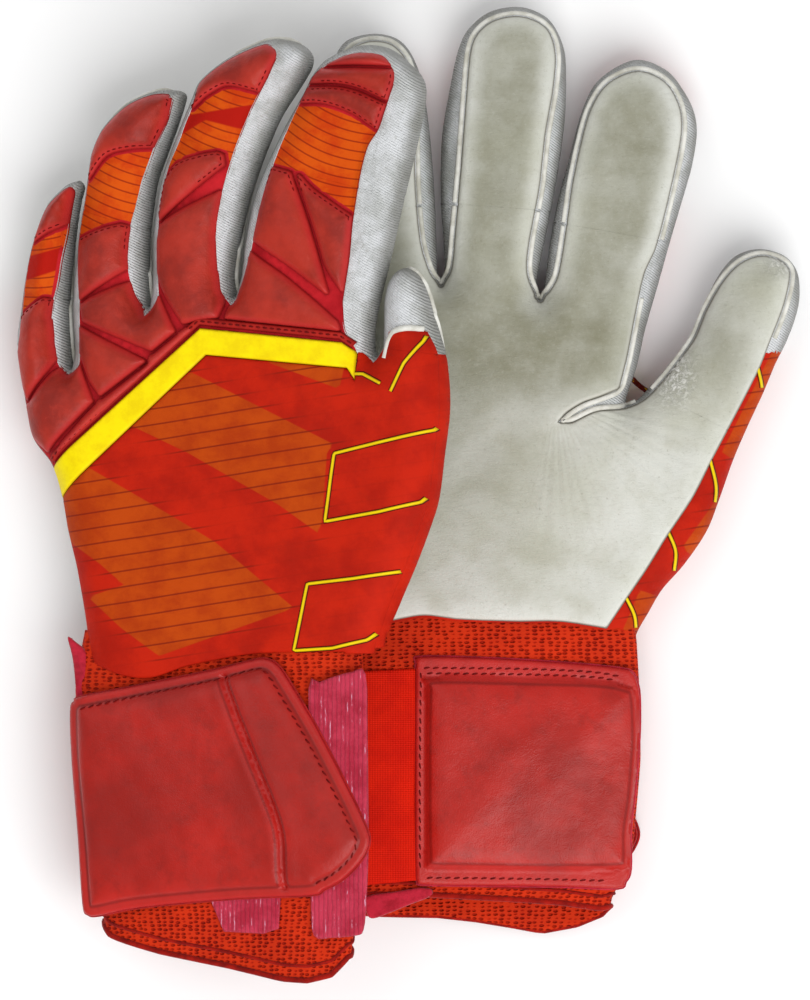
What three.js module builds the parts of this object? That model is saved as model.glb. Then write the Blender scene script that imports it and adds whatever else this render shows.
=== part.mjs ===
import * as THREE from "three";

// A pair of goalkeeper gloves, lying flat. Millimetres, +Z up, fingers towards +Y.
// The right glove lies on its back with the palm up. The left glove lies palm down,
// with its little-finger edge on the floor and its thumb side resting on the right glove.
// Each glove is a stack of flat layers: backhand, upright gusset walls round the hollow, palm latex.

// ---- driving dimensions (mm) ----
const FACE_LATEX = 5.5;      // palm latex with its backing
const FACE_BACK = 5.0;       // backhand foam and fabric
const GAP = 0.3;             // play left between touching pieces
const GLOVE_HEIGHT = 23.5;   // a flattened glove, back to palm
const LEFT_TILT_DEG = 18;  // slope of the left glove over the right one
const LEFT_EDGE_X = -112.47;  // where the left glove's low edge meets the floor
const CUFF_HEIGHT = 16;      // flattened sleeve, outside
const CUFF_WALL = 2.0;
const CUFF_TOP_Y = -42.6;
const RIGHT_CUFF = { x0: -19.5, x1: 67.7, y0: -130 };
const LEFT_CUFF = { x0: 24.2, x1: 108.0, y0: -140 };
const STRAP_FLAP = 2.6;      // closing flap of the wrist strap
const LOOP_PATCH = 1.3;
const STRAP_PAD = 5.0;       // padded half of the wrist band
const STRAP_ELASTIC = 2.4;
const STRAP_TOP_Y = -47;
const STRAP_BOTTOM_Y = -117.5;

// Outlines in each glove's own plane, x across the hand, y along it.
const RIGHT_OUTLINES = {
  little_tip: [[-21,75.59],[-23.67,92.89],[-26.67,98.88],[-32.36,100.98],[-37.76,97.69],[-39.85,91.39],[-39.55,82.4],[-38.53,74.71]],
  little_gusset: [[-35.52,74.86],[-36.56,82.65],[-36.84,90.96],[-35.26,95.7],[-32.04,97.67],[-28.82,96.48],[-26.56,91.96],[-24,75.44],[-21,75.59],[-23.67,92.89],[-26.67,98.88],[-32.36,100.98],[-37.76,97.69],[-39.85,91.39],[-39.55,82.4],[-38.53,74.71]],
  ring_tip: [[8.12,101.35],[7.49,109.67],[5.09,125.85],[1.5,134.84],[-3,139.04],[-10.19,140.24],[-17.98,137.84],[-21.27,131.25],[-18.14,99.93]],
  ring_gusset: [[-15.14,100.09],[-18.22,130.66],[-15.87,135.35],[-9.98,137.16],[-4.38,136.23],[-1.04,133.11],[-0.41,131.55],[1.2,131.55],[1.2,127.52],[2.18,125.07],[4.51,109.34],[5.13,101.19],[8.12,101.35],[7.49,109.67],[5.09,125.85],[1.5,134.84],[-3,139.04],[-10.19,140.24],[-17.98,137.84],[-21.27,131.25],[-18.14,99.93]],
  middle_tip: [[48.24,116.86],[48.24,133.34],[45.85,140.83],[41.95,145.63],[34.46,148.33],[25.47,146.83],[18.88,141.43],[15.88,134.84],[13.78,125.25],[11.09,108.77],[10.98,101.89],[46.06,99.47]],
  middle_gusset: [[48.24,116.86],[48.24,133.34],[45.85,140.83],[41.95,145.63],[34.46,148.33],[25.47,146.83],[18.88,141.43],[15.88,134.84],[13.78,125.25],[11.09,108.77],[10.98,101.89],[13.97,101.69],[14.08,108.5],[16.78,124.93],[16.78,133.34],[18.42,137.54],[20.4,137.54],[21.32,139.56],[26.75,144],[34.18,145.24],[40.15,143.09],[43.16,139.38],[45.25,132.88],[45.25,117.03],[43.06,99.68],[46.06,99.47]],
  index_tip: [[86.3,100.38],[87.8,110.27],[86.9,116.86],[83.6,123.45],[78.81,129.15],[70.72,132.44],[63.23,130.05],[56.63,124.35],[52.44,114.47],[47.57,95.86],[83.28,89.69]],
  index_gusset: [[86.3,100.38],[87.8,110.27],[86.9,116.86],[83.6,123.45],[78.81,129.15],[70.72,132.44],[63.23,130.05],[56.63,124.35],[52.44,114.47],[47.57,95.86],[50.54,95.34],[55.29,113.5],[59.12,122.54],[64.72,127.38],[70.59,129.26],[76.99,126.65],[81.08,121.8],[84,115.97],[84.77,110.29],[83.36,101.01],[80.3,90.21],[83.28,89.69]],
  thumb_tip: [[117.16,53.94],[118.66,60.53],[118.06,68.32],[114.17,73.41],[106.67,75.51],[99.48,73.41],[94.39,67.72],[90.19,59.33],[86.9,51.24],[80.91,42.84],[106.61,29.71]],
  thumb_gusset: [[117.16,53.94],[118.66,60.53],[118.06,68.32],[114.17,73.41],[106.67,75.51],[99.48,73.41],[94.39,67.72],[90.19,59.33],[86.9,51.24],[80.91,42.84],[83.63,41.46],[89.67,50.11],[95.29,62.82],[95.29,66.22],[97.07,66.22],[101.14,70.78],[106.69,72.39],[112.39,70.8],[115.14,67.2],[115.64,60.75],[114.29,54.82],[103.94,31.07],[106.61,29.71]],
  palm_latex: [[77.31,-26.97],[83.9,-19.48],[90.79,-9.29],[98.58,11.69],[106.4,29.27],[80.61,42.45],[70.42,30.56],[66.52,28.47],[66.52,30.56],[69.82,40.45],[72.22,51.24],[83.14,89.23],[47.44,95.39],[46.15,90.79],[43.75,77.91],[41.65,62.33],[40.75,60.23],[39.85,61.13],[39.55,65.92],[45.98,98.99],[10.97,101.41],[10.79,89.89],[11.99,67.42],[10.79,64.72],[9.89,67.12],[8.16,100.87],[-18.09,99.45],[-15.88,65.92],[-15.58,49.74],[-16.78,47.94],[-17.98,49.74],[-20.95,75.1],[-38.46,74.23],[-35.96,50.94],[-32.66,8.99],[-29.67,-11.99],[-24.87,-29.96],[-20.08,-41.95],[69.22,-41.95]],
  side_gusset_little: [[-20.98,-36.48],[-20.98,-31.64],[-26.72,-11.39],[-29.68,9.33],[-32.98,51.24],[-35.46,74.38],[-38.46,74.23],[-35.96,50.94],[-32.66,8.99],[-29.67,-11.99],[-24.87,-29.96],[-20.08,-41.95],[-18.88,-41.95]],
  web_little_ring: [[-15.12,45.45],[-12.64,49.16],[-12.89,65.98],[-15.09,99.61],[-18.09,99.45],[-15.88,65.92],[-15.58,49.74],[-16.78,47.94],[-17.98,49.74],[-20.95,75.1],[-23.95,74.95],[-20.95,49.39],[-18.45,45.45],[-17.37,45.01]],
  web_ring_middle: [[12.83,62.53],[14.98,67.51],[13.79,89.98],[13.96,101.2],[10.97,101.41],[10.79,89.89],[11.99,67.42],[10.79,64.72],[9.89,67.12],[8.16,100.87],[5.17,100.71],[6.9,66.98],[8.6,62.68],[10.69,61.73]],
  web_middle_index: [[41.9,57.46],[43.51,59.05],[44.62,61.93],[46.71,77.43],[49.07,90.11],[50.41,94.88],[47.44,95.39],[46.15,90.79],[43.75,77.91],[41.65,62.33],[40.75,60.23],[39.85,61.13],[39.55,65.92],[45.98,98.99],[42.98,99.19],[38.95,77.91],[38.95,68.97],[38.36,65.85],[38.56,62.63],[36.76,62.63],[37.16,59.81],[39.61,57.46]],
  web_index_thumb: [[67.67,25.7],[72.65,28.57],[83.33,41.06],[80.61,42.45],[70.42,30.56],[66.52,28.47],[66.52,30.56],[69.82,40.45],[72.22,51.24],[83.14,89.23],[80.17,89.74],[69.29,51.89],[66.93,41.25],[63.68,31.51],[63.75,27.32],[65.38,25.7]],
  side_gusset_thumb: [[77.31,-26.97],[83.9,-19.48],[90.79,-9.29],[98.58,11.69],[106.4,29.27],[103.73,30.63],[95.76,12.68],[88.12,-7.89],[81.53,-17.64],[75.06,-24.99],[70.83,-32.04],[66.22,-41.95],[69.22,-41.95]],
  knuckle_pad: [[8.04,43.91],[58.49,37.9],[66.64,31.38],[69.67,40.49],[72.07,51.28],[82.95,89.11],[47.55,95.22],[46.29,90.76],[43.9,77.88],[41.8,62.29],[40.8,59.97],[39.71,61.06],[39.4,65.93],[45.81,98.85],[11.12,101.25],[10.94,89.9],[12.14,67.39],[10.88,64.57],[9.74,67.09],[8.02,100.71],[-17.92,99.31],[-15.73,65.93],[-15.43,49.7],[-16.78,47.67],[-18.12,49.69],[-21.08,74.95],[-38.29,74.08],[-35.81,50.95],[-32.57,9.65]],
  trim_band: [[8.04,36.11],[58.49,30.11],[67.27,23.08],[67.27,28.7],[66.37,28.22],[66.54,31.08],[58.37,37.61],[8.14,43.59],[-32.54,9.28],[-31.61,2.67]],
  backhand_panel: [[77.19,-26.88],[83.78,-19.39],[90.66,-9.22],[98.44,11.74],[106.2,29.2],[80.65,42.26],[70.51,30.44],[67.57,28.86],[67.4,22.6],[58.37,29.82],[8.14,35.8],[-31.56,2.32],[-29.52,-11.96],[-24.73,-29.92],[-19.97,-41.8],[69.13,-41.8]],
};
const LEFT_OUTLINES = {
  little_tip: [[18.8,85.55],[20.71,94.21],[19.44,96.01],[15.62,94.56],[9.57,88.63],[5.11,77.59],[3.98,72.46],[16.93,70.55]],
  little_gusset: [[18.8,85.55],[20.71,94.21],[19.44,96.01],[15.62,94.56],[9.57,88.63],[5.11,77.59],[3.98,72.46],[7.14,71.99],[8.18,76.72],[12.32,86.98],[16.72,91.29],[13.78,71.02],[16.93,70.55]],
  ring_tip: [[43.87,94.88],[52.4,117.74],[53.03,121.31],[50.82,122.53],[43.55,122.33],[35,118.85],[27.38,111.78],[23.89,104.64],[22.46,96.49],[43.12,90.39]],
  ring_gusset: [[43.87,94.88],[52.4,117.74],[53.03,121.31],[50.82,122.53],[43.55,122.33],[35,118.85],[27.38,111.78],[23.89,104.64],[22.46,96.49],[25.55,95.58],[26.93,103.68],[30.03,110.01],[36.82,116.33],[44.29,119.36],[49.5,119.51],[40.74,95.37],[40.06,91.29],[43.12,90.39]],
  middle_tip: [[82.31,112.62],[92.66,128.83],[92.66,132.98],[88.59,136.3],[79.8,137.32],[68.17,132.73],[58.4,125.71],[53.7,115.8],[79.82,106.57]],
  middle_gusset: [[82.31,112.62],[92.66,128.83],[92.66,132.98],[88.59,136.3],[79.8,137.32],[68.17,132.73],[58.4,125.71],[53.7,115.8],[56.68,114.75],[60.93,123.76],[69.78,130.12],[80.29,134.28],[87.3,133.47],[89.53,131.65],[89.53,129.64],[79.39,113.73],[76.87,107.62],[79.82,106.57]],
  index_tip: [[127.92,116.22],[127.92,124.21],[122.94,130.19],[116.72,134.42],[107.67,135.14],[98.29,131.42],[93.91,127.03],[83.9,109.29],[124.05,99.3]],
  index_gusset: [[127.92,116.22],[127.92,124.21],[122.94,130.19],[116.72,134.42],[107.67,135.14],[98.29,131.42],[93.91,127.03],[83.9,109.29],[86.99,108.52],[96.51,125.28],[100.14,128.92],[108.21,132.13],[115.64,131.54],[120.79,128.04],[124.81,123.21],[124.81,116.57],[121.03,100.05],[124.05,99.3]],
  thumb_tip: [[129.79,59.73],[126.68,66.55],[122.01,68.95],[117.96,65.72],[116.09,59.22],[115.89,50.38],[133.02,48.32]],
  thumb_gusset: [[129.79,59.73],[126.68,66.55],[122.01,68.95],[117.96,65.72],[116.09,59.22],[115.89,50.38],[118.99,50.01],[119.2,58.77],[120.71,64.04],[122.41,65.39],[124.26,64.44],[126.84,58.78],[129.66,48.73],[133.02,48.32]],
  palm_latex: [[116.09,-41.45],[128.54,-11.24],[132.27,-0.3],[135.69,25.12],[135.69,33.69],[134.45,43.74],[133.18,47.82],[115.87,49.9],[115.78,45.9],[113.91,42.65],[112.66,44.43],[112.66,51.84],[123.93,98.84],[83.7,108.84],[76.03,92.18],[72.57,77.04],[71.31,66.94],[69.43,60.7],[68.48,66.96],[70.06,77.06],[74.15,92.79],[79.64,106.13],[53.51,115.36],[47.66,101.1],[45.76,94.86],[44.18,85.33],[43.23,75.79],[43.23,64.45],[42.28,57.89],[41.33,64.46],[41.33,75.8],[43.04,89.91],[22.4,96],[18.17,65.51],[17.85,55.05],[18.48,45.47],[17.53,39.49],[16.58,45.48],[15.94,55.06],[16.26,65.53],[16.86,70.07],[3.88,71.98],[2.55,65.92],[0,47.95],[0.96,38.96],[3.19,26.97],[5.43,17.97],[11.16,10.48],[14.35,1.5],[16.26,-8.98],[19.44,-21.84],[22.62,-41.86]],
  side_gusset_little: [[25.8,-41.85],[22.54,-21.15],[19.38,-8.38],[17.48,2],[14.18,11.42],[8.39,19.23],[4.12,39.35],[3.21,47.89],[5.7,65.4],[7.04,71.52],[3.88,71.98],[2.55,65.92],[0,47.95],[0.96,38.96],[3.19,26.97],[5.43,17.97],[11.16,10.48],[14.35,1.5],[16.26,-8.98],[19.44,-21.84],[22.62,-41.86]],
  web_little_ring: [[20.09,37.7],[20.62,38.76],[21.66,45.64],[21.03,55.08],[21.34,65.26],[25.49,95.09],[22.4,96],[18.17,65.51],[17.85,55.05],[18.48,45.47],[17.53,39.49],[16.58,45.48],[15.94,55.06],[16.26,65.53],[16.86,70.07],[13.71,70.54],[13.08,65.63],[12.76,55.16],[13.4,45.31],[14.8,37.96],[15.64,37.09],[18,36.53]],
  web_ring_middle: [[44.8,56.07],[45.34,57.11],[46.37,64.02],[46.4,75.62],[47.32,84.93],[48.86,94.18],[50.66,100.13],[56.48,114.31],[53.51,115.36],[47.66,101.1],[45.76,94.86],[44.18,85.33],[43.23,75.79],[43.23,64.45],[42.28,57.89],[41.33,64.46],[41.33,75.8],[43.04,89.91],[39.98,90.81],[38.17,75.83],[38.17,64.48],[39.55,56.4],[40.37,55.52],[42.71,54.93]],
  web_middle_index: [[71.03,58.13],[72.45,59.86],[74.44,66.57],[75.68,76.53],[79.04,91.24],[86.78,108.07],[83.7,108.84],[76.03,92.18],[72.57,77.04],[71.31,66.94],[69.43,60.7],[68.48,66.96],[70.06,77.06],[74.15,92.79],[79.64,106.13],[76.68,107.17],[71.09,93.53],[67,77.8],[65.37,67.41],[66.72,59.2],[67.54,58.33],[69.87,57.75]],
  web_index_thumb: [[116.65,41.22],[118.88,45.57],[118.98,49.53],[115.87,49.9],[115.78,45.9],[113.91,42.65],[112.66,44.43],[112.66,51.84],[123.93,98.84],[120.91,99.59],[111.48,61.31],[109.54,51.85],[109.54,44.45],[110.07,42.8],[112.18,40.2],[114.52,39.74]],
  side_gusset_thumb: [[116.09,-41.45],[128.54,-11.24],[132.27,-0.3],[135.69,25.12],[135.69,33.69],[134.45,43.74],[133.18,47.82],[129.82,48.23],[131.39,43.16],[132.58,33.52],[132.58,25.31],[129.23,0.36],[125.61,-10.26],[117.22,-30.06],[112.96,-41.47]],
  knuckle_pad: [[61.18,51.08],[105.52,46.69],[112.69,44.13],[112.51,51.85],[123.74,98.73],[83.79,108.67],[76.18,92.13],[72.73,77.02],[71.47,66.91],[69.29,60.56],[68.32,66.96],[69.9,77.09],[74,92.84],[79.43,106.04],[53.6,115.17],[47.81,101.05],[45.92,94.82],[44.34,85.31],[43.39,75.78],[43.39,64.44],[42.42,57.74],[41.17,64.45],[41.17,75.81],[42.86,89.81],[22.53,95.8],[18.33,65.5],[18.01,55.05],[18.64,45.46],[17.67,39.34],[16.42,45.46],[15.78,55.05],[16.1,65.54],[16.69,69.95],[4.01,71.81],[2.71,65.89],[0.16,47.95],[1.12,38.98],[3.35,26.99],[5.57,18.04],[11.31,10.55],[12.03,8.51]],
  trim_band: [[61.18,43.34],[105.52,38.98],[112.51,36.36],[112.51,43.74],[105.45,46.39],[61.29,50.77],[12.14,8.2],[14.14,2.55]],
  backhand_panel: [[115.98,-41.31],[128.4,-11.19],[132.12,-0.26],[135.53,25.13],[135.53,33.68],[134.29,43.71],[133.06,47.69],[116.03,49.73],[115.94,45.86],[113.92,42.36],[112.82,43.77],[112.82,35.92],[105.45,38.69],[61.29,43.03],[14.25,2.24],[16.41,-8.95],[19.6,-21.81],[22.76,-41.71]],
};

// Closing flap: straight hinge edge on the little-finger side, pointed free end.
const FLAP = [[0,-12],[21.4,-8.2],[44.1,-3.6],[57.5,0],[63.7,-1.2],[67.4,-6],[76.3,-21],[85.3,-37.6],[90.5,-48.2],[92.4,-53.3],[90.5,-58.9],[84.4,-65.5],[78.5,-69.1],[74.2,-70.7],[51.6,-71.8],[21.4,-74.8],[5.4,-78],[3.5,-74.4],[1.7,-54],[0,-32.3]];
const LOOP = [[0,-1],[16.4,0],[16.4,-36],[13.6,-75.6],[2.2,-75.6],[0.6,-65.7]];

// ---- helpers ----
const paint = (color, roughness) => new THREE.MeshStandardMaterial({ color, roughness, metalness: 0 });
const RED_PAD = () => paint(0x9b2d23, 0.75), FABRIC = () => paint(0xc83a12, 0.9), YELLOW = () => paint(0xf5e600, 0.5);
const LATEX = () => paint(0xc3c0b4, 0.85), GUSSET = () => paint(0xbec3c8, 0.85), MESH = () => paint(0xc8320f, 0.9), LOOPS = () => paint(0xbe324b, 0.95);

// A flat piece of the given outline, from height z0 to z1.
function slab(name, outline, z0, z1, material) {
  const geometry = new THREE.ExtrudeGeometry(new THREE.Shape(outline.map(([x, y]) => new THREE.Vector2(x, y))), { depth: z1 - z0, bevelEnabled: false, curveSegments: 1 });
  const mesh = new THREE.Mesh(geometry, material);
  mesh.name = name;
  mesh.position.z = z0;
  return mesh;
}

// A cross-section in x and z, run along the glove from y0 up to y1.
function run(name, section, hole, y0, y1, material) {
  const shape = new THREE.Shape(section.map(([x, z]) => new THREE.Vector2(x, z)));
  if (hole) shape.holes.push(new THREE.Path(hole.map(([x, z]) => new THREE.Vector2(x, z))));
  const geometry = new THREE.ExtrudeGeometry(shape, { depth: y1 - y0, bevelEnabled: false, curveSegments: 1 });
  geometry.rotateX(Math.PI / 2);
  const mesh = new THREE.Mesh(geometry, material);
  mesh.name = name;
  mesh.position.y = y1;
  return mesh;
}

// Flattened oval, its ends rounded over the whole height.
function oval(x0, x1, z0, z1, steps) {
  const r = (z1 - z0) / 2, points = [];
  for (let i = 0; i <= steps; i++) {
    const a = -Math.PI / 2 + (Math.PI * i) / steps;
    points.push([x1 - r + r * Math.cos(a), z0 + r + r * Math.sin(a)]);
  }
  for (let i = 0; i <= steps; i++) {
    const a = Math.PI / 2 + (Math.PI * i) / steps;
    points.push([x0 + r + r * Math.cos(a), z0 + r + r * Math.sin(a)]);
  }
  return points;
}

// One glove as a palm-up stack (flip = 1), or as a palm-down one (flip = -1, every height mirrored).
function glove(side, outlines, cuff, flip) {
  const group = new THREE.Group();
  const span = (a, b, height) => (flip > 0 ? [a, b] : [height - b, height - a]);
  const layer = (name, key, a, b, material) => group.add(slab(side + "_" + name, outlines[key], ...span(a, b, GLOVE_HEIGHT), material));
  const palm0 = GLOVE_HEIGHT - FACE_LATEX;
  layer("palm_latex", "palm_latex", palm0, GLOVE_HEIGHT, LATEX());
  layer("backhand_panel", "backhand_panel", 0, FACE_BACK, FABRIC());
  layer("trim_band", "trim_band", 0, FACE_BACK, YELLOW());
  layer("knuckle_pad", "knuckle_pad", 0, FACE_BACK, RED_PAD());
  for (const wall of ["side_gusset_little", "web_little_ring", "web_ring_middle", "web_middle_index", "web_index_thumb", "side_gusset_thumb"])
    layer(wall, wall, FACE_BACK + GAP, palm0 - GAP, GUSSET());
  for (const finger of ["little", "ring", "middle", "index", "thumb"]) {
    layer(finger + "_palm_face", finger + "_tip", palm0, GLOVE_HEIGHT, LATEX());
    layer(finger + "_gusset", finger + "_gusset", FACE_BACK + GAP, palm0 - GAP, GUSSET());
    layer(finger + "_back_pad", finger + "_tip", 0, FACE_BACK, finger === "thumb" ? FABRIC() : RED_PAD());
  }
  // Wrist, from the back of the hand to the palm: closing flap, loop patch, sleeve, wrap band.
  const loop0 = STRAP_FLAP + GAP, cuff0 = loop0 + LOOP_PATCH + GAP, band0 = cuff0 + CUFF_HEIGHT + GAP;
  const height = band0 + 4;
  const shift = (outline, dx, dy) => outline.map(([x, y]) => [x + dx, y + dy]).reverse();
  group.add(slab(side + "_strap_flap", shift(FLAP, cuff.x0 - 0.2, STRAP_TOP_Y), ...span(0, STRAP_FLAP, height), RED_PAD()));
  group.add(slab(side + "_loop_patch", shift(LOOP, cuff.x1 - 13.4, STRAP_TOP_Y - 5.8), ...span(loop0, loop0 + LOOP_PATCH, height), LOOPS()));
  const [c0, c1] = span(cuff0, cuff0 + CUFF_HEIGHT, height);
  group.add(run(side + "_cuff_sleeve", oval(cuff.x0, cuff.x1, c0, c1, 8), oval(cuff.x0 + CUFF_WALL, cuff.x1 - CUFF_WALL, c0 + CUFF_WALL, c1 - CUFF_WALL, 8).reverse(), cuff.y0, CUFF_TOP_Y, MESH()));
  const left = cuff.x0 - 3.5, pad = cuff.x0 + 23.4, right = cuff.x1 + 2.7;
  let section = [[left, 3], [left + 3.2, 3], [left + 3.2, band0], [right, band0], [right, band0 + STRAP_PAD], [pad, band0 + STRAP_PAD], [pad, band0 + STRAP_ELASTIC], [left, band0 + STRAP_ELASTIC]];
  if (flip < 0) section = section.map(([x, z]) => [x, height - z]).reverse();
  group.add(run(side + "_strap_band", section, null, STRAP_BOTTOM_Y, STRAP_TOP_Y, RED_PAD()));
  return group;
}

const gloves = new THREE.Group();
gloves.add(glove("right", RIGHT_OUTLINES, RIGHT_CUFF, 1));
const left = glove("left", LEFT_OUTLINES, LEFT_CUFF, -1);
left.rotation.y = THREE.MathUtils.degToRad(-LEFT_TILT_DEG);
left.position.x = LEFT_EDGE_X;
gloves.add(left);

// Origin at the centre of the footprint, on the floor.
const bounds = new THREE.Box3().setFromObject(gloves, true);
gloves.position.set(-(bounds.min.x + bounds.max.x) / 2, -(bounds.min.y + bounds.max.y) / 2, -bounds.min.z);

const model = new THREE.Group();
model.add(gloves);
export default model;
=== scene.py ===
import math

import bpy
import numpy as np
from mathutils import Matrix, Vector
from mathutils.geometry import delaunay_2d_cdt


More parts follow.
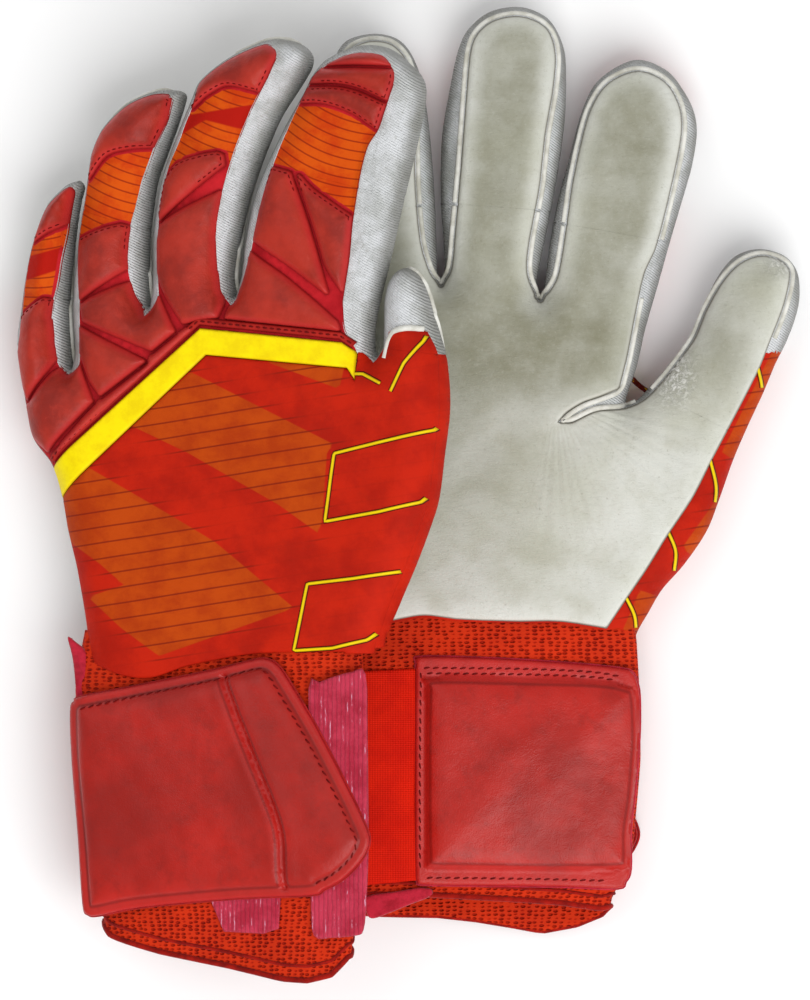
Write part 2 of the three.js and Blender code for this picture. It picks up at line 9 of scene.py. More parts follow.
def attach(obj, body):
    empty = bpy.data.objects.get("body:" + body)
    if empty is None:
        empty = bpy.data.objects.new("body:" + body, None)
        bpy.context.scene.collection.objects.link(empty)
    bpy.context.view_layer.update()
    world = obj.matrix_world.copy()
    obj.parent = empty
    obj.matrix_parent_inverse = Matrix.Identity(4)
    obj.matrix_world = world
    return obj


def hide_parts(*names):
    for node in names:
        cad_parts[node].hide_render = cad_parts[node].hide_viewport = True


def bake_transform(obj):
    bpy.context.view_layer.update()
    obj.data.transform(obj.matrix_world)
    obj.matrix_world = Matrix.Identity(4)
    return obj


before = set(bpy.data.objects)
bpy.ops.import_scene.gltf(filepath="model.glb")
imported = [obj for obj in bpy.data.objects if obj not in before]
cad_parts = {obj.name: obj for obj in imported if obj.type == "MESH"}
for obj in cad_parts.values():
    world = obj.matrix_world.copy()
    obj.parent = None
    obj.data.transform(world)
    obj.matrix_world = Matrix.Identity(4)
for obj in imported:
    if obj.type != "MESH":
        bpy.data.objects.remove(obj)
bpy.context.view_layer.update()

# Outlines of the panels, pads, walls and stalls of each glove, in millimetres on the glove's own plan.
REG = {"right":{"S":[[34.46,148.33],[35.35,148.22],[36.25,148.05],[38.05,147.53],[38.92,147.2],[40.54,146.45],[41.95,145.63],[42.66,145.1],[43.31,144.5],[43.91,143.84],[44.46,143.13],[45.43,141.62],[46.54,139.36],[47.19,137.73],[47.74,135.99],[48.13,134.22],[48.24,133.34],[48.43,130.22],[48.48,124.45],[48.39,120.48],[48.24,116.86],[47.98,113.33],[47.35,108.05],[46.11,99.37],[45.55,95.94],[44.32,89.04],[43.6,85.47],[39.92,68.15],[39.55,65.92],[39.49,64.91],[39.51,63.82],[39.6,62.77],[39.85,61.13],[40.75,60.23],[41.43,61.6],[41.65,62.33],[41.95,64.3],[43.62,77.04],[44.8,84.12],[45.47,87.6],[46.15,90.79],[46.58,92.55],[48.84,100.38],[51.01,109.29],[51.95,112.87],[52.44,114.47],[53.62,117.97],[54.28,119.71],[54.99,121.39],[55.78,122.96],[56.63,124.35],[57.16,125.06],[58.34,126.38],[58.99,127],[60.37,128.15],[61.08,128.67],[62.52,129.62],[64,130.48],[65.6,131.28],[67.27,131.94],[68.13,132.18],[68.99,132.35],[69.85,132.44],[70.72,132.44],[71.52,132.36],[72.35,132.19],[73.2,131.95],[74.93,131.3],[75.78,130.91],[77.39,130.05],[78.81,129.15],[79.54,128.58],[80.23,127.95],[80.86,127.26],[82.03,125.78],[84.1,122.67],[85.05,121.05],[85.9,119.37],[86.61,117.69],[87.16,115.95],[87.38,115.02],[87.69,113.13],[87.81,111.22],[87.8,110.27],[87.69,108.67],[87.48,106.9],[87.2,105.04],[86.49,101.28],[86.1,99.5],[85.65,97.74],[80.76,81.22],[78.72,74.13],[75.51,62.63],[73.17,54.7],[72.22,51.24],[71.79,49.44],[70.26,42.2],[69.82,40.45],[69.29,38.7],[67.14,32.48],[66.52,30.56],[66.45,29.52],[66.52,28.47],[68.95,29.6],[69.72,30.03],[70.42,30.56],[71.95,32.11],[75.66,36.3],[78.5,39.67],[79.69,41.15],[81.96,44.13],[85.06,48.32],[86.03,49.75],[86.9,51.24],[87.91,53.5],[89.5,57.69],[90.19,59.33],[92.18,63.68],[93.04,65.39],[93.93,66.99],[95.49,69.32],[96.69,70.88],[98.02,72.28],[98.73,72.88],[99.48,73.41],[100.28,73.88],[101.13,74.29],[102.01,74.65],[102.93,74.95],[103.86,75.19],[104.81,75.37],[105.75,75.47],[106.67,75.51],[107.51,75.48],[109.28,75.23],[110.18,75.03],[111.92,74.49],[113.49,73.8],
[114.17,73.41],[114.91,72.88],[115.61,72.26],[116.24,71.57],[116.8,70.81],[117.3,70.01],[117.72,69.18],[118.06,68.32],[118.28,67.57],[118.46,66.75],[118.67,64.98],[118.73,62.23],[118.66,60.53],[118.46,58.85],[117.89,56.37],[116.89,53.09],[116.27,51.36],[115.57,49.62],[114.47,47.04],[113.67,45.38],[111.97,42.11],[111.17,40.45],[107.95,32.63],[107.24,31.03],[103.5,23.14],[100.62,16.66],[99.24,13.35],[97.95,10],[95.9,4.04],[92.61,-5.19],[91.94,-6.86],[91.2,-8.49],[90.38,-10.04],[89.49,-11.56],[88.52,-13.08],[86.45,-16.06],[83.9,-19.48],[82.73,-20.91],[78.94,-25.01],[77.81,-26.32],[76.81,-27.66],[75.46,-29.82],[73.41,-33.56],[71,-37.54],[70.1,-39.25],[69.72,-40.13],[69.42,-41.03],[69.22,-41.95],[69.03,-43.23],[68.75,-46.23],[68.48,-51.54],[68.02,-65.92],[-20.68,-65.92],[-20.58,-63.19],[-19.9,-49.95],[-19.85,-46.47],[-19.95,-43.35],[-20.08,-41.95],[-20.22,-41.04],[-20.43,-40.16],[-21.02,-38.42],[-21.37,-37.57],[-23.43,-33.39],[-24.22,-31.69],[-24.57,-30.84],[-25.1,-29.24],[-27.05,-22.71],[-28.01,-19.14],[-28.89,-15.53],[-29.67,-11.99],[-30.28,-8.66],[-30.84,-5.22],[-31.35,-1.69],[-32.25,5.46],[-32.76,9.9],[-33.46,17.19],[-34.67,32.72],[-35.68,47.47],[-36.28,54.61],[-37.01,62.05],[-37.86,69.83],[-39.17,79.13],[-39.55,82.4],[-39.87,86.12],[-39.96,87.99],[-39.96,89.77],[-39.85,91.39],[-39.54,93.32],[-39.31,94.29],[-39.02,95.23],[-38.67,96.12],[-38.25,96.95],[-37.76,97.69],[-37.16,98.36],[-36.46,99],[-35.69,99.59],[-34.87,100.1],[-34.02,100.52],[-33.18,100.82],[-32.36,100.98],[-31.54,101],[-30.68,100.89],[-29.8,100.66],[-28.94,100.34],[-28.11,99.92],[-27.34,99.43],[-26.67,98.88],[-26.08,98.24],[-25.54,97.48],[-25.06,96.64],[-24.63,95.73],[-24.26,94.79],[-23.67,92.89],[-23.36,91.54],[-22.75,88.27],[-21.91,82.6],[-21.16,77.07],[-20.26,69.59],[-18.31,51.91],[-17.98,49.74],[-17.48,48.8],[-16.78,47.94],[-16.04,48.8],[-15.58,49.74],[-15.53,51.61],[-15.55,54.99],[-15.63,58.97],[-15.91,66.64],[-16.68,81.1],[-17.17,88.94],[-17.68,95.89],[-18.03,99.63],[-18.46,103.45],[-19.61,112.74],
[-20.99,124.54],[-21.3,128.2],[-21.34,129.82],[-21.27,131.25],[-21.14,132.17],[-20.92,133.1],[-20.61,134.01],[-20.23,134.9],[-19.77,135.74],[-19.24,136.52],[-18.64,137.22],[-17.98,137.84],[-17.31,138.31],[-16.54,138.72],[-15.69,139.08],[-14.79,139.39],[-12.91,139.86],[-11.97,140.02],[-10.19,140.24],[-9.26,140.28],[-8.32,140.26],[-6.41,140.05],[-4.6,139.63],[-3.77,139.35],[-3,139.04],[-2.22,138.63],[-1.48,138.13],[-0.78,137.57],[-0.13,136.96],[0.46,136.29],[1.01,135.58],[1.5,134.84],[2.24,133.51],[2.99,131.96],[3.69,130.27],[4.33,128.5],[4.87,126.72],[5.26,125.13],[5.88,121.88],[6.71,116.31],[7.58,108.84],[7.91,105.35],[8.49,97.93],[8.99,89.89],[9.18,86.04],[9.71,69.55],[9.89,67.12],[10.11,66.3],[10.79,64.72],[11.73,66.49],[11.99,67.42],[12.03,69.5],[11.83,75.11],[11.57,79.67],[10.99,86.15],[10.86,88.03],[10.76,91.43],[10.71,98.58],[10.77,102.4],[10.91,106.14],[11.17,109.66],[11.38,111.46],[11.92,115.16],[12.56,118.82],[14.64,129.79],[15.44,133.28],[15.88,134.84],[16.44,136.58],[17.09,138.29],[17.88,139.93],[18.35,140.7],[18.88,141.43],[20.06,142.79],[21.43,144.13],[22.96,145.36],[23.78,145.91],[24.61,146.41],[25.47,146.83],[26.28,147.15],[28.04,147.7],[28.97,147.91],[30.86,148.22],[32.72,148.36]],"pads":[["little",[[[-27.71,98.88],[-27.1,98.38],[-26.57,97.8],[-26.08,97.11],[-25.23,95.46],[-24.87,94.55],[-24.31,92.72],[-23.4,88.13],[-23.42,87.88],[-23.57,87.68],[-29.59,84.27],[-33.63,81.78],[-33.86,81.7],[-34.11,81.75],[-34.29,81.92],[-34.36,82.16],[-33.58,87.18],[-32.73,91.45],[-31.93,94.17],[-31.48,95.17],[-30.92,96.17],[-29.57,98.07],[-28.86,98.94],[-28.54,99.2],[-28.3,99.22]]]],["hand",[[[-22.76,61.27],[-22.94,58.06],[-22.98,55.71],[-22.74,55.58],[-22.61,55.37],[-22.06,51.08],[-22,47.19],[-21.88,46.45],[-21.57,45.37],[-21.47,44.08],[-21.32,43.61],[-21.17,42.68],[-21.24,42.31],[-25.32,35.18],[-26.61,33.11],[-29.2,29.29],[-31.81,25.66],[-32.09,25.41],[-32.32,25.31],[-32.76,25.3],[-33.14,25.52],[-33.38,25.89],[-33.52,26.45],[-34.8,44.64],[-34.49,46.35],[-34.5,
51.86],[-34.36,52.24],[-34.48,53.76],[-34.45,54.17],[-28.63,59.96],[-25.31,63.09],[-23.02,63.24]]]],["ring",[[[-4.68,131.64],[-3.56,131.48],[-2.31,131.17],[-1.01,130.75],[1.43,129.76],[2.46,129.21],[3.51,128.34],[3.82,127.94],[4.24,126.54],[4.93,123.45],[5.52,119.99],[6.03,116.42],[5.7,113.96],[5.1,110.4],[4.91,110.25],[4.44,110.23],[0.07,111.59],[-2.07,112.17],[-4.11,112.57],[-7.3,112.98],[-9.3,113.05],[-10.18,112.97],[-10.96,112.8],[-11.63,112.53],[-12.16,112.18],[-12.68,111.72],[-13.72,110.48],[-16.9,105.53],[-17.17,105.27],[-17.4,105.16],[-17.73,105.16],[-17.94,105.3],[-18.05,105.52],[-19.47,117.47],[-19.31,119.14],[-18.94,121.02],[-18.38,122.75],[-18.01,123.55],[-17.26,124.88],[-16.33,126.24],[-15.27,127.56],[-14.13,128.76],[-12.93,129.78],[-11.62,130.58],[-10.84,130.9],[-9.12,131.38],[-8.22,131.54],[-6.39,131.68]]]],["hand",[[[3.76,87.39],[3.93,87.21],[4,86.97],[3.69,77.8],[3.77,73.21],[3.72,72.96],[3.56,72.78],[0.31,71.21],[-3.17,69.34],[-6.52,67.34],[-9.88,65.12],[-12.33,63.37],[-12.68,63.22],[-12.93,63.19],[-13.35,63.32],[-13.51,63.45],[-13.73,63.81],[-14.19,65.94],[-14.61,68.93],[-15.66,74.86],[-16.14,83.13],[-16.1,83.56],[-15.94,83.75],[-11.39,85.27],[-9.25,85.9],[-7.07,86.44],[-4.86,86.86],[-2.63,87.15],[-0.39,87.33],[3.52,87.45]]]],["middle",[[[35.37,141.27],[36.57,140.75],[37.77,140.01],[38.86,139.19],[39.77,138.37],[40.76,137.14],[41.43,135.83],[41.81,134.45],[41.88,133.41],[41.86,132.24],[41.61,129.68],[41.12,126.09],[40.08,120.78],[39.97,120.56],[39.76,120.43],[39.52,120.41],[38.28,120.87],[32.1,123.52],[29.77,124.44],[27.7,125.08],[26.83,125.24],[25.94,125.3],[25.09,125.22],[24.27,125.03],[23.47,124.74],[19.61,122.76],[18.95,122.33],[16.41,120.36],[15.1,119.45],[14.74,119.32],[14.49,119.31],[14.14,119.45],[14.01,119.66],[14.21,122.4],[14.17,123.72],[15.83,132.14],[15.95,132.36],[16.84,133.2],[18.34,134.45],[19.96,135.64],[21.62,136.72],[23.27,137.66],[25.1,138.54],[27.09,139.39],[29.12,140.16],[31.09,140.78],[32.88,141.22],[34.31,141.42]]]],
["middle",[[[19.55,101.3],[25.58,100.78],[32.64,99.79],[33,99.67],[33.2,99.52],[33.44,99.18],[34.74,95.28],[34.77,94.9],[34.72,94.65],[34.5,94.3],[33.7,93.79],[30.88,92.24],[22.43,88.24],[12.59,88.92],[12.58,92.38],[12.44,96.12],[12.48,96.34],[12.99,97.35],[13.96,98.86],[14.51,99.53],[15.12,100.12],[15.67,100.53],[16.51,100.93],[17.47,101.18],[18.47,101.29]]]],["hand",[[[34.83,86.94],[35.06,86.85],[35.37,86.54],[35.51,86.11],[35.11,83.19],[33.87,76.07],[32.77,69.07],[31.97,65.02],[32.1,64.71],[31.1,59.49],[31.03,58.51],[31.25,57.1],[30.33,54.78],[29.68,53.67],[27.24,50.71],[27.02,50.54],[26.66,50.43],[23.49,50.44],[19.6,50.6],[16.22,50.93],[15.86,51.05],[15.66,51.2],[15.44,51.55],[14.92,55.66],[14.59,57.66],[12.61,67.06],[12.69,68.72],[12.58,73.32],[12.79,78.54],[13.73,83.32],[13.83,83.56],[14.17,83.9],[14.38,83.99],[19.64,85],[23.15,85.59],[34.45,86.96]]]],["index",[[[71.39,131.71],[72.18,131.55],[73.82,131.04],[76.28,129.92],[77.77,129.05],[79.1,128.09],[79.36,127.76],[79.37,127.52],[79.25,127.3],[79.04,127.16],[74.22,127.33],[63.16,128.03],[62.64,128.13],[62.48,128.31],[62.43,128.56],[62.51,128.79],[62.65,128.93],[65.09,130.31],[66.68,131.02],[68.3,131.54],[69.91,131.79]]]],["index",[[[61.47,127.66],[76.27,126.75],[80.38,126.65],[80.6,126.54],[82.02,124.64],[83.54,122.33],[84.46,120.75],[84.53,120.51],[84.44,119.6],[83.81,115.65],[83.7,115.43],[83.49,115.26],[83.01,115.17],[80.85,115.94],[74.25,118.69],[70.45,119.93],[66.51,120.88],[64.67,121.18],[56.71,121.89],[56.48,121.98],[56.32,122.17],[56.28,122.41],[57.18,123.99],[57.68,124.66],[58.82,125.92],[60.82,127.66],[61.05,127.75]]]],["index",[[[63.7,120.81],[65.46,120.57],[67.39,120.21],[69.34,119.74],[73.23,118.55],[74.96,117.9],[81.65,115.11],[82.78,114.71],[83.29,114.64],[83.48,114.48],[83.56,114.24],[82.57,107.57],[82.22,105.93],[82.1,105.71],[81.89,105.58],[81.39,105.61],[78.61,107.05],[75.03,109.05],[73.23,109.97],[71.38,110.81],[67.41,112.42],[63.41,113.74],[61.52,114.21],[59.68,114.49],[53.95,114.9],
[53.66,114.99],[53.5,115.18],[53.46,115.43],[54.89,119.46],[55.59,121.11],[55.79,121.39],[56.03,121.47]]]],["hand",[[[62.45,80.28],[63.59,77.58],[64.71,74.51],[65.58,71.53],[65.96,69.99],[66.58,66.81],[67.22,61.84],[67.58,56.8],[67.52,56.42],[67.28,56.06],[67.07,55.92],[66.64,55.85],[66.25,55.96],[64.05,57.34],[51.67,65.76],[44.97,70.44],[44.66,70.75],[44.62,71],[45.81,74.14],[46.84,77.26],[47.73,80.58],[48.23,82.74]]]],["hand",[[[78.97,77.43],[74.88,62.81],[73.4,57.8],[73.27,57.59],[73.05,57.48],[72.8,57.48],[72.37,57.83],[68.88,63],[68.12,64.42],[67,67.23],[66.43,70.11],[65.62,73.18],[64.64,76.19],[63.04,80.15]]]],["hand",[[[43.97,68.43],[51.54,62.56],[54.09,60.48],[67.68,48.19],[67.92,47.82],[68.17,46.4],[67.99,45.2],[67.85,44.84],[67.69,44.65],[67.33,44.44],[62.51,44.43],[58.11,44.61],[53.88,44.94],[49.79,45.4],[45.86,45.97],[42.03,46.66],[38.21,47.46],[29.66,49.57],[29.32,49.75],[29.15,49.93],[28.99,50.33],[29.09,50.89],[31.47,54.41],[31.75,54.68],[31.99,54.72],[32.22,54.64],[32.42,54.4],[34.64,56.23],[38.69,61.01],[38.94,61.04],[39.16,60.94],[40.46,59.65],[40.71,59.58],[40.96,59.61],[41.18,59.74],[41.33,59.92],[42.05,61.4],[42.3,62.21],[43.04,67.63],[43.49,68.41],[43.73,68.49]]]],["hand",[[[-14.29,43.11],[-14.15,42.9],[-13.09,37.76],[-11.94,30.1],[-11.97,29.69],[-12.11,29.38],[-24.98,14.45],[-28.59,10.44],[-28.91,10.22],[-29.14,10.15],[-29.57,10.18],[-29.85,10.33],[-32.18,12.11],[-32.33,12.31],[-33.36,24.22],[-33.31,24.47],[-33.04,24.76],[-32.09,24.87],[-31.87,24.97],[-31.45,25.34],[-28.8,29.01],[-26.2,32.86],[-24.91,34.94],[-22.65,38.86],[-21.47,40.2],[-21.14,40.46],[-20.89,40.47],[-20.67,40.36],[-19.23,38.3],[-15.33,41.61],[-14.97,43.07],[-14.76,43.2],[-14.51,43.22]]]],["hand",[[[-12.73,55.06],[-9.5,53.58],[-7.94,52.75],[-5.02,50.9],[-3.64,49.89],[-1.04,47.74],[1.38,45.42],[3.62,43.06],[3.82,42.73],[3.87,42.48],[3.79,42.06],[3.52,41.71],[0.73,39.83],[-2.04,37.83],[-4.91,35.61],[-9.36,31.86],[-9.69,31.68],[-10.13,31.64],[-10.53,31.84],[-10.78,32.17],[-11.36,
33.9],[-12.39,36.6],[-13.16,40.73],[-13.59,42.62],[-14.32,45.28],[-14.61,45.61],[-14.65,45.86],[-14.25,50.54],[-14.07,53.68],[-13.93,54.46],[-13.67,54.89],[-13.28,55.1]]]],["hand",[[[3.93,69.19],[4.12,69.03],[4.21,68.81],[4.55,66.17],[4.87,64.64],[5.56,61.94],[5.95,59.93],[6.13,57.91],[9.7,60.89],[10.47,61.67],[11.18,62.6],[11.57,63.34],[11.77,63.49],[12.01,63.51],[12.24,63.42],[12.39,63.22],[12.81,60.81],[13.05,58.84],[13.37,54.86],[13.64,49.97],[13.58,49.59],[13.47,49.37],[13.17,49.08],[10.1,47.4],[6.4,45.15],[6.04,45.02],[5.79,45.01],[5.4,45.14],[2.26,48.03],[-0.3,50.08],[-1.6,51],[-4.23,52.65],[-7.17,54.2],[-8.72,54.91],[-11.92,56.16],[-12.24,56.37],[-12.4,56.56],[-12.55,56.92],[-13.38,61.88],[-13.37,62.26],[-13.29,62.49],[-13.1,62.65],[-12.66,62.72],[-12.11,62.94],[-10.54,64.08],[-8.02,65.31],[-3.92,67.1],[-1.93,67.85],[-0.03,68.46],[1.75,68.92],[3.37,69.2]]]],["hand",[[[19.25,50.08],[19.41,49.89],[19.46,49.65],[19.37,49.42],[17.58,47.58],[15.11,46.17],[12.24,44.42],[9.48,42.6],[6.78,40.69],[4.1,38.67],[1.43,36.52],[-1.25,34.25],[-6.67,29.31],[-9.43,26.64],[-20.9,14.98],[-26.55,9.36],[-26.91,9.23],[-27.16,9.22],[-27.57,9.38],[-27.84,9.72],[-27.91,10.15],[-27.74,10.61],[-21.7,17.48],[-11.77,29.04],[-11.52,29.51],[-11.39,30.26],[-10.62,31.04],[-10.26,31.17],[-9.63,31.18],[-9.1,31.45],[-6.09,34.03],[-3.16,36.38],[-0.37,38.47],[3.9,41.39],[4.25,41.88],[4.33,42.12],[4.31,42.81],[4.21,43.14],[4.29,43.38],[5.34,44.41],[5.56,44.52],[6.09,44.53],[6.51,44.67],[9.59,46.55],[13.48,48.71],[14.01,49.25],[15.85,49.98],[17.02,50.36]]]]],"BACK":[[[35.43,141.26],[36.6,140.74],[37.79,140],[38.87,139.18],[39.75,138.4],[40.74,137.19],[41.45,135.78],[41.82,134.4],[41.89,133.39],[41.86,132.23],[41.61,129.68],[41.12,126.09],[39.1,115.44],[38.78,113.35],[37.58,103.72],[36.11,90.53],[35.11,83.19],[33.87,76.07],[32.77,69.07],[31.96,65.02],[32.15,65.02],[31.99,63.94],[31.1,59.5],[31.03,58.54],[31.19,57.45],[32.41,54.38],[34.62,56.22],[37.13,59.17],[39.09,61.64],[39.2,61.01],[39.39,60.66],
[40.5,59.62],[40.75,59.57],[41,59.62],[41.22,59.76],[42.02,61.31],[42.28,62.13],[43.05,67.72],[44.16,69.97],[45.81,74.14],[46.84,77.27],[48.1,82.16],[48.77,85.46],[49.36,88.96],[50.49,97.45],[51.76,105.41],[52.51,112.4],[53.93,116.87],[55.23,120.31],[55.96,121.9],[56.76,123.33],[57.67,124.65],[58.22,125.29],[59.44,126.51],[60.77,127.63],[62.16,128.62],[63.56,129.48],[65.08,130.3],[66.67,131.02],[68.28,131.54],[69.89,131.79],[70.68,131.79],[72.2,131.55],[73.01,131.32],[74.67,130.7],[76.29,129.91],[77.77,129.04],[79.12,128.08],[79.76,127.48],[80.94,126.13],[83.54,122.33],[84.53,120.62],[84.44,119.59],[82.57,107.58],[82.19,105.8],[81.89,104.89],[80.3,101.46],[80.04,100.56],[79.88,99.73],[79.7,97.97],[79.6,93.57],[79.91,83.74],[79.75,80.12],[74.88,62.81],[72.91,56.17],[72.17,54.69],[70.19,47.48],[69.96,46.31],[69.84,45.24],[69.97,43.93],[69.18,40.63],[68.66,38.9],[65.89,30.75],[65.79,29.57],[65.93,28.17],[66.09,27.97],[66.31,27.84],[66.56,27.81],[69.28,29.02],[70.12,29.51],[70.82,30.04],[71.86,31.06],[74.26,33.68],[76.33,36.07],[76.68,35.83],[82.99,41.52],[84.42,42.9],[85.71,44.28],[89.23,48.52],[107.37,52.1],[108.86,47.79],[109.07,46.67],[109.12,45.5],[109.03,44.47],[108.64,42.15],[108.08,39.65],[105.58,29.84],[104.91,27.63],[102.9,23.42],[100.01,16.91],[98.63,13.6],[97.33,10.23],[92.96,-2.29],[86.05,-13.39],[82.42,-18.94],[79.06,-23.91],[77.86,-25.24],[76.79,-26.56],[75.79,-28],[74.89,-29.48],[72.84,-33.24],[70.43,-37.21],[69.49,-38.99],[68.78,-40.89],[68.47,-42.47],[67.48,-45.95],[58.26,-46.29],[58.3,-45.77],[34.31,-46.33],[29.95,-46.55],[27.43,-46.76],[22.29,-47.41],[15,-48.7],[9.97,-49.77],[7.65,-50.46],[3.1,-52.27],[0.96,-52.99],[-0.07,-53.21],[-1.22,-53.35],[-3.56,-53.37],[-4.74,-53.28],[-7.08,-52.92],[-9.21,-52.43],[-10.2,-52.13],[-17.42,-49.43],[-19.19,-46.37],[-19.29,-43.29],[-19.43,-41.85],[-19.8,-39.96],[-20.08,-39.05],[-20.77,-37.3],[-23.61,-31.44],[-24.25,-29.76],[-26.17,-23.4],[-28.04,-16.28],[-28.84,-12.73],[-29.49,-9.39],[-30.57,-2.48],[-32.01,9.06],
[-32.73,16.33],[-33.87,30.93],[-34.82,44.59],[-34.49,46.37],[-34.51,52.16],[-34.36,52.21],[-34.93,59.55],[-35.3,66.48],[-35.35,68.76],[-35.25,73.23],[-34.94,77.61],[-34.71,79.77],[-33.94,84.99],[-33.18,89.37],[-32.73,91.46],[-31.92,94.19],[-31.47,95.19],[-30.91,96.18],[-29.56,98.07],[-28.48,99.37],[-27.73,98.9],[-27.12,98.4],[-26.59,97.82],[-26.09,97.13],[-25.23,95.47],[-24.88,94.56],[-24.31,92.72],[-23.4,88.16],[-21.8,76.86],[-22.1,67.72],[-22.6,63.15],[-22.88,59.08],[-22.99,55.7],[-22.67,55.79],[-22.12,51.6],[-21.47,44.05],[-21.33,43.65],[-21.17,42.73],[-21.23,41.72],[-20.91,40.75],[-19.23,38.28],[-15.34,41.57],[-14.86,43.95],[-14.44,48.07],[-14.1,53.02],[-13.86,61.41],[-13.92,63.28],[-14.07,64.92],[-14.61,68.93],[-15.67,74.89],[-16.08,82.14],[-17.02,95.94],[-17.38,99.7],[-19.47,117.42],[-19.31,119.12],[-18.95,121],[-18.39,122.74],[-18.02,123.54],[-17.27,124.87],[-16.34,126.23],[-15.28,127.55],[-14.14,128.76],[-12.95,129.77],[-11.64,130.57],[-10.86,130.9],[-9.14,131.38],[-8.23,131.53],[-6.4,131.68],[-4.65,131.64],[-3.54,131.47],[-2.29,131.16],[0.28,130.26],[2.42,129.24],[3.55,128.32],[3.79,128.03],[4.24,126.55],[4.93,123.45],[6.03,116.36],[5.11,109.94],[4.91,104.58],[4.49,100.19],[4.46,98.39],[4.57,94.33],[4.55,91.61],[4.07,87.79],[3.77,81.49],[3.68,75.9],[3.73,73.99],[4.05,70.11],[4.55,66.18],[4.87,64.65],[5.56,61.95],[5.95,59.94],[6.12,57.89],[9.7,60.89],[10.46,61.65],[11.46,63.07],[11.76,65.14],[12.31,66.17],[12.62,67.25],[12.67,67.99],[12.58,73.29],[12.74,76.49],[12.78,80.07],[12.62,86.07],[12.58,92.38],[12.18,101.92],[12.24,102.82],[12.55,104.49],[13.14,106.93],[13.26,107.8],[13.36,109.53],[13.42,114.23],[13.53,116.04],[14.07,120.54],[14.21,122.39],[14.16,123.69],[15.29,129.66],[15.86,132.27],[16.84,133.2],[18.34,134.44],[19.95,135.63],[21.61,136.72],[23.26,137.65],[25.1,138.54],[27.09,139.39],[29.12,140.16],[31.08,140.78],[32.87,141.22],[34.38,141.42]]],"PALM":[[[34.16,145.33],[35.92,145.08],[36.81,144.87],[38.58,144.28],[40.23,143.5],[41.65,142.56],[42.25,
142.03],[42.83,141.39],[43.33,140.67],[43.77,139.88],[44.46,138.17],[44.73,137.27],[45.11,135.44],[45.33,133.74],[45.38,132.02],[45.33,130.17],[44.98,126.3],[44.43,121.86],[42.67,112.3],[42.14,108.83],[40.7,95.29],[40.16,91.68],[37.56,78.33],[36.86,73.19],[36.73,71.42],[36.71,69.69],[36.86,68.02],[37.03,67.14],[37.56,65.43],[39.02,62.16],[39.2,61.01],[39.39,60.66],[39.96,60.09],[40.15,59.63],[40.29,59.76],[40.5,59.62],[40.75,59.57],[41,59.62],[41.22,59.76],[42.04,61.37],[42.87,62.2],[43.45,62.93],[44.39,64.38],[45.23,66.01],[45.58,66.86],[46.01,68.37],[46.94,73.39],[48.06,80.77],[49.73,92.96],[50.34,96.49],[51.82,103.67],[53.52,110.84],[54.54,114.47],[55.14,116.21],[55.87,117.96],[56.69,119.65],[57.56,121.2],[58.43,122.56],[59.59,123.98],[60.93,125.24],[62.43,126.3],[64.7,127.47],[66.35,128.14],[68.1,128.65],[69.86,128.88],[70.72,128.85],[72.31,128.56],[73.15,128.32],[74.82,127.67],[76.43,126.82],[77.87,125.81],[78.51,125.25],[79.64,123.98],[80.15,123.25],[81.07,121.68],[82.17,119.14],[82.7,117.46],[83.05,115.78],[83.26,113.17],[83.23,111.4],[83.1,109.64],[82.69,106.6],[82.09,103.26],[80.52,95.89],[78.65,87.74],[76.82,80.4],[75.93,77.19],[75.22,74.98],[74.88,74.16],[72.91,70.18],[72.2,68.56],[71.92,67.72],[71.07,64.52],[69.04,54.54],[67.33,45.35],[66.63,41.97],[64.42,33.26],[58.43,30.86],[54.16,29.43],[53.34,29.07],[51.63,28.14],[49.95,27.09],[48.54,26.07],[47.88,25.46],[46.15,23.37],[49.09,23.22],[50.04,23.37],[50.69,23.61],[54.65,25.64],[56.38,26.4],[57.23,26.67],[58.92,26.97],[64.33,27.31],[65.92,27.57],[67.74,28.1],[69.49,28.81],[71.14,29.73],[71.92,30.26],[73.17,31.33],[74.47,32.62],[77.02,35.48],[80,39.04],[85.36,46.23],[86.33,47.65],[87.2,49.14],[87.88,50.61],[90.12,56.43],[92.55,61.19],[94.38,64.28],[95.29,65.62],[96.43,67.13],[97.66,68.59],[98.99,69.91],[100.38,71.02],[102.07,72.02],[103.9,72.81],[105.76,73.3],[106.67,73.41],[107.6,73.42],[108.58,73.33],[110.52,72.91],[112.26,72.27],[112.97,71.92],[113.74,71.4],[114.45,70.76],[115.05,70.02],[115.47,69.2],
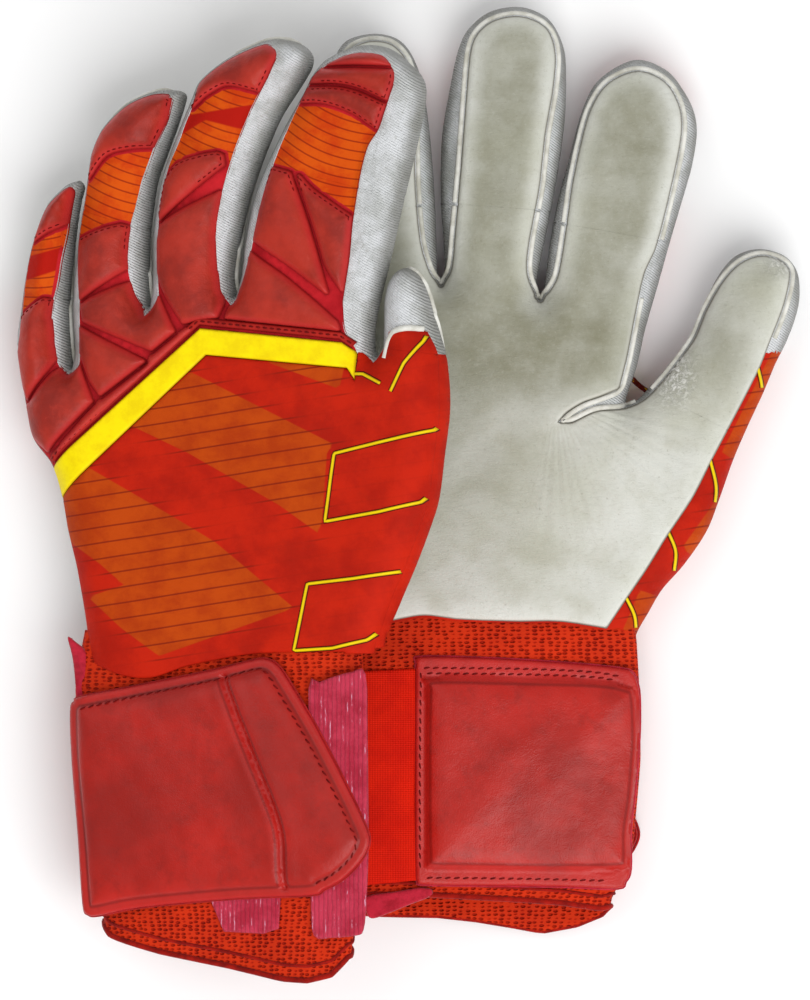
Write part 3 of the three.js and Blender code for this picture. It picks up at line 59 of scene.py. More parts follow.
[115.66,68.32],[115.68,67.67],[115.55,66.12],[115.25,64.34],[114.84,62.44],[113.87,58.73],[113.34,57.08],[112.04,53.56],[109.67,47.64],[107.44,41.74],[106.75,40.07],[105.38,37.18],[102.08,30.73],[91.99,11.69],[88.42,4.51],[86.75,1.37],[85.87,-0.12],[83.95,-3.09],[79.4,-9.74],[77.54,-12.62],[73.78,-18.84],[71.88,-21.8],[66.37,-29.9],[60.53,-38.65],[51.7,-37.19],[48.19,-36.72],[46.45,-36.56],[42.78,-36.42],[34.5,-36.57],[23.28,-36.3],[15.25,-35.88],[7.87,-34.84],[6.02,-34.74],[4.27,-34.82],[2.53,-35.03],[-1.13,-35.71],[-7.31,-37.02],[-8.96,-37.29],[-17.68,-38.35],[-21.13,-32.33],[-21.86,-30.77],[-23.43,-26.22],[-24.47,-22.73],[-25.46,-19.01],[-26.31,-15.29],[-26.95,-11.88],[-27.46,-8.47],[-28.34,-1.12],[-29.64,11.74],[-33.94,63.39],[-35.6,80.18],[-35.85,83.72],[-36,87.48],[-35.99,89.15],[-35.88,90.79],[-35.56,92.61],[-35.07,94.28],[-34.76,94.99],[-34.22,95.76],[-32.06,97.69],[-28.17,96.49],[-26.87,93.12],[-26.37,91.39],[-25.54,86.6],[-22.4,64.65],[-21.87,61.43],[-20.37,54],[-19.18,49.44],[-18.83,48.6],[-18.36,47.82],[-16.78,45.55],[-14.71,48.65],[-14.32,49.47],[-14.08,50.34],[-13.83,52.44],[-13.6,55.99],[-13.48,59.99],[-13.46,64.02],[-13.62,70.62],[-13.93,78.09],[-14.57,89.87],[-14.98,95.89],[-15.32,99.64],[-17.49,117.76],[-18.58,125.33],[-18.89,128.68],[-18.88,130.05],[-18.76,130.91],[-18.54,131.77],[-18.22,132.6],[-17.81,133.4],[-17.33,134.15],[-16.78,134.84],[-16.18,135.44],[-15.5,135.97],[-14.73,136.45],[-12.97,137.22],[-11.1,137.71],[-10.19,137.84],[-8.29,137.88],[-6.31,137.64],[-5.34,137.39],[-4.43,137.06],[-3.6,136.64],[-2.91,136.18],[-1.6,135.02],[-0.99,134.34],[0.08,132.85],[0.53,132.05],[1.17,130.52],[1.82,127.99],[2.14,126.12],[2.61,122.28],[2.87,118.78],[3.15,97.15],[3.3,93.49],[3.81,86.05],[4.16,82.39],[4.79,77.61],[5.18,75.71],[5.68,73.76],[6.88,70.12],[7.49,68.62],[7.92,67.8],[8.44,67.03],[9.79,65.36],[10.33,64.25],[10.54,64.11],[10.8,64.06],[11.05,64.12],[11.26,64.26],[12.38,66.35],[13.14,67.57],[13.48,68.32],[13.74,69.15],[14.08,70.94],[14.46,74.47],
[14.91,80.63],[16.7,100.66],[17.99,118.3],[18.88,129.38],[19.28,133.11],[19.55,134.78],[19.88,136.27],[20.39,137.79],[20.78,138.61],[21.78,140.17],[22.36,140.89],[23.69,142.18],[24.41,142.74],[25.92,143.64],[26.73,144.01],[28.53,144.63],[30.44,145.08],[32.36,145.32]]],"FLOOR":[[[35.43,141.26],[36.6,140.74],[37.79,140],[38.87,139.18],[39.75,138.4],[40.74,137.19],[41.45,135.78],[41.82,134.4],[41.89,133.39],[41.86,132.23],[41.61,129.68],[41.12,126.09],[39.1,115.44],[38.78,113.35],[37.58,103.72],[36.11,90.53],[35.11,83.19],[33.87,76.07],[32.77,69.07],[31.96,65.02],[32.15,65.02],[31.99,63.94],[31.1,59.5],[31.03,58.54],[31.19,57.45],[32.41,54.38],[34.62,56.22],[37.13,59.17],[39.09,61.64],[39.2,61.01],[39.39,60.66],[40.5,59.62],[40.75,59.57],[41,59.62],[41.22,59.76],[42.02,61.31],[42.28,62.13],[43.05,67.72],[44.16,69.97],[45.81,74.14],[46.84,77.27],[48.1,82.16],[48.77,85.46],[49.36,88.96],[50.49,97.45],[51.76,105.41],[52.51,112.4],[53.93,116.87],[55.23,120.31],[55.96,121.9],[56.76,123.33],[57.67,124.65],[58.22,125.29],[59.44,126.51],[60.77,127.63],[62.16,128.62],[63.56,129.48],[65.08,130.3],[66.67,131.02],[68.28,131.54],[69.89,131.79],[70.68,131.79],[72.2,131.55],[73.01,131.32],[74.67,130.7],[76.29,129.91],[77.77,129.04],[79.12,128.08],[79.76,127.48],[80.94,126.13],[83.54,122.33],[84.53,120.62],[84.44,119.59],[82.57,107.58],[82.19,105.8],[81.89,104.89],[80.3,101.46],[80.04,100.56],[79.88,99.73],[79.7,97.97],[79.6,93.57],[79.91,83.74],[79.75,80.12],[74.88,62.81],[72.91,56.17],[72.17,54.69],[70.19,47.48],[69.96,46.31],[69.84,45.24],[69.97,43.93],[68.96,39.87],[67.23,41.07],[60.63,41.21],[56.45,41.44],[52.4,41.79],[48.45,42.25],[44.59,42.8],[40.77,43.45],[36.98,44.19],[29.39,45.88],[25.58,46.82],[21.86,47.85],[20.11,48.43],[15.34,45.78],[12.48,44.04],[9.74,42.23],[7.05,40.33],[4.38,38.32],[1.72,36.18],[-0.95,33.92],[-6.36,28.99],[-9.11,26.32],[-23.53,11.68],[-31.41,3.93],[-32.39,12.7],[-33.87,30.93],[-34.82,44.59],[-34.49,46.37],[-34.51,52.16],[-34.36,52.21],[-34.93,59.55],
[-35.3,66.48],[-35.35,68.76],[-35.25,73.23],[-34.94,77.61],[-34.71,79.77],[-33.94,84.99],[-33.18,89.37],[-32.73,91.46],[-31.92,94.19],[-31.47,95.19],[-30.91,96.18],[-29.56,98.07],[-28.48,99.37],[-27.73,98.9],[-27.12,98.4],[-26.59,97.82],[-26.09,97.13],[-25.23,95.47],[-24.88,94.56],[-24.31,92.72],[-23.4,88.16],[-21.8,76.86],[-22.1,67.72],[-22.6,63.15],[-22.88,59.08],[-22.99,55.7],[-22.67,55.79],[-22.12,51.6],[-21.47,44.05],[-21.33,43.65],[-21.17,42.73],[-21.23,41.72],[-20.91,40.75],[-19.23,38.28],[-15.34,41.57],[-14.86,43.95],[-14.44,48.07],[-14.1,53.02],[-13.86,61.41],[-13.92,63.28],[-14.07,64.92],[-14.61,68.93],[-15.67,74.89],[-16.08,82.14],[-17.02,95.94],[-17.38,99.7],[-19.47,117.42],[-19.31,119.12],[-18.95,121],[-18.39,122.74],[-18.02,123.54],[-17.27,124.87],[-16.34,126.23],[-15.28,127.55],[-14.14,128.76],[-12.95,129.77],[-11.64,130.57],[-10.86,130.9],[-9.14,131.38],[-8.23,131.53],[-6.4,131.68],[-4.65,131.64],[-3.54,131.47],[-2.29,131.16],[0.28,130.26],[2.42,129.24],[3.55,128.32],[3.79,128.03],[4.24,126.55],[4.93,123.45],[6.03,116.36],[5.11,109.94],[4.91,104.58],[4.49,100.19],[4.46,98.39],[4.57,94.33],[4.55,91.61],[4.07,87.79],[3.77,81.49],[3.68,75.9],[3.73,73.99],[4.05,70.11],[4.55,66.18],[4.87,64.65],[5.56,61.95],[5.95,59.94],[6.12,57.89],[9.7,60.89],[10.46,61.65],[11.46,63.07],[11.76,65.14],[12.31,66.17],[12.62,67.25],[12.67,67.99],[12.58,73.29],[12.74,76.49],[12.78,80.07],[12.62,86.07],[12.58,92.38],[12.18,101.92],[12.24,102.82],[12.55,104.49],[13.14,106.93],[13.26,107.8],[13.36,109.53],[13.42,114.23],[13.53,116.04],[14.07,120.54],[14.21,122.39],[14.16,123.69],[15.29,129.66],[15.86,132.27],[16.84,133.2],[18.34,134.44],[19.95,135.63],[21.61,136.72],[23.26,137.65],[25.1,138.54],[27.09,139.39],[29.12,140.16],[31.08,140.78],[32.87,141.22],[34.38,141.42]]],"BAND":[[[21.86,47.85],[25.58,46.82],[29.39,45.88],[36.98,44.19],[40.77,43.45],[44.59,42.8],[48.45,42.25],[52.4,41.79],[56.45,41.44],[60.63,41.21],[67.23,41.07],[68.96,39.87],[66.62,33.01],[59.85,33.17],[55.43,
33.45],[51.14,33.83],[46.96,34.31],[42.87,34.87],[34.84,36.23],[26.99,37.88],[23.17,38.81],[19.52,39.85],[15.1,37.02],[12.35,35.12],[9.68,33.15],[7.06,31.11],[1.84,26.73],[-0.78,24.39],[-6.1,19.39],[-25.56,0.1],[-30.24,-4.77],[-31.41,3.93],[-23.53,11.68],[-10.51,24.94],[-4.99,30.27],[0.39,35.06],[3.05,37.26],[5.71,39.34],[8.39,41.3],[11.1,43.15],[13.89,44.92],[16.84,46.65],[20.11,48.43]]],"PANEL":[[[108.86,47.79],[109.07,46.67],[109.12,45.5],[109.03,44.47],[108.64,42.15],[108.08,39.65],[105.58,29.84],[104.91,27.63],[102.9,23.42],[100.01,16.91],[98.63,13.6],[97.33,10.23],[92.96,-2.29],[86.05,-13.39],[82.42,-18.94],[79.06,-23.91],[77.86,-25.24],[76.79,-26.56],[75.79,-28],[74.89,-29.48],[72.84,-33.24],[70.43,-37.21],[69.49,-38.99],[68.78,-40.89],[68.47,-42.47],[67.48,-45.95],[58.26,-46.29],[58.3,-45.77],[34.31,-46.33],[29.95,-46.55],[27.43,-46.76],[22.29,-47.41],[15,-48.7],[9.97,-49.77],[7.65,-50.46],[3.1,-52.27],[0.96,-52.99],[-0.07,-53.21],[-1.22,-53.35],[-3.56,-53.37],[-4.74,-53.28],[-7.08,-52.92],[-9.21,-52.43],[-10.2,-52.13],[-17.42,-49.43],[-19.19,-46.37],[-19.29,-43.29],[-19.43,-41.85],[-19.8,-39.96],[-20.08,-39.05],[-20.77,-37.3],[-23.61,-31.44],[-24.25,-29.76],[-26.17,-23.4],[-28.04,-16.28],[-28.84,-12.73],[-29.49,-9.39],[-30.24,-4.77],[-25.56,0.1],[-8.81,16.75],[-3.42,21.94],[1.84,26.73],[7.06,31.11],[9.68,33.15],[12.35,35.12],[15.1,37.02],[19.52,39.85],[25.07,38.33],[28.93,37.44],[36.83,35.86],[44.91,34.58],[49.04,34.06],[53.27,33.63],[57.62,33.3],[62.12,33.08],[66.62,33.01],[65.89,30.75],[65.79,29.57],[65.93,28.17],[66.09,27.97],[66.31,27.84],[66.56,27.81],[69.28,29.02],[70.12,29.51],[70.82,30.04],[71.86,31.06],[74.26,33.68],[76.33,36.07],[76.68,35.83],[82.99,41.52],[84.42,42.9],[85.71,44.28],[89.23,48.52],[107.37,52.1]]],"hand":{"floor":[[[35.71,87.32],[34.97,82.36],[33.87,76.07],[32.77,69.07],[31.96,65.02],[32.15,65.02],[31.99,63.94],[31.1,59.5],[31.03,58.54],[31.19,57.45],[32.41,54.38],[34.62,56.22],[37.13,59.17],[39.09,61.64],[39.2,61.01],[39.39,60.66],
[40.5,59.62],[40.75,59.57],[41,59.62],[41.22,59.76],[42.02,61.31],[42.28,62.13],[43.05,67.72],[44.16,69.97],[45.81,74.14],[46.84,77.27],[47.73,80.58],[48.23,82.74],[78.97,77.43],[74.88,62.81],[72.91,56.17],[72.17,54.69],[70.19,47.48],[69.96,46.31],[69.84,45.24],[69.97,43.93],[68.96,39.87],[67.23,41.07],[60.63,41.21],[56.45,41.44],[52.4,41.79],[48.45,42.25],[44.59,42.8],[40.77,43.45],[36.98,44.19],[29.39,45.88],[25.58,46.82],[21.86,47.85],[20.11,48.43],[15.34,45.78],[12.48,44.04],[9.74,42.23],[7.05,40.33],[4.38,38.32],[1.72,36.18],[-0.95,33.92],[-6.36,28.99],[-9.11,26.32],[-23.53,11.68],[-31.41,3.93],[-32.39,12.7],[-33.87,30.93],[-34.82,44.59],[-34.49,46.37],[-34.51,52.16],[-34.36,52.21],[-35.11,62.64],[-22.59,63.27],[-22.88,59.08],[-22.99,55.7],[-22.67,55.79],[-22.12,51.6],[-21.47,44.05],[-21.33,43.65],[-21.17,42.73],[-21.23,41.72],[-20.91,40.75],[-19.23,38.28],[-15.34,41.57],[-14.86,43.95],[-14.44,48.07],[-14.1,53.02],[-13.86,61.41],[-13.92,63.28],[-14.07,64.92],[-14.61,68.93],[-15.67,74.89],[-16.39,87.18],[4.14,88.29],[3.88,84.29],[3.72,79.69],[3.68,75.9],[3.86,72.06],[4.55,66.18],[4.87,64.65],[5.56,61.95],[5.95,59.94],[6.12,57.89],[9.7,60.89],[10.46,61.65],[11.46,63.07],[11.76,65.14],[12.31,66.17],[12.62,67.25],[12.67,67.99],[12.58,73.29],[12.74,76.49],[12.78,80.07],[12.59,88.92]]],"band":[[[21.86,47.85],[25.58,46.82],[29.39,45.88],[36.98,44.19],[40.77,43.45],[44.59,42.8],[48.45,42.25],[52.4,41.79],[56.45,41.44],[60.63,41.21],[67.23,41.07],[68.96,39.87],[66.62,33.01],[59.85,33.17],[55.43,33.45],[51.14,33.83],[46.96,34.31],[42.87,34.87],[34.84,36.23],[26.99,37.88],[23.17,38.81],[19.52,39.85],[15.1,37.02],[12.35,35.12],[9.68,33.15],[7.06,31.11],[1.84,26.73],[-0.78,24.39],[-6.1,19.39],[-25.56,0.1],[-30.24,-4.77],[-31.41,3.93],[-23.53,11.68],[-10.51,24.94],[-4.99,30.27],[0.39,35.06],[3.05,37.26],[5.71,39.34],[8.39,41.3],[11.1,43.15],[13.89,44.92],[16.84,46.65],[20.11,48.43]]],"panel":[[[25.07,38.33],[28.93,37.44],[36.83,35.86],[44.91,34.58],[49.04,34.06],[53.27,
33.63],[57.62,33.3],[62.12,33.08],[66.62,33.01],[65.89,30.75],[65.79,29.57],[65.93,28.17],[66.09,27.97],[66.31,27.84],[66.56,27.81],[69.28,29.02],[70.12,29.51],[70.82,30.04],[71.86,31.06],[73.55,32.88],[100.88,18.91],[98.3,12.76],[97.03,9.38],[92.96,-2.29],[86.05,-13.39],[82.42,-18.94],[79.06,-23.91],[77.86,-25.24],[76.79,-26.56],[75.79,-28],[74.89,-29.48],[72.84,-33.24],[70.43,-37.21],[69.49,-38.99],[68.78,-40.89],[68.47,-42.47],[67.48,-45.95],[58.26,-46.29],[58.3,-45.77],[34.31,-46.33],[29.95,-46.55],[27.43,-46.76],[22.29,-47.41],[15,-48.7],[9.97,-49.77],[7.65,-50.46],[3.1,-52.27],[0.96,-52.99],[-0.07,-53.21],[-1.22,-53.35],[-3.56,-53.37],[-4.74,-53.28],[-7.08,-52.92],[-9.21,-52.43],[-10.2,-52.13],[-17.42,-49.43],[-19.19,-46.37],[-19.29,-43.29],[-19.43,-41.85],[-19.8,-39.96],[-20.08,-39.05],[-20.77,-37.3],[-23.61,-31.44],[-24.25,-29.76],[-26.17,-23.4],[-28.04,-16.28],[-28.84,-12.73],[-29.49,-9.39],[-30.24,-4.77],[-25.56,0.1],[-8.81,16.75],[-3.42,21.94],[1.84,26.73],[7.06,31.11],[9.68,33.15],[12.35,35.12],[15.1,37.02],[19.52,39.85]]],"gt":[[[-34.01,52.12],[-34.15,51.93],[-34.14,46.31],[-34.45,44.57],[-33.85,35.58],[-32.53,18.19],[-31.85,10.92],[-31.03,3.8],[-30.09,-3.31],[-28.98,-10.16],[-28.3,-13.53],[-27.47,-17.09],[-25.58,-24.15],[-23.9,-29.64],[-23.28,-31.3],[-20.84,-36.3],[-20.06,-38.06],[-19.44,-39.91],[-19.22,-40.87],[-18.99,-42.55],[-18.88,-44.35],[-19.9,-44.35],[-20.08,-41.95],[-20.43,-40.16],[-20.7,-39.28],[-21.37,-37.57],[-24.22,-31.69],[-24.87,-29.96],[-26.8,-23.58],[-28.68,-16.43],[-29.49,-12.86],[-30.13,-9.51],[-31.23,-2.57],[-32.66,8.99],[-33.39,16.28],[-34.93,36.44],[-35.68,47.47],[-36.28,54.61],[-37.06,62.54],[-34.75,62.66]],[[98.91,12.52],[97.65,9.16],[92.61,-5.19],[91.2,-8.49],[90.38,-10.04],[88.52,-13.08],[87.5,-14.59],[83.9,-19.48],[82.73,-20.91],[77.81,-26.32],[76.81,-27.66],[75.89,-29.09],[73.41,-33.56],[71,-37.54],[70.1,-39.25],[69.42,-41.03],[69.22,-41.95],[68.91,-44.35],[67.54,-44.35],[68.12,-42.42],[68.45,-40.73],[68.78,-39.75],[69.64,
-37.89],[72.1,-33.8],[74.58,-29.3],[75.49,-27.8],[76.51,-26.34],[77.6,-25],[78.78,-23.69],[84.31,-15.41],[87.15,-10.98],[92.63,-2.15],[97,10.36],[98.3,13.73],[100.56,19.08],[101.47,18.61]],[[75.51,62.63],[73.17,54.7],[72.22,51.24],[70.26,42.2],[69.82,40.45],[68.68,36.84],[66.52,30.56],[66.45,29.52],[66.52,28.47],[68.95,29.6],[69.72,30.03],[70.42,30.56],[72.94,33.19],[73.88,32.71],[71.05,29.77],[70.24,29.16],[69.39,28.68],[66.9,27.53],[66.52,27.45],[66.26,27.49],[65.91,27.66],[65.65,27.96],[65.52,28.33],[65.43,29.57],[65.54,30.81],[68.02,38.1],[69.06,41.57],[69.61,43.95],[69.48,45.2],[69.6,46.35],[69.84,47.55],[71.84,54.85],[72.57,56.3],[74.28,62.03],[78.61,77.49],[79.62,77.32]],[[-15.31,74.94],[-14.61,71.12],[-13.95,66.89],[-13.56,63.3],[-13.5,61.41],[-13.59,56.73],[-13.81,51.76],[-14.2,46.79],[-14.5,43.88],[-15,41.44],[-19.04,37.98],[-19.22,37.92],[-19.4,37.96],[-21.25,40.63],[-21.57,41.61],[-21.53,42.71],[-21.83,44.02],[-22.47,51.56],[-22.97,55.34],[-23.17,55.38],[-23.3,55.51],[-23.35,55.69],[-23.24,59.1],[-22.95,63.25],[-19.57,63.42],[-18.31,51.91],[-17.98,49.74],[-17.48,48.8],[-16.78,47.94],[-16.04,48.8],[-15.58,49.74],[-15.53,51.61],[-15.63,58.97],[-15.76,63.06],[-16.45,77.15],[-17.05,87.15],[-16.03,87.2]],[[43.86,86.76],[39.92,68.15],[39.55,65.92],[39.49,64.91],[39.51,63.82],[39.85,61.13],[40.75,60.23],[41.43,61.6],[41.65,62.33],[43.62,77.04],[44.66,83.35],[48.58,82.67],[47.88,79.68],[46.93,76.33],[45.36,71.92],[44.17,69.12],[43.4,67.61],[42.63,62.05],[42.35,61.18],[41.51,59.55],[41.2,59.32],[40.82,59.22],[40.43,59.27],[40.09,59.46],[39.02,60.55],[38.9,60.8],[34.9,55.98],[32.54,54.04],[32.35,54.02],[32.18,54.1],[30.83,57.4],[30.67,58.49],[30.74,59.53],[31.64,64],[31.71,64.75],[31.61,64.91],[32.26,68.3],[33.26,74.56],[34.76,83.24],[35.35,87.35]],[[12.95,88.9],[13.13,80.97],[13.12,77.36],[12.94,73.29],[13.03,68],[12.98,67.19],[12.65,66.04],[12.11,65.03],[11.82,63.01],[11.5,62.43],[10.75,61.44],[9.95,60.63],[6.31,57.59],[6.14,57.53],[5.95,57.57],[5.82,57.7],
[5.59,59.89],[4.98,62.8],[4.33,65.38],[3.59,71.05],[3.43,73.01],[3.32,76.86],[3.38,80.58],[3.63,86.86],[3.77,88.27],[9.06,88.56],[9.71,69.55],[9.89,67.12],[10.11,66.3],[10.79,64.72],[11.73,66.49],[11.99,67.42],[12.03,69.5],[11.69,77.91],[10.99,86.15],[10.81,89.04]]],"gb":[[[-29.7,16.43],[-27.78,-2.96],[-26.86,-10.16],[-26.32,-13.42],[-25.55,-17.06],[-24.63,-20.79],[-23.6,-24.41],[-21.84,-29.84],[-21.18,-31.41],[-20.41,-32.93],[-17.48,-37.97],[-10.75,-37.17],[-7.38,-36.67],[0.66,-34.98],[4.24,-34.46],[6.03,-34.38],[8.84,-34.58],[15.29,-35.52],[24.27,-35.97],[32.67,-36.2],[41.86,-36.06],[45.55,-36.14],[47.35,-36.27],[50.88,-36.7],[60.36,-38.26],[72.05,-20.88],[78.64,-10.22],[85.11,-0.66],[86.86,2.32],[91.26,11.06],[96.6,21.1],[101.47,18.61],[98.91,12.52],[97.65,9.16],[92.61,-5.19],[91.2,-8.49],[90.38,-10.04],[88.52,-13.08],[87.5,-14.59],[83.9,-19.48],[82.73,-20.91],[77.81,-26.32],[76.81,-27.66],[75.89,-29.09],[73.41,-33.56],[71,-37.54],[70.1,-39.25],[69.76,-40.05],[63.82,-38.35],[60.53,-39.1],[46.45,-37.01],[32.66,-37.01],[16.18,-36.41],[5.09,-35.21],[-8.09,-37.61],[-17.68,-38.95],[-20.08,-39.55],[-22.17,-29.96],[-25.47,-17.98],[-25.47,-28.06],[-27.29,-21.83],[-29.1,-14.63],[-29.83,-11.17],[-30.43,-7.81],[-31.47,-0.79],[-32.86,10.81],[-33.54,18.1],[-34.53,30.88],[-35.68,47.47],[-36.28,54.61],[-37.06,62.54],[-33.52,62.72]],[[79.62,77.32],[75.51,62.63],[73.17,54.7],[72.22,51.24],[70.26,42.2],[69.82,40.45],[68.68,36.84],[66.52,30.56],[66.45,29.52],[66.52,28.47],[68.95,29.6],[69.72,30.03],[70.42,30.56],[72.94,33.19],[74.67,32.31],[73.41,31.07],[72.12,29.97],[71.33,29.42],[69.64,28.48],[68.75,28.1],[66.93,27.46],[65.99,27.21],[64.36,26.95],[59.84,26.7],[58.12,26.49],[57.33,26.32],[55.65,25.71],[51.56,23.61],[50.1,23.02],[49.08,22.86],[46.08,23.02],[45.92,23.1],[45.81,23.25],[45.79,23.43],[45.87,23.6],[47.64,25.72],[48.3,26.33],[49.75,27.39],[51.44,28.45],[53.17,29.39],[54.02,29.76],[57.47,30.9],[64.12,33.53],[65.86,40.31],[66.64,43.73],[68.51,53.7],[70.33,62.83],[71.13,
66.28],[71.58,67.84],[72.21,69.52],[74.18,73.51],[74.88,75.11],[75.79,77.98]],[[-13.32,72.4],[-13.12,65.93],[-13.1,62.02],[-13.16,57.94],[-13.47,52.41],[-13.74,50.25],[-14,49.31],[-14.41,48.46],[-16.58,45.25],[-16.76,45.19],[-16.94,45.22],[-18.66,47.61],[-19.14,48.42],[-19.51,49.3],[-20.72,53.92],[-21.52,57.68],[-22.55,63.27],[-19.57,63.42],[-18.31,51.91],[-17.98,49.74],[-17.48,48.8],[-16.78,47.94],[-16.04,48.8],[-15.58,49.74],[-15.53,51.61],[-15.63,58.97],[-15.76,63.06],[-16.45,77.15],[-17.05,87.15],[-14.05,87.31]],[[39.92,68.15],[39.55,65.92],[39.49,64.91],[39.51,63.82],[39.85,61.13],[40.75,60.23],[41.43,61.6],[41.65,62.33],[43.62,77.04],[44.66,83.35],[48.69,82.65],[47.29,73.33],[46.67,69.78],[46.19,67.61],[45.91,66.72],[45.15,65.01],[43.73,62.7],[43.13,61.95],[42.34,61.16],[41.51,59.55],[41.2,59.32],[40.82,59.22],[39.93,59.34],[39.66,59.88],[38.96,60.64],[38.85,60.95],[38.67,62.06],[37.56,64.45],[36.92,66.18],[36.67,67.07],[36.4,68.83],[36.37,71.45],[36.51,73.23],[37.21,78.39],[37.8,81.63],[38.92,87.1],[43.86,86.76]],[[15.99,88.69],[15.34,81.47],[14.82,74.44],[14.44,70.88],[14.09,69.04],[13.81,68.17],[13.45,67.38],[12.7,66.18],[11.55,64.05],[11.25,63.82],[10.87,63.71],[10.48,63.76],[10.13,63.95],[9.89,64.26],[9.49,65.17],[8.15,66.81],[7.62,67.6],[7.17,68.45],[6.54,69.99],[5.34,73.66],[4.83,75.62],[4.44,77.54],[4,80.63],[3.28,88.25],[9.06,88.56],[9.71,69.55],[9.89,67.12],[10.11,66.3],[10.79,64.72],[11.73,66.49],[11.99,67.42],[12.03,69.5],[11.69,77.91],[10.99,86.15],[10.81,89.04]]],"palm":[[[39.28,87.08],[38.15,81.56],[37.56,78.33],[36.86,73.19],[36.73,71.42],[36.71,69.69],[36.86,68.02],[37.03,67.14],[37.56,65.43],[39.02,62.16],[39.2,61.01],[39.39,60.66],[39.96,60.09],[40.15,59.63],[40.29,59.76],[40.5,59.62],[40.75,59.57],[41,59.62],[41.22,59.76],[42.04,61.37],[42.87,62.2],[43.45,62.93],[44.39,64.38],[45.23,66.01],[45.58,66.86],[46.01,68.37],[46.94,73.39],[48.34,82.72],[76.14,77.92],[75.51,75.81],[74.88,74.16],[72.91,70.18],[72.2,68.56],[71.92,67.72],[71.07,64.52],
[69.04,54.54],[67.33,45.35],[66.63,41.97],[64.42,33.26],[58.43,30.86],[54.16,29.43],[53.34,29.07],[51.63,28.14],[49.95,27.09],[48.54,26.07],[47.88,25.46],[46.15,23.37],[49.09,23.22],[50.04,23.37],[50.69,23.61],[54.65,25.64],[56.38,26.4],[57.23,26.67],[58.92,26.97],[64.33,27.31],[65.92,27.57],[67.74,28.1],[69.49,28.81],[71.14,29.73],[71.92,30.26],[73.17,31.33],[74.33,32.48],[96.92,20.93],[91.99,11.69],[88.42,4.51],[86.75,1.37],[85.87,-0.12],[83.95,-3.09],[79.4,-9.74],[77.54,-12.62],[73.78,-18.84],[71.88,-21.8],[66.37,-29.9],[60.53,-38.65],[51.7,-37.19],[48.19,-36.72],[46.45,-36.56],[42.78,-36.42],[34.5,-36.57],[23.28,-36.3],[15.25,-35.88],[7.87,-34.84],[6.02,-34.74],[4.27,-34.82],[2.53,-35.03],[-1.13,-35.71],[-7.31,-37.02],[-8.96,-37.29],[-17.68,-38.35],[-21.13,-32.33],[-21.86,-30.77],[-23.43,-26.22],[-24.47,-22.73],[-25.46,-19.01],[-26.31,-15.29],[-26.95,-11.88],[-27.46,-8.47],[-28.34,-1.12],[-29.64,11.74],[-33.88,62.7],[-22.19,63.29],[-20.98,56.8],[-19.75,51.47],[-19.18,49.44],[-18.83,48.6],[-18.36,47.82],[-16.78,45.55],[-14.71,48.65],[-14.32,49.47],[-14.08,50.34],[-13.83,52.44],[-13.6,55.99],[-13.48,59.99],[-13.46,64.02],[-13.62,70.62],[-13.93,78.09],[-14.41,87.29],[3.64,88.27],[3.89,85.11],[4.46,79.86],[4.79,77.61],[5.18,75.71],[5.68,73.76],[6.88,70.12],[7.49,68.62],[7.92,67.8],[8.44,67.03],[9.79,65.36],[10.33,64.25],[10.54,64.11],[10.8,64.06],[11.05,64.12],[11.26,64.26],[12.38,66.35],[13.14,67.57],[13.48,68.32],[13.74,69.15],[14.08,70.94],[14.46,74.47],[14.91,80.63],[15.64,88.71]]]},"little":{"floor":[[[-27.73,98.9],[-27.12,98.4],[-26.59,97.82],[-26.09,97.13],[-25.23,95.47],[-24.88,94.56],[-24.31,92.72],[-23.4,88.16],[-21.8,76.86],[-22.1,67.72],[-22.59,63.27],[-35.11,62.64],[-35.34,67.62],[-35.36,69.89],[-35.19,74.34],[-34.83,78.69],[-34.57,80.84],[-33.58,87.18],[-32.73,91.46],[-31.92,94.19],[-31.47,95.19],[-30.91,96.18],[-29.56,98.07],[-28.48,99.37]]],"gt":[[[-30.68,100.89],[-29.8,100.66],[-28.94,100.34],[-28.11,99.92],[-27.34,99.43],[-26.67,98.88],[-26.08,
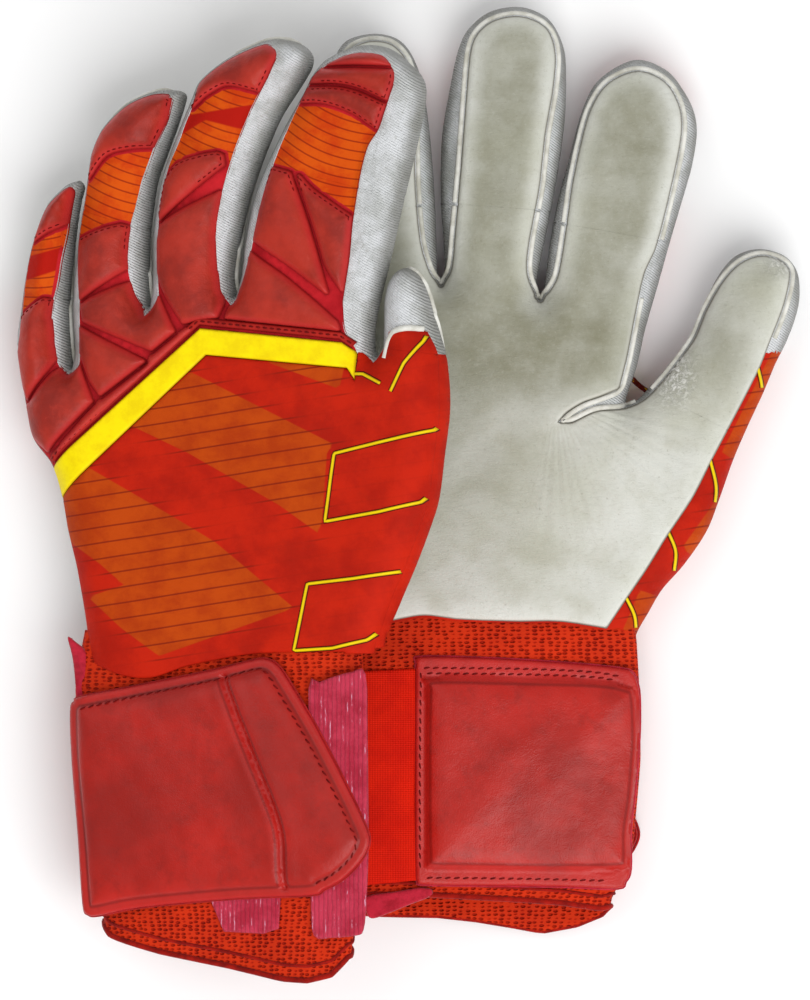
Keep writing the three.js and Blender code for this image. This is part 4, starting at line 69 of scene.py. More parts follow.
98.24],[-25.54,97.48],[-25.06,96.64],[-24.26,94.79],[-23.51,92.24],[-22.61,87.37],[-20.71,73.44],[-19.57,63.42],[-22.95,63.25],[-22.56,66.62],[-22.41,68.76],[-22.16,76.85],[-23.61,87.21],[-24.2,90.59],[-24.66,92.63],[-25.21,94.44],[-25.96,96.17],[-26.87,97.6],[-27.37,98.14],[-28.41,98.91],[-29.97,96.94],[-31.15,95.03],[-31.59,94.06],[-32.13,92.34],[-32.61,90.35],[-33.41,86.03],[-34.21,80.79],[-34.68,76.5],[-34.94,72.11],[-35,69.89],[-34.89,65.34],[-34.75,62.66],[-37.06,62.54],[-37.86,69.83],[-39.17,79.13],[-39.55,82.4],[-39.87,86.12],[-39.96,89.77],[-39.85,91.39],[-39.54,93.32],[-39.02,95.23],[-38.67,96.12],[-38.25,96.95],[-37.76,97.69],[-37.16,98.36],[-36.46,99],[-35.69,99.59],[-34.87,100.1],[-34.02,100.52],[-33.18,100.82],[-32.36,100.98],[-31.54,101]]],"gb":[[[-30.68,100.89],[-29.8,100.66],[-28.94,100.34],[-28.11,99.92],[-27.34,99.43],[-26.67,98.88],[-26.08,98.24],[-25.54,97.48],[-25.06,96.64],[-24.26,94.79],[-23.51,92.24],[-22.61,87.37],[-20.71,73.44],[-19.57,63.42],[-22.55,63.27],[-25.76,85.6],[-26.72,91.31],[-27.21,93],[-28.44,96.19],[-31.97,97.28],[-33.95,95.53],[-34.44,94.81],[-34.73,94.15],[-35.21,92.53],[-35.39,91.64],[-35.6,89.87],[-35.65,88.34],[-35.54,84.7],[-35.3,80.93],[-33.52,62.72],[-37.06,62.54],[-37.86,69.83],[-39.17,79.13],[-39.55,82.4],[-39.87,86.12],[-39.96,89.77],[-39.85,91.39],[-39.54,93.32],[-39.02,95.23],[-38.67,96.12],[-38.25,96.95],[-37.76,97.69],[-37.16,98.36],[-36.46,99],[-35.69,99.59],[-34.87,100.1],[-34.02,100.52],[-33.18,100.82],[-32.36,100.98],[-31.54,101]]],"palm":[[[-28.17,96.49],[-26.87,93.12],[-26.37,91.39],[-25.54,86.6],[-22.19,63.29],[-33.88,62.7],[-35.6,80.18],[-35.85,83.72],[-36,87.48],[-35.99,89.15],[-35.88,90.79],[-35.56,92.61],[-35.07,94.28],[-34.76,94.99],[-34.22,95.76],[-32.06,97.69]]]},"ring":{"floor":[[[-4.65,131.64],[-3.54,131.47],[-2.29,131.16],[0.28,130.26],[2.42,129.24],[3.55,128.32],[3.79,128.03],[4.24,126.55],[4.93,123.45],[6.03,116.36],[5.11,109.94],[4.91,104.58],[4.49,100.19],[4.46,98.39],[4.57,94.33],[4.55,
91.61],[4.14,88.29],[-16.39,87.18],[-17.02,95.94],[-17.38,99.7],[-19.47,117.42],[-19.31,119.12],[-18.95,121],[-18.39,122.74],[-18.02,123.54],[-17.27,124.87],[-16.34,126.23],[-15.28,127.55],[-14.14,128.76],[-12.95,129.77],[-11.64,130.57],[-10.86,130.9],[-9.14,131.38],[-8.23,131.53],[-6.4,131.68]]],"gt":[[[-8.32,140.26],[-6.41,140.05],[-4.6,139.63],[-3,139.04],[-2.22,138.63],[-0.78,137.57],[-0.13,136.96],[1.01,135.58],[2.24,133.51],[2.99,131.96],[3.69,130.27],[4.33,128.5],[4.87,126.72],[5.26,125.13],[5.88,121.88],[6.45,118.22],[7.39,110.58],[7.75,107.13],[8.35,99.8],[9.06,88.56],[3.77,88.27],[4.1,90.67],[4.22,92.44],[4.1,99.29],[4.21,101.12],[4.48,103.73],[4.69,109.09],[4.84,110.7],[5.67,116.36],[5.17,119.93],[4.58,123.38],[3.89,126.45],[3.47,127.85],[2.23,128.94],[1.29,129.42],[-1.11,130.41],[-3.61,131.12],[-4.69,131.28],[-6.39,131.32],[-8.18,131.18],[-9.92,130.82],[-11.48,130.25],[-12.16,129.87],[-13.31,129.02],[-15.01,127.32],[-16.05,126.02],[-16.96,124.68],[-17.7,123.38],[-18.05,122.6],[-18.6,120.91],[-18.8,120.01],[-19.11,117.43],[-17.12,100.69],[-16.74,96.89],[-16.03,87.2],[-17.05,87.15],[-17.68,95.89],[-18.03,99.63],[-20.99,124.54],[-21.3,128.2],[-21.34,129.82],[-21.27,131.25],[-21.14,132.17],[-20.61,134.01],[-19.77,135.74],[-19.24,136.52],[-18.64,137.22],[-17.98,137.84],[-17.31,138.31],[-16.54,138.72],[-14.79,139.39],[-13.86,139.65],[-11.97,140.02],[-10.19,140.24]]],"gb":[[[-8.32,140.26],[-6.41,140.05],[-4.6,139.63],[-3,139.04],[-2.22,138.63],[-0.78,137.57],[-0.13,136.96],[1.01,135.58],[2.24,133.51],[2.99,131.96],[3.69,130.27],[4.33,128.5],[4.87,126.72],[5.26,125.13],[5.88,121.88],[6.45,118.22],[7.39,110.58],[7.75,107.13],[8.35,99.8],[9.06,88.56],[3.28,88.25],[2.85,95.29],[2.75,99.02],[2.57,116.99],[2.41,120.49],[2.04,124.15],[1.47,127.92],[1.07,129.63],[0.57,131.11],[0.21,131.89],[-0.72,133.4],[-1.86,134.77],[-3.12,135.89],[-3.78,136.33],[-4.58,136.73],[-5.45,137.05],[-6.38,137.28],[-8.3,137.52],[-10.15,137.48],[-11.04,137.36],[-12.85,136.88],[-14.55,136.13],
[-15.3,135.68],[-15.94,135.17],[-16.51,134.6],[-17.5,133.22],[-18.2,131.66],[-18.41,130.84],[-18.52,130.02],[-18.53,128.69],[-18.42,127.12],[-17.13,117.8],[-15.38,103.54],[-14.62,95.91],[-14.05,87.31],[-17.05,87.15],[-17.68,95.89],[-18.03,99.63],[-20.99,124.54],[-21.3,128.2],[-21.34,129.82],[-21.27,131.25],[-21.14,132.17],[-20.61,134.01],[-19.77,135.74],[-19.24,136.52],[-18.64,137.22],[-17.98,137.84],[-17.31,138.31],[-16.54,138.72],[-14.79,139.39],[-13.86,139.65],[-11.97,140.02],[-10.19,140.24]]],"palm":[[[-7.29,137.8],[-5.34,137.39],[-4.43,137.06],[-3.6,136.64],[-2.91,136.18],[-1.6,135.02],[-0.99,134.34],[0.08,132.85],[0.53,132.05],[1.17,130.52],[1.82,127.99],[2.14,126.12],[2.61,122.28],[2.87,118.78],[3.15,97.15],[3.3,93.49],[3.64,88.27],[-14.41,87.29],[-14.98,95.89],[-15.32,99.64],[-17.49,117.76],[-18.58,125.33],[-18.89,128.68],[-18.88,130.05],[-18.76,130.91],[-18.54,131.77],[-18.22,132.6],[-17.81,133.4],[-17.33,134.15],[-16.78,134.84],[-16.18,135.44],[-15.5,135.97],[-14.73,136.45],[-12.97,137.22],[-11.1,137.71],[-9.26,137.89]]]},"middle":{"floor":[[[35.43,141.26],[36.6,140.74],[37.79,140],[38.87,139.18],[39.75,138.4],[40.74,137.19],[41.45,135.78],[41.82,134.4],[41.89,133.39],[41.86,132.23],[41.61,129.68],[41.12,126.09],[39.1,115.44],[38.78,113.35],[37.58,103.72],[35.71,87.32],[12.59,88.92],[12.58,92.38],[12.18,101.92],[12.24,102.82],[12.55,104.49],[13.14,106.93],[13.26,107.8],[13.36,109.53],[13.42,114.23],[13.53,116.04],[14.07,120.54],[14.21,122.39],[14.16,123.69],[15.29,129.66],[15.86,132.27],[16.84,133.2],[18.34,134.44],[19.95,135.63],[21.61,136.72],[23.26,137.65],[25.1,138.54],[27.09,139.39],[29.12,140.16],[31.08,140.78],[32.87,141.22],[34.38,141.42]]],"gt":[[[35.35,148.22],[36.25,148.05],[38.05,147.53],[40.54,146.45],[41.95,145.63],[42.66,145.1],[43.31,144.5],[44.46,143.13],[44.96,142.39],[45.85,140.83],[46.54,139.36],[47.19,137.73],[47.74,135.99],[48.13,134.22],[48.24,133.34],[48.43,130.22],[48.49,126.45],[48.32,118.6],[48.13,115.1],[47.79,111.56],[46.11,
99.37],[44.96,92.51],[43.86,86.76],[35.35,87.35],[37.35,104.82],[38.74,115.5],[40.58,125.05],[40.93,127.21],[41.4,131.01],[41.53,133.38],[41.46,134.34],[41.11,135.65],[40.43,136.99],[39.49,138.15],[37.58,139.7],[36.44,140.42],[35.33,140.91],[34.37,141.06],[32.09,140.68],[30.22,140.15],[28.23,139.45],[26.22,138.64],[24.31,137.78],[22.62,136.89],[20.98,135.89],[19.35,134.76],[17.8,133.55],[16.19,132.09],[15.64,129.59],[14.52,123.64],[14.57,122.37],[13.82,115.12],[13.72,109.52],[13.62,107.75],[13.49,106.86],[12.72,103.61],[12.6,102.78],[12.55,101.13],[12.89,94.21],[12.95,88.9],[10.81,89.04],[10.71,96.69],[10.82,104.29],[11.02,107.92],[11.38,111.46],[11.92,115.16],[14.64,129.79],[15.44,133.28],[16.44,136.58],[17.09,138.29],[17.88,139.93],[18.35,140.7],[19.44,142.11],[20.72,143.46],[22.18,144.76],[23.78,145.91],[24.61,146.41],[26.28,147.15],[27.14,147.44],[28.97,147.91],[30.86,148.22],[33.61,148.36]]],"gb":[[[35.35,148.22],[36.25,148.05],[38.05,147.53],[40.54,146.45],[41.95,145.63],[42.66,145.1],[43.31,144.5],[44.46,143.13],[44.96,142.39],[45.85,140.83],[46.54,139.36],[47.19,137.73],[47.74,135.99],[48.13,134.22],[48.24,133.34],[48.43,130.22],[48.49,126.45],[48.32,118.6],[48.13,115.1],[47.79,111.56],[46.11,99.37],[44.96,92.51],[43.86,86.76],[38.92,87.1],[39.64,90.82],[40.22,94.43],[40.66,98.07],[41.48,106.27],[41.89,109.72],[42.47,113.26],[43.8,120.26],[44.29,123.5],[44.82,128.28],[45.02,132.02],[44.97,133.72],[44.76,135.38],[44.38,137.18],[43.81,138.91],[43.03,140.48],[42.55,141.17],[42,141.78],[41.43,142.28],[40.05,143.19],[39.27,143.59],[37.59,144.26],[35.84,144.73],[34.14,144.97],[33.28,145],[31.45,144.87],[30.51,144.73],[28.63,144.29],[26.87,143.67],[25.35,142.92],[24.62,142.44],[23.25,141.3],[22.06,139.95],[21.1,138.44],[20.72,137.65],[20.23,136.18],[19.91,134.71],[19.64,133.06],[19.24,129.35],[18.15,115.6],[17.29,103.39],[15.99,88.69],[10.81,89.04],[10.71,96.69],[10.82,104.29],[11.02,107.92],[11.38,111.46],[11.92,115.16],[14.64,129.79],[15.44,133.28],[16.44,
136.58],[17.09,138.29],[17.88,139.93],[18.35,140.7],[19.44,142.11],[20.72,143.46],[22.18,144.76],[23.78,145.91],[24.61,146.41],[26.28,147.15],[27.14,147.44],[28.97,147.91],[30.86,148.22],[33.61,148.36]]],"palm":[[[34.16,145.33],[35.92,145.08],[36.81,144.87],[38.58,144.28],[40.23,143.5],[41.65,142.56],[42.25,142.03],[42.83,141.39],[43.33,140.67],[43.77,139.88],[44.46,138.17],[44.73,137.27],[45.11,135.44],[45.33,133.74],[45.38,132.02],[45.33,130.17],[44.98,126.3],[44.43,121.86],[42.67,112.3],[42.14,108.83],[40.7,95.29],[40.16,91.68],[39.28,87.08],[15.64,88.71],[16.7,100.66],[17.99,118.3],[18.88,129.38],[19.28,133.11],[19.55,134.78],[19.88,136.27],[20.39,137.79],[20.78,138.61],[21.78,140.17],[22.36,140.89],[23.69,142.18],[24.41,142.74],[25.92,143.64],[26.73,144.01],[28.53,144.63],[30.44,145.08],[32.36,145.32]]]},"index":{"floor":[[[70.68,131.79],[72.2,131.55],[73.01,131.32],[74.67,130.7],[76.29,129.91],[77.77,129.04],[79.12,128.08],[79.76,127.48],[80.94,126.13],[83.54,122.33],[84.53,120.62],[84.44,119.59],[82.57,107.58],[82.19,105.8],[81.89,104.89],[80.3,101.46],[80.04,100.56],[79.88,99.73],[79.7,97.97],[79.6,93.57],[79.91,83.74],[79.75,80.12],[78.97,77.43],[48.23,82.74],[48.77,85.46],[49.36,88.96],[50.49,97.45],[51.76,105.41],[52.51,112.4],[53.93,116.87],[55.23,120.31],[55.96,121.9],[56.76,123.33],[57.67,124.65],[58.22,125.29],[59.44,126.51],[60.77,127.63],[62.16,128.62],[63.56,129.48],[65.08,130.3],[66.67,131.02],[68.28,131.54],[69.89,131.79]]],"gt":[[[70.72,132.44],[71.52,132.36],[73.2,131.95],[74.07,131.65],[75.78,130.91],[77.39,130.05],[78.81,129.15],[79.54,128.58],[80.86,127.26],[82.57,125.01],[84.1,122.67],[85.05,121.05],[85.9,119.37],[86.61,117.69],[87.16,115.95],[87.38,115.02],[87.69,113.13],[87.81,111.22],[87.69,108.67],[87.48,106.9],[86.86,103.15],[86.1,99.5],[85.65,97.74],[79.62,77.32],[78.61,77.49],[79.39,80.18],[79.55,82.95],[79.25,93.57],[79.3,97.09],[79.42,98.9],[79.69,100.67],[79.97,101.6],[81.55,105.02],[81.84,105.9],[82.22,107.64],[83.13,113.77],
[83.95,118.67],[84.17,120.54],[82.75,122.9],[81.2,125.18],[80.1,126.59],[78.88,127.8],[78.21,128.32],[76.88,129.17],[75.34,130],[73.71,130.7],[72.11,131.2],[70.66,131.43],[69.9,131.43],[68.37,131.19],[67.59,130.97],[66.02,130.35],[64.48,129.58],[63.05,128.76],[61.67,127.84],[60.32,126.81],[59.06,125.66],[57.95,124.42],[57.47,123.77],[56.67,122.46],[55.92,120.97],[55.22,119.34],[53.97,115.88],[52.86,112.33],[52.12,105.36],[50.85,97.4],[49.85,89.83],[49.28,86.26],[48.58,82.67],[44.66,83.35],[46.15,90.79],[47.07,94.3],[48.36,98.64],[49.24,101.96],[51.01,109.29],[51.95,112.87],[53.01,116.2],[54.28,119.71],[54.99,121.39],[55.78,122.96],[56.63,124.35],[57.16,125.06],[58.34,126.38],[60.37,128.15],[61.8,129.17],[63.23,130.05],[64.79,130.89],[66.43,131.63],[68.13,132.18],[69.85,132.44]]],"gb":[[[70.72,132.44],[71.52,132.36],[73.2,131.95],[74.07,131.65],[75.78,130.91],[77.39,130.05],[78.81,129.15],[79.54,128.58],[80.86,127.26],[82.57,125.01],[84.1,122.67],[85.05,121.05],[85.9,119.37],[86.61,117.69],[87.16,115.95],[87.38,115.02],[87.69,113.13],[87.81,111.22],[87.69,108.67],[87.48,106.9],[86.86,103.15],[86.1,99.5],[85.65,97.74],[79.62,77.32],[75.79,77.98],[76.47,80.49],[78.3,87.82],[80.38,96.89],[81.9,104.2],[82.46,107.42],[82.82,110.54],[82.9,112.29],[82.87,114.02],[82.7,115.73],[82.36,117.37],[81.83,119.02],[81.15,120.69],[80.32,122.3],[79.35,123.76],[78.26,124.99],[77.65,125.53],[76.24,126.51],[75.47,126.95],[73.85,127.69],[72.23,128.21],[70.69,128.49],[69.87,128.52],[69.03,128.45],[67.32,128.08],[64.85,127.14],[63.39,126.43],[61.87,125.51],[61.16,124.96],[59.85,123.73],[59.26,123.06],[58.3,121.71],[57.43,120.27],[56.6,118.66],[55.83,116.95],[55.16,115.21],[53.87,110.75],[53.01,107.29],[51.38,99.89],[50.69,96.42],[50.09,92.9],[48.69,82.65],[44.66,83.35],[46.15,90.79],[47.07,94.3],[48.36,98.64],[49.24,101.96],[51.01,109.29],[51.95,112.87],[53.01,116.2],[54.28,119.71],[54.99,121.39],[55.78,122.96],[56.63,124.35],[57.16,125.06],[58.34,126.38],[60.37,128.15],[61.8,129.17],
[63.23,130.05],[64.79,130.89],[66.43,131.63],[68.13,132.18],[69.85,132.44]]],"palm":[[[70.72,128.85],[72.31,128.56],[73.15,128.32],[74.82,127.67],[76.43,126.82],[77.87,125.81],[78.51,125.25],[79.64,123.98],[80.15,123.25],[81.07,121.68],[82.17,119.14],[82.7,117.46],[83.05,115.78],[83.26,113.17],[83.23,111.4],[83.1,109.64],[82.69,106.6],[82.09,103.26],[80.52,95.89],[78.65,87.74],[76.82,80.4],[76.14,77.92],[48.34,82.72],[49.73,92.96],[50.34,96.49],[51.82,103.67],[53.52,110.84],[54.54,114.47],[55.14,116.21],[55.87,117.96],[56.69,119.65],[57.56,121.2],[58.43,122.56],[59.59,123.98],[60.93,125.24],[62.43,126.3],[64.7,127.47],[66.35,128.14],[68.1,128.65],[69.86,128.88]]]},"thumb":{"panel":[[[108.86,47.79],[109.07,46.67],[109.12,45.5],[109.03,44.47],[108.64,42.15],[108.08,39.65],[105.58,29.84],[104.91,27.63],[102.9,23.42],[100.88,18.91],[73.55,32.88],[76.33,36.07],[76.68,35.83],[82.99,41.52],[84.42,42.9],[85.71,44.28],[89.23,48.52],[107.37,52.1]]],"gt":[[[107.51,75.48],[109.28,75.23],[110.18,75.03],[111.92,74.49],[113.49,73.8],[114.91,72.88],[115.61,72.26],[116.24,71.57],[117.3,70.01],[117.72,69.18],[118.28,67.57],[118.46,66.75],[118.67,64.98],[118.74,63.14],[118.7,61.36],[118.58,59.69],[118.3,58.02],[117.89,56.37],[116.89,53.09],[115.57,49.62],[114.47,47.04],[111.17,40.45],[107.95,32.63],[106.54,29.51],[103.5,23.14],[101.47,18.61],[100.56,19.08],[101.85,22],[104.58,27.77],[105.58,31.19],[108.29,42.22],[108.67,44.51],[108.76,45.51],[108.72,46.63],[108.51,47.7],[107.13,51.68],[89.43,48.19],[85.97,44.03],[84.67,42.64],[83.24,41.26],[76.84,35.51],[76.66,35.47],[76.4,35.59],[73.9,32.73],[72.94,33.19],[76.27,37.01],[79.1,40.41],[81.41,43.4],[85.06,48.32],[86.03,49.75],[86.9,51.24],[87.59,52.71],[89.5,57.69],[91.36,61.91],[93.04,65.39],[93.93,66.99],[94.93,68.52],[96.08,70.11],[97.34,71.6],[98.73,72.88],[99.48,73.41],[101.13,74.29],[102.01,74.65],[103.86,75.19],[105.75,75.47]]],"gb":[[[107.51,75.48],[109.28,75.23],[110.18,75.03],[111.92,74.49],[113.49,73.8],[114.91,72.88],[115.61,
72.26],[116.24,71.57],[117.3,70.01],[117.72,69.18],[118.28,67.57],[118.46,66.75],[118.67,64.98],[118.74,63.14],[118.7,61.36],[118.58,59.69],[118.3,58.02],[117.89,56.37],[116.89,53.09],[115.57,49.62],[114.47,47.04],[111.17,40.45],[107.95,32.63],[106.54,29.51],[103.5,23.14],[101.47,18.61],[96.6,21.1],[103.9,35.03],[106.05,39.4],[106.77,41.04],[109.64,48.55],[112.05,54.58],[113.28,58.03],[114.26,61.56],[115.06,65.31],[115.28,66.96],[115.31,68.28],[115.13,69.07],[114.74,69.82],[114.19,70.51],[113.52,71.12],[112.79,71.6],[112.11,71.95],[110.42,72.56],[108.53,72.97],[107.59,73.06],[106.7,73.05],[105.82,72.95],[104.02,72.47],[103.12,72.11],[101.39,71.23],[100.59,70.72],[99.23,69.64],[97.31,67.64],[96.13,66.16],[95.13,64.77],[93.32,61.82],[90.82,57.08],[90.11,55.47],[88.53,51.28],[87.87,49.7],[87.09,48.2],[86.15,46.73],[80.87,39.58],[78.48,36.62],[74.67,32.31],[72.94,33.19],[76.27,37.01],[79.1,40.41],[81.41,43.4],[85.06,48.32],[86.03,49.75],[86.9,51.24],[87.59,52.71],[89.5,57.69],[91.36,61.91],[93.04,65.39],[93.93,66.99],[94.93,68.52],[96.08,70.11],[97.34,71.6],[98.73,72.88],[99.48,73.41],[101.13,74.29],[102.01,74.65],[103.86,75.19],[105.75,75.47]]],"palm":[[[108.58,73.33],[110.52,72.91],[112.26,72.27],[112.97,71.92],[113.74,71.4],[114.45,70.76],[115.05,70.02],[115.47,69.2],[115.66,68.32],[115.68,67.67],[115.55,66.12],[115.25,64.34],[114.84,62.44],[113.87,58.73],[113.34,57.08],[112.04,53.56],[109.67,47.64],[107.44,41.74],[106.75,40.07],[105.38,37.18],[102.08,30.73],[96.92,20.93],[74.33,32.48],[76.4,34.76],[78.81,37.57],[81.16,40.55],[85.36,46.23],[86.33,47.65],[87.2,49.14],[87.88,50.61],[90.12,56.43],[92.55,61.19],[94.38,64.28],[95.29,65.62],[96.43,67.13],[97.66,68.59],[98.99,69.91],[100.38,71.02],[102.07,72.02],[103.9,72.81],[105.76,73.3],[106.67,73.41],[107.6,73.42]]]}},"left":{"S":[[82.89,137.44],[83.95,137.34],[86,137],[86.95,136.78],[88.59,136.3],[89.43,135.95],[90.24,135.47],[91,134.9],[91.68,134.27],[92.24,133.62],[92.66,132.98],[92.96,132.2],[93.08,131.36],[93.04,
130.5],[92.89,129.64],[92.66,128.83],[92.38,128.13],[92,127.39],[91.06,125.84],[89.16,122.96],[85.2,117.36],[84.14,115.78],[83.17,114.19],[82.31,112.62],[80.24,108.2],[78.77,104.79],[77.31,101.22],[75.92,97.67],[74.69,94.33],[73.57,91.04],[73.03,89.23],[72.02,85.54],[71.14,81.91],[69.86,76.14],[69.12,72.27],[68.6,68.56],[68.48,66.96],[68.49,66.06],[68.58,65.16],[69.43,60.7],[70.6,64.24],[71.11,66.03],[71.31,66.94],[71.57,68.54],[72.28,75.16],[72.57,77.04],[73.67,82.96],[74.47,86.7],[75.45,90.41],[76.03,92.18],[76.6,93.72],[77.96,97.01],[80.33,102.16],[81.96,105.49],[84.63,110.76],[85.58,112.47],[90.78,121.13],[92.94,125.45],[93.4,126.26],[93.91,127.03],[95,128.44],[96.19,129.77],[96.85,130.37],[97.55,130.93],[98.29,131.42],[99.7,132.2],[101.35,133.01],[103.15,133.79],[105,134.47],[106.81,134.97],[107.67,135.14],[109.51,135.33],[110.45,135.36],[112.35,135.27],[113.29,135.17],[115.08,134.86],[116.72,134.42],[117.6,134.08],[118.45,133.67],[119.26,133.18],[120.04,132.64],[121.53,131.45],[124.88,128.4],[126.12,127.1],[126.68,126.42],[127.17,125.71],[127.59,124.97],[127.92,124.21],[128.15,123.41],[128.3,122.57],[128.37,121.69],[128.38,120.79],[128.26,118.95],[127.82,115.51],[127.55,113.99],[126.83,110.61],[124.94,102.77],[121.28,88.42],[117.65,72.83],[115.13,63.09],[113.26,55.29],[112.91,53.52],[112.66,51.84],[112.57,50.88],[112.48,48.82],[112.5,46.8],[112.66,44.43],[113.17,43.5],[113.91,42.65],[115.02,44.22],[115.51,45.02],[115.78,45.9],[115.92,48.03],[115.96,56.83],[116.03,58.51],[116.2,60.08],[116.53,61.83],[117,63.54],[117.61,65.07],[117.96,65.72],[118.47,66.46],[119.08,67.17],[119.77,67.83],[120.51,68.37],[121.27,68.76],[122.01,68.95],[122.78,68.91],[123.62,68.68],[124.47,68.29],[125.3,67.79],[126.05,67.19],[126.68,66.55],[127.15,65.91],[127.59,65.16],[128.01,64.33],[128.78,62.51],[129.79,59.73],[130.33,58.03],[131.96,51.73],[133.99,45.54],[134.45,43.74],[134.91,41.11],[135.16,39.23],[135.55,35.45],[135.78,31.97],[135.84,28.54],[135.69,25.12],[135.54,23.48],[135.08,
19.88],[134.14,13.3],[133.17,5.04],[132.62,1.4],[132.27,-0.3],[131.82,-2.04],[131.29,-3.78],[130.06,-7.23],[127.57,-13.83],[124.81,-20.54],[121.18,-28.68],[119.78,-31.93],[117.83,-36.19],[117.12,-37.91],[116.52,-39.66],[116.28,-40.55],[115.98,-42.1],[115.39,-46.65],[115.07,-50.16],[113.91,-65.16],[23.89,-65.77],[23.23,-50.43],[22.77,-43.51],[22.42,-40.09],[21.95,-36.44],[20.79,-29.14],[19.26,-20.97],[18.87,-19.21],[16.44,-9.76],[16.08,-8.1],[14.73,-0.16],[14.35,1.5],[13.41,4.86],[12.87,6.52],[12.26,8.15],[11.55,9.72],[10.68,11.28],[10.12,12.05],[6.97,15.66],[6.39,16.4],[5.87,17.17],[5.43,17.97],[5.06,18.81],[4.48,20.56],[4.25,21.46],[1.83,33.87],[1.21,37.38],[0.29,43.45],[0.1,45.25],[0,47.05],[0.04,48.85],[0.35,51.55],[1.14,56.04],[2.25,64.13],[3.54,71.16],[4.36,74.88],[4.84,76.7],[5.97,80.28],[7.29,83.91],[8.02,85.63],[8.78,87.22],[9.57,88.63],[10.11,89.41],[10.74,90.19],[12.16,91.67],[14.36,93.59],[15.62,94.56],[16.49,95.05],[17.46,95.4],[19.44,96.01],[20.22,95.15],[20.71,94.21],[20.62,93.38],[19.76,90.33],[18.98,86.52],[18.1,80.89],[17.65,77.19],[17.31,73.6],[16.34,66.43],[16.03,61.35],[15.94,57.69],[15.96,54.17],[16.03,52.34],[16.28,48.7],[16.68,44.62],[17.53,39.49],[18.19,42.9],[18.44,44.61],[18.48,45.47],[18.45,46.99],[17.88,54.16],[17.84,55.9],[17.88,59.51],[18.02,63.11],[18.17,65.51],[18.35,67.33],[19.01,71.83],[19.88,79.9],[20.71,85.53],[21.5,89.35],[21.77,91.04],[22.83,99.45],[23.38,102.88],[23.6,103.77],[23.89,104.64],[24.76,106.88],[25.49,108.57],[26.36,110.25],[26.85,111.04],[27.38,111.78],[28.5,113.11],[29.81,114.51],[31.24,115.88],[32.74,117.18],[34.25,118.35],[35.79,119.34],[36.61,119.8],[38.35,120.62],[41.02,121.62],[43.55,122.33],[44.47,122.5],[45.45,122.61],[47.47,122.7],[48.45,122.69],[50.82,122.53],[51.71,122.35],[52.53,121.95],[53.03,121.31],[53.09,120.58],[52.94,119.66],[52.18,117.02],[50.22,111.53],[44.71,97.58],[44.11,95.79],[43.87,94.88],[43.22,91.65],[42.4,86.22],[41.95,82.75],[41.58,79.28],[41.33,75.8],[41.22,70.41],[41.25,66.79],[41.33,
64.46],[41.52,62.58],[42.28,57.89],[42.91,61.63],[43.16,63.51],[43.23,64.45],[43.27,67.64],[43.19,74.09],[43.23,75.79],[43.48,79.26],[44.07,84.46],[44.56,88.01],[45.14,91.63],[45.76,94.86],[46.21,96.66],[46.75,98.45],[47.93,101.84],[49.97,107.02],[52.85,113.91],[55.91,120.92],[56.92,123.47],[57.33,124.27],[57.81,125.03],[58.4,125.71],[60.14,127.29],[61.57,128.42],[63.15,129.58],[64.81,130.71],[66.5,131.77],[68.17,132.73],[69.88,133.62],[71.7,134.5],[73.58,135.33],[75.45,136.07],[77.27,136.69],[79,137.16],[79.8,137.32],[80.79,137.44],[81.83,137.48]],"pads":[["little",[[[18.62,94.02],[19.03,93.55],[19.39,92.83],[19.39,91.95],[18.47,87.63],[17.68,82.94],[17.56,82.55],[6.89,77.3],[6.63,77.24],[6.38,77.32],[6.2,77.5],[6.14,77.75],[7.59,81.82],[9.03,85.25],[10.2,87.41],[10.75,88.2],[12.13,89.74],[12.89,90.46],[15.65,92.78],[16.55,93.35],[18.11,94.06],[18.37,94.1]]]],["hand",[[[13.71,60.5],[13.73,60.03],[13.36,57.38],[13.1,54.52],[13.31,54.35],[13.44,54.07],[13.92,49.39],[13.99,46.78],[14.34,45.38],[14.58,43.54],[14.94,42.34],[14.93,42.09],[12.37,38.37],[10.08,35.32],[5.55,30.06],[5.23,29.82],[4.98,29.73],[4.52,29.75],[4.13,29.99],[3.9,30.31],[2.64,33.38],[1.9,37.47],[0.99,43.53],[0.95,44.83],[1.03,45.06],[1.52,45.84],[1.63,46.68],[2.2,49.09],[2.53,53.65],[2.68,53.96],[2.72,55.45],[2.79,55.69],[10.88,60.91]]]],["ring",[[[48.49,121.47],[49.14,121.38],[49.9,120.99],[50.98,119.74],[51.08,119.51],[50.04,115.43],[49.53,113.8],[48.93,112.25],[45.58,105.3],[45.42,105.1],[45.18,105.01],[40.95,104.82],[39.2,104.66],[35.53,104.06],[33.74,103.65],[32.11,103.04],[31.38,102.64],[30.13,101.68],[28.21,99.7],[24.94,96.03],[24.61,95.81],[24.25,95.73],[23.99,95.78],[23.79,95.95],[23.71,96.18],[24.05,98.11],[24.54,101.9],[24.9,103.75],[25.82,106.36],[26.62,108.05],[27.56,109.66],[28.66,111.17],[29.75,112.43],[32.4,115.1],[33.84,116.35],[35.27,117.47],[36.74,118.44],[39.33,119.71],[41.1,120.39],[43.57,121.14],[44.54,121.34],[46.62,121.52]]]],["hand",[[[38.64,82.1],[38.12,78.57],[37.92,76.71],
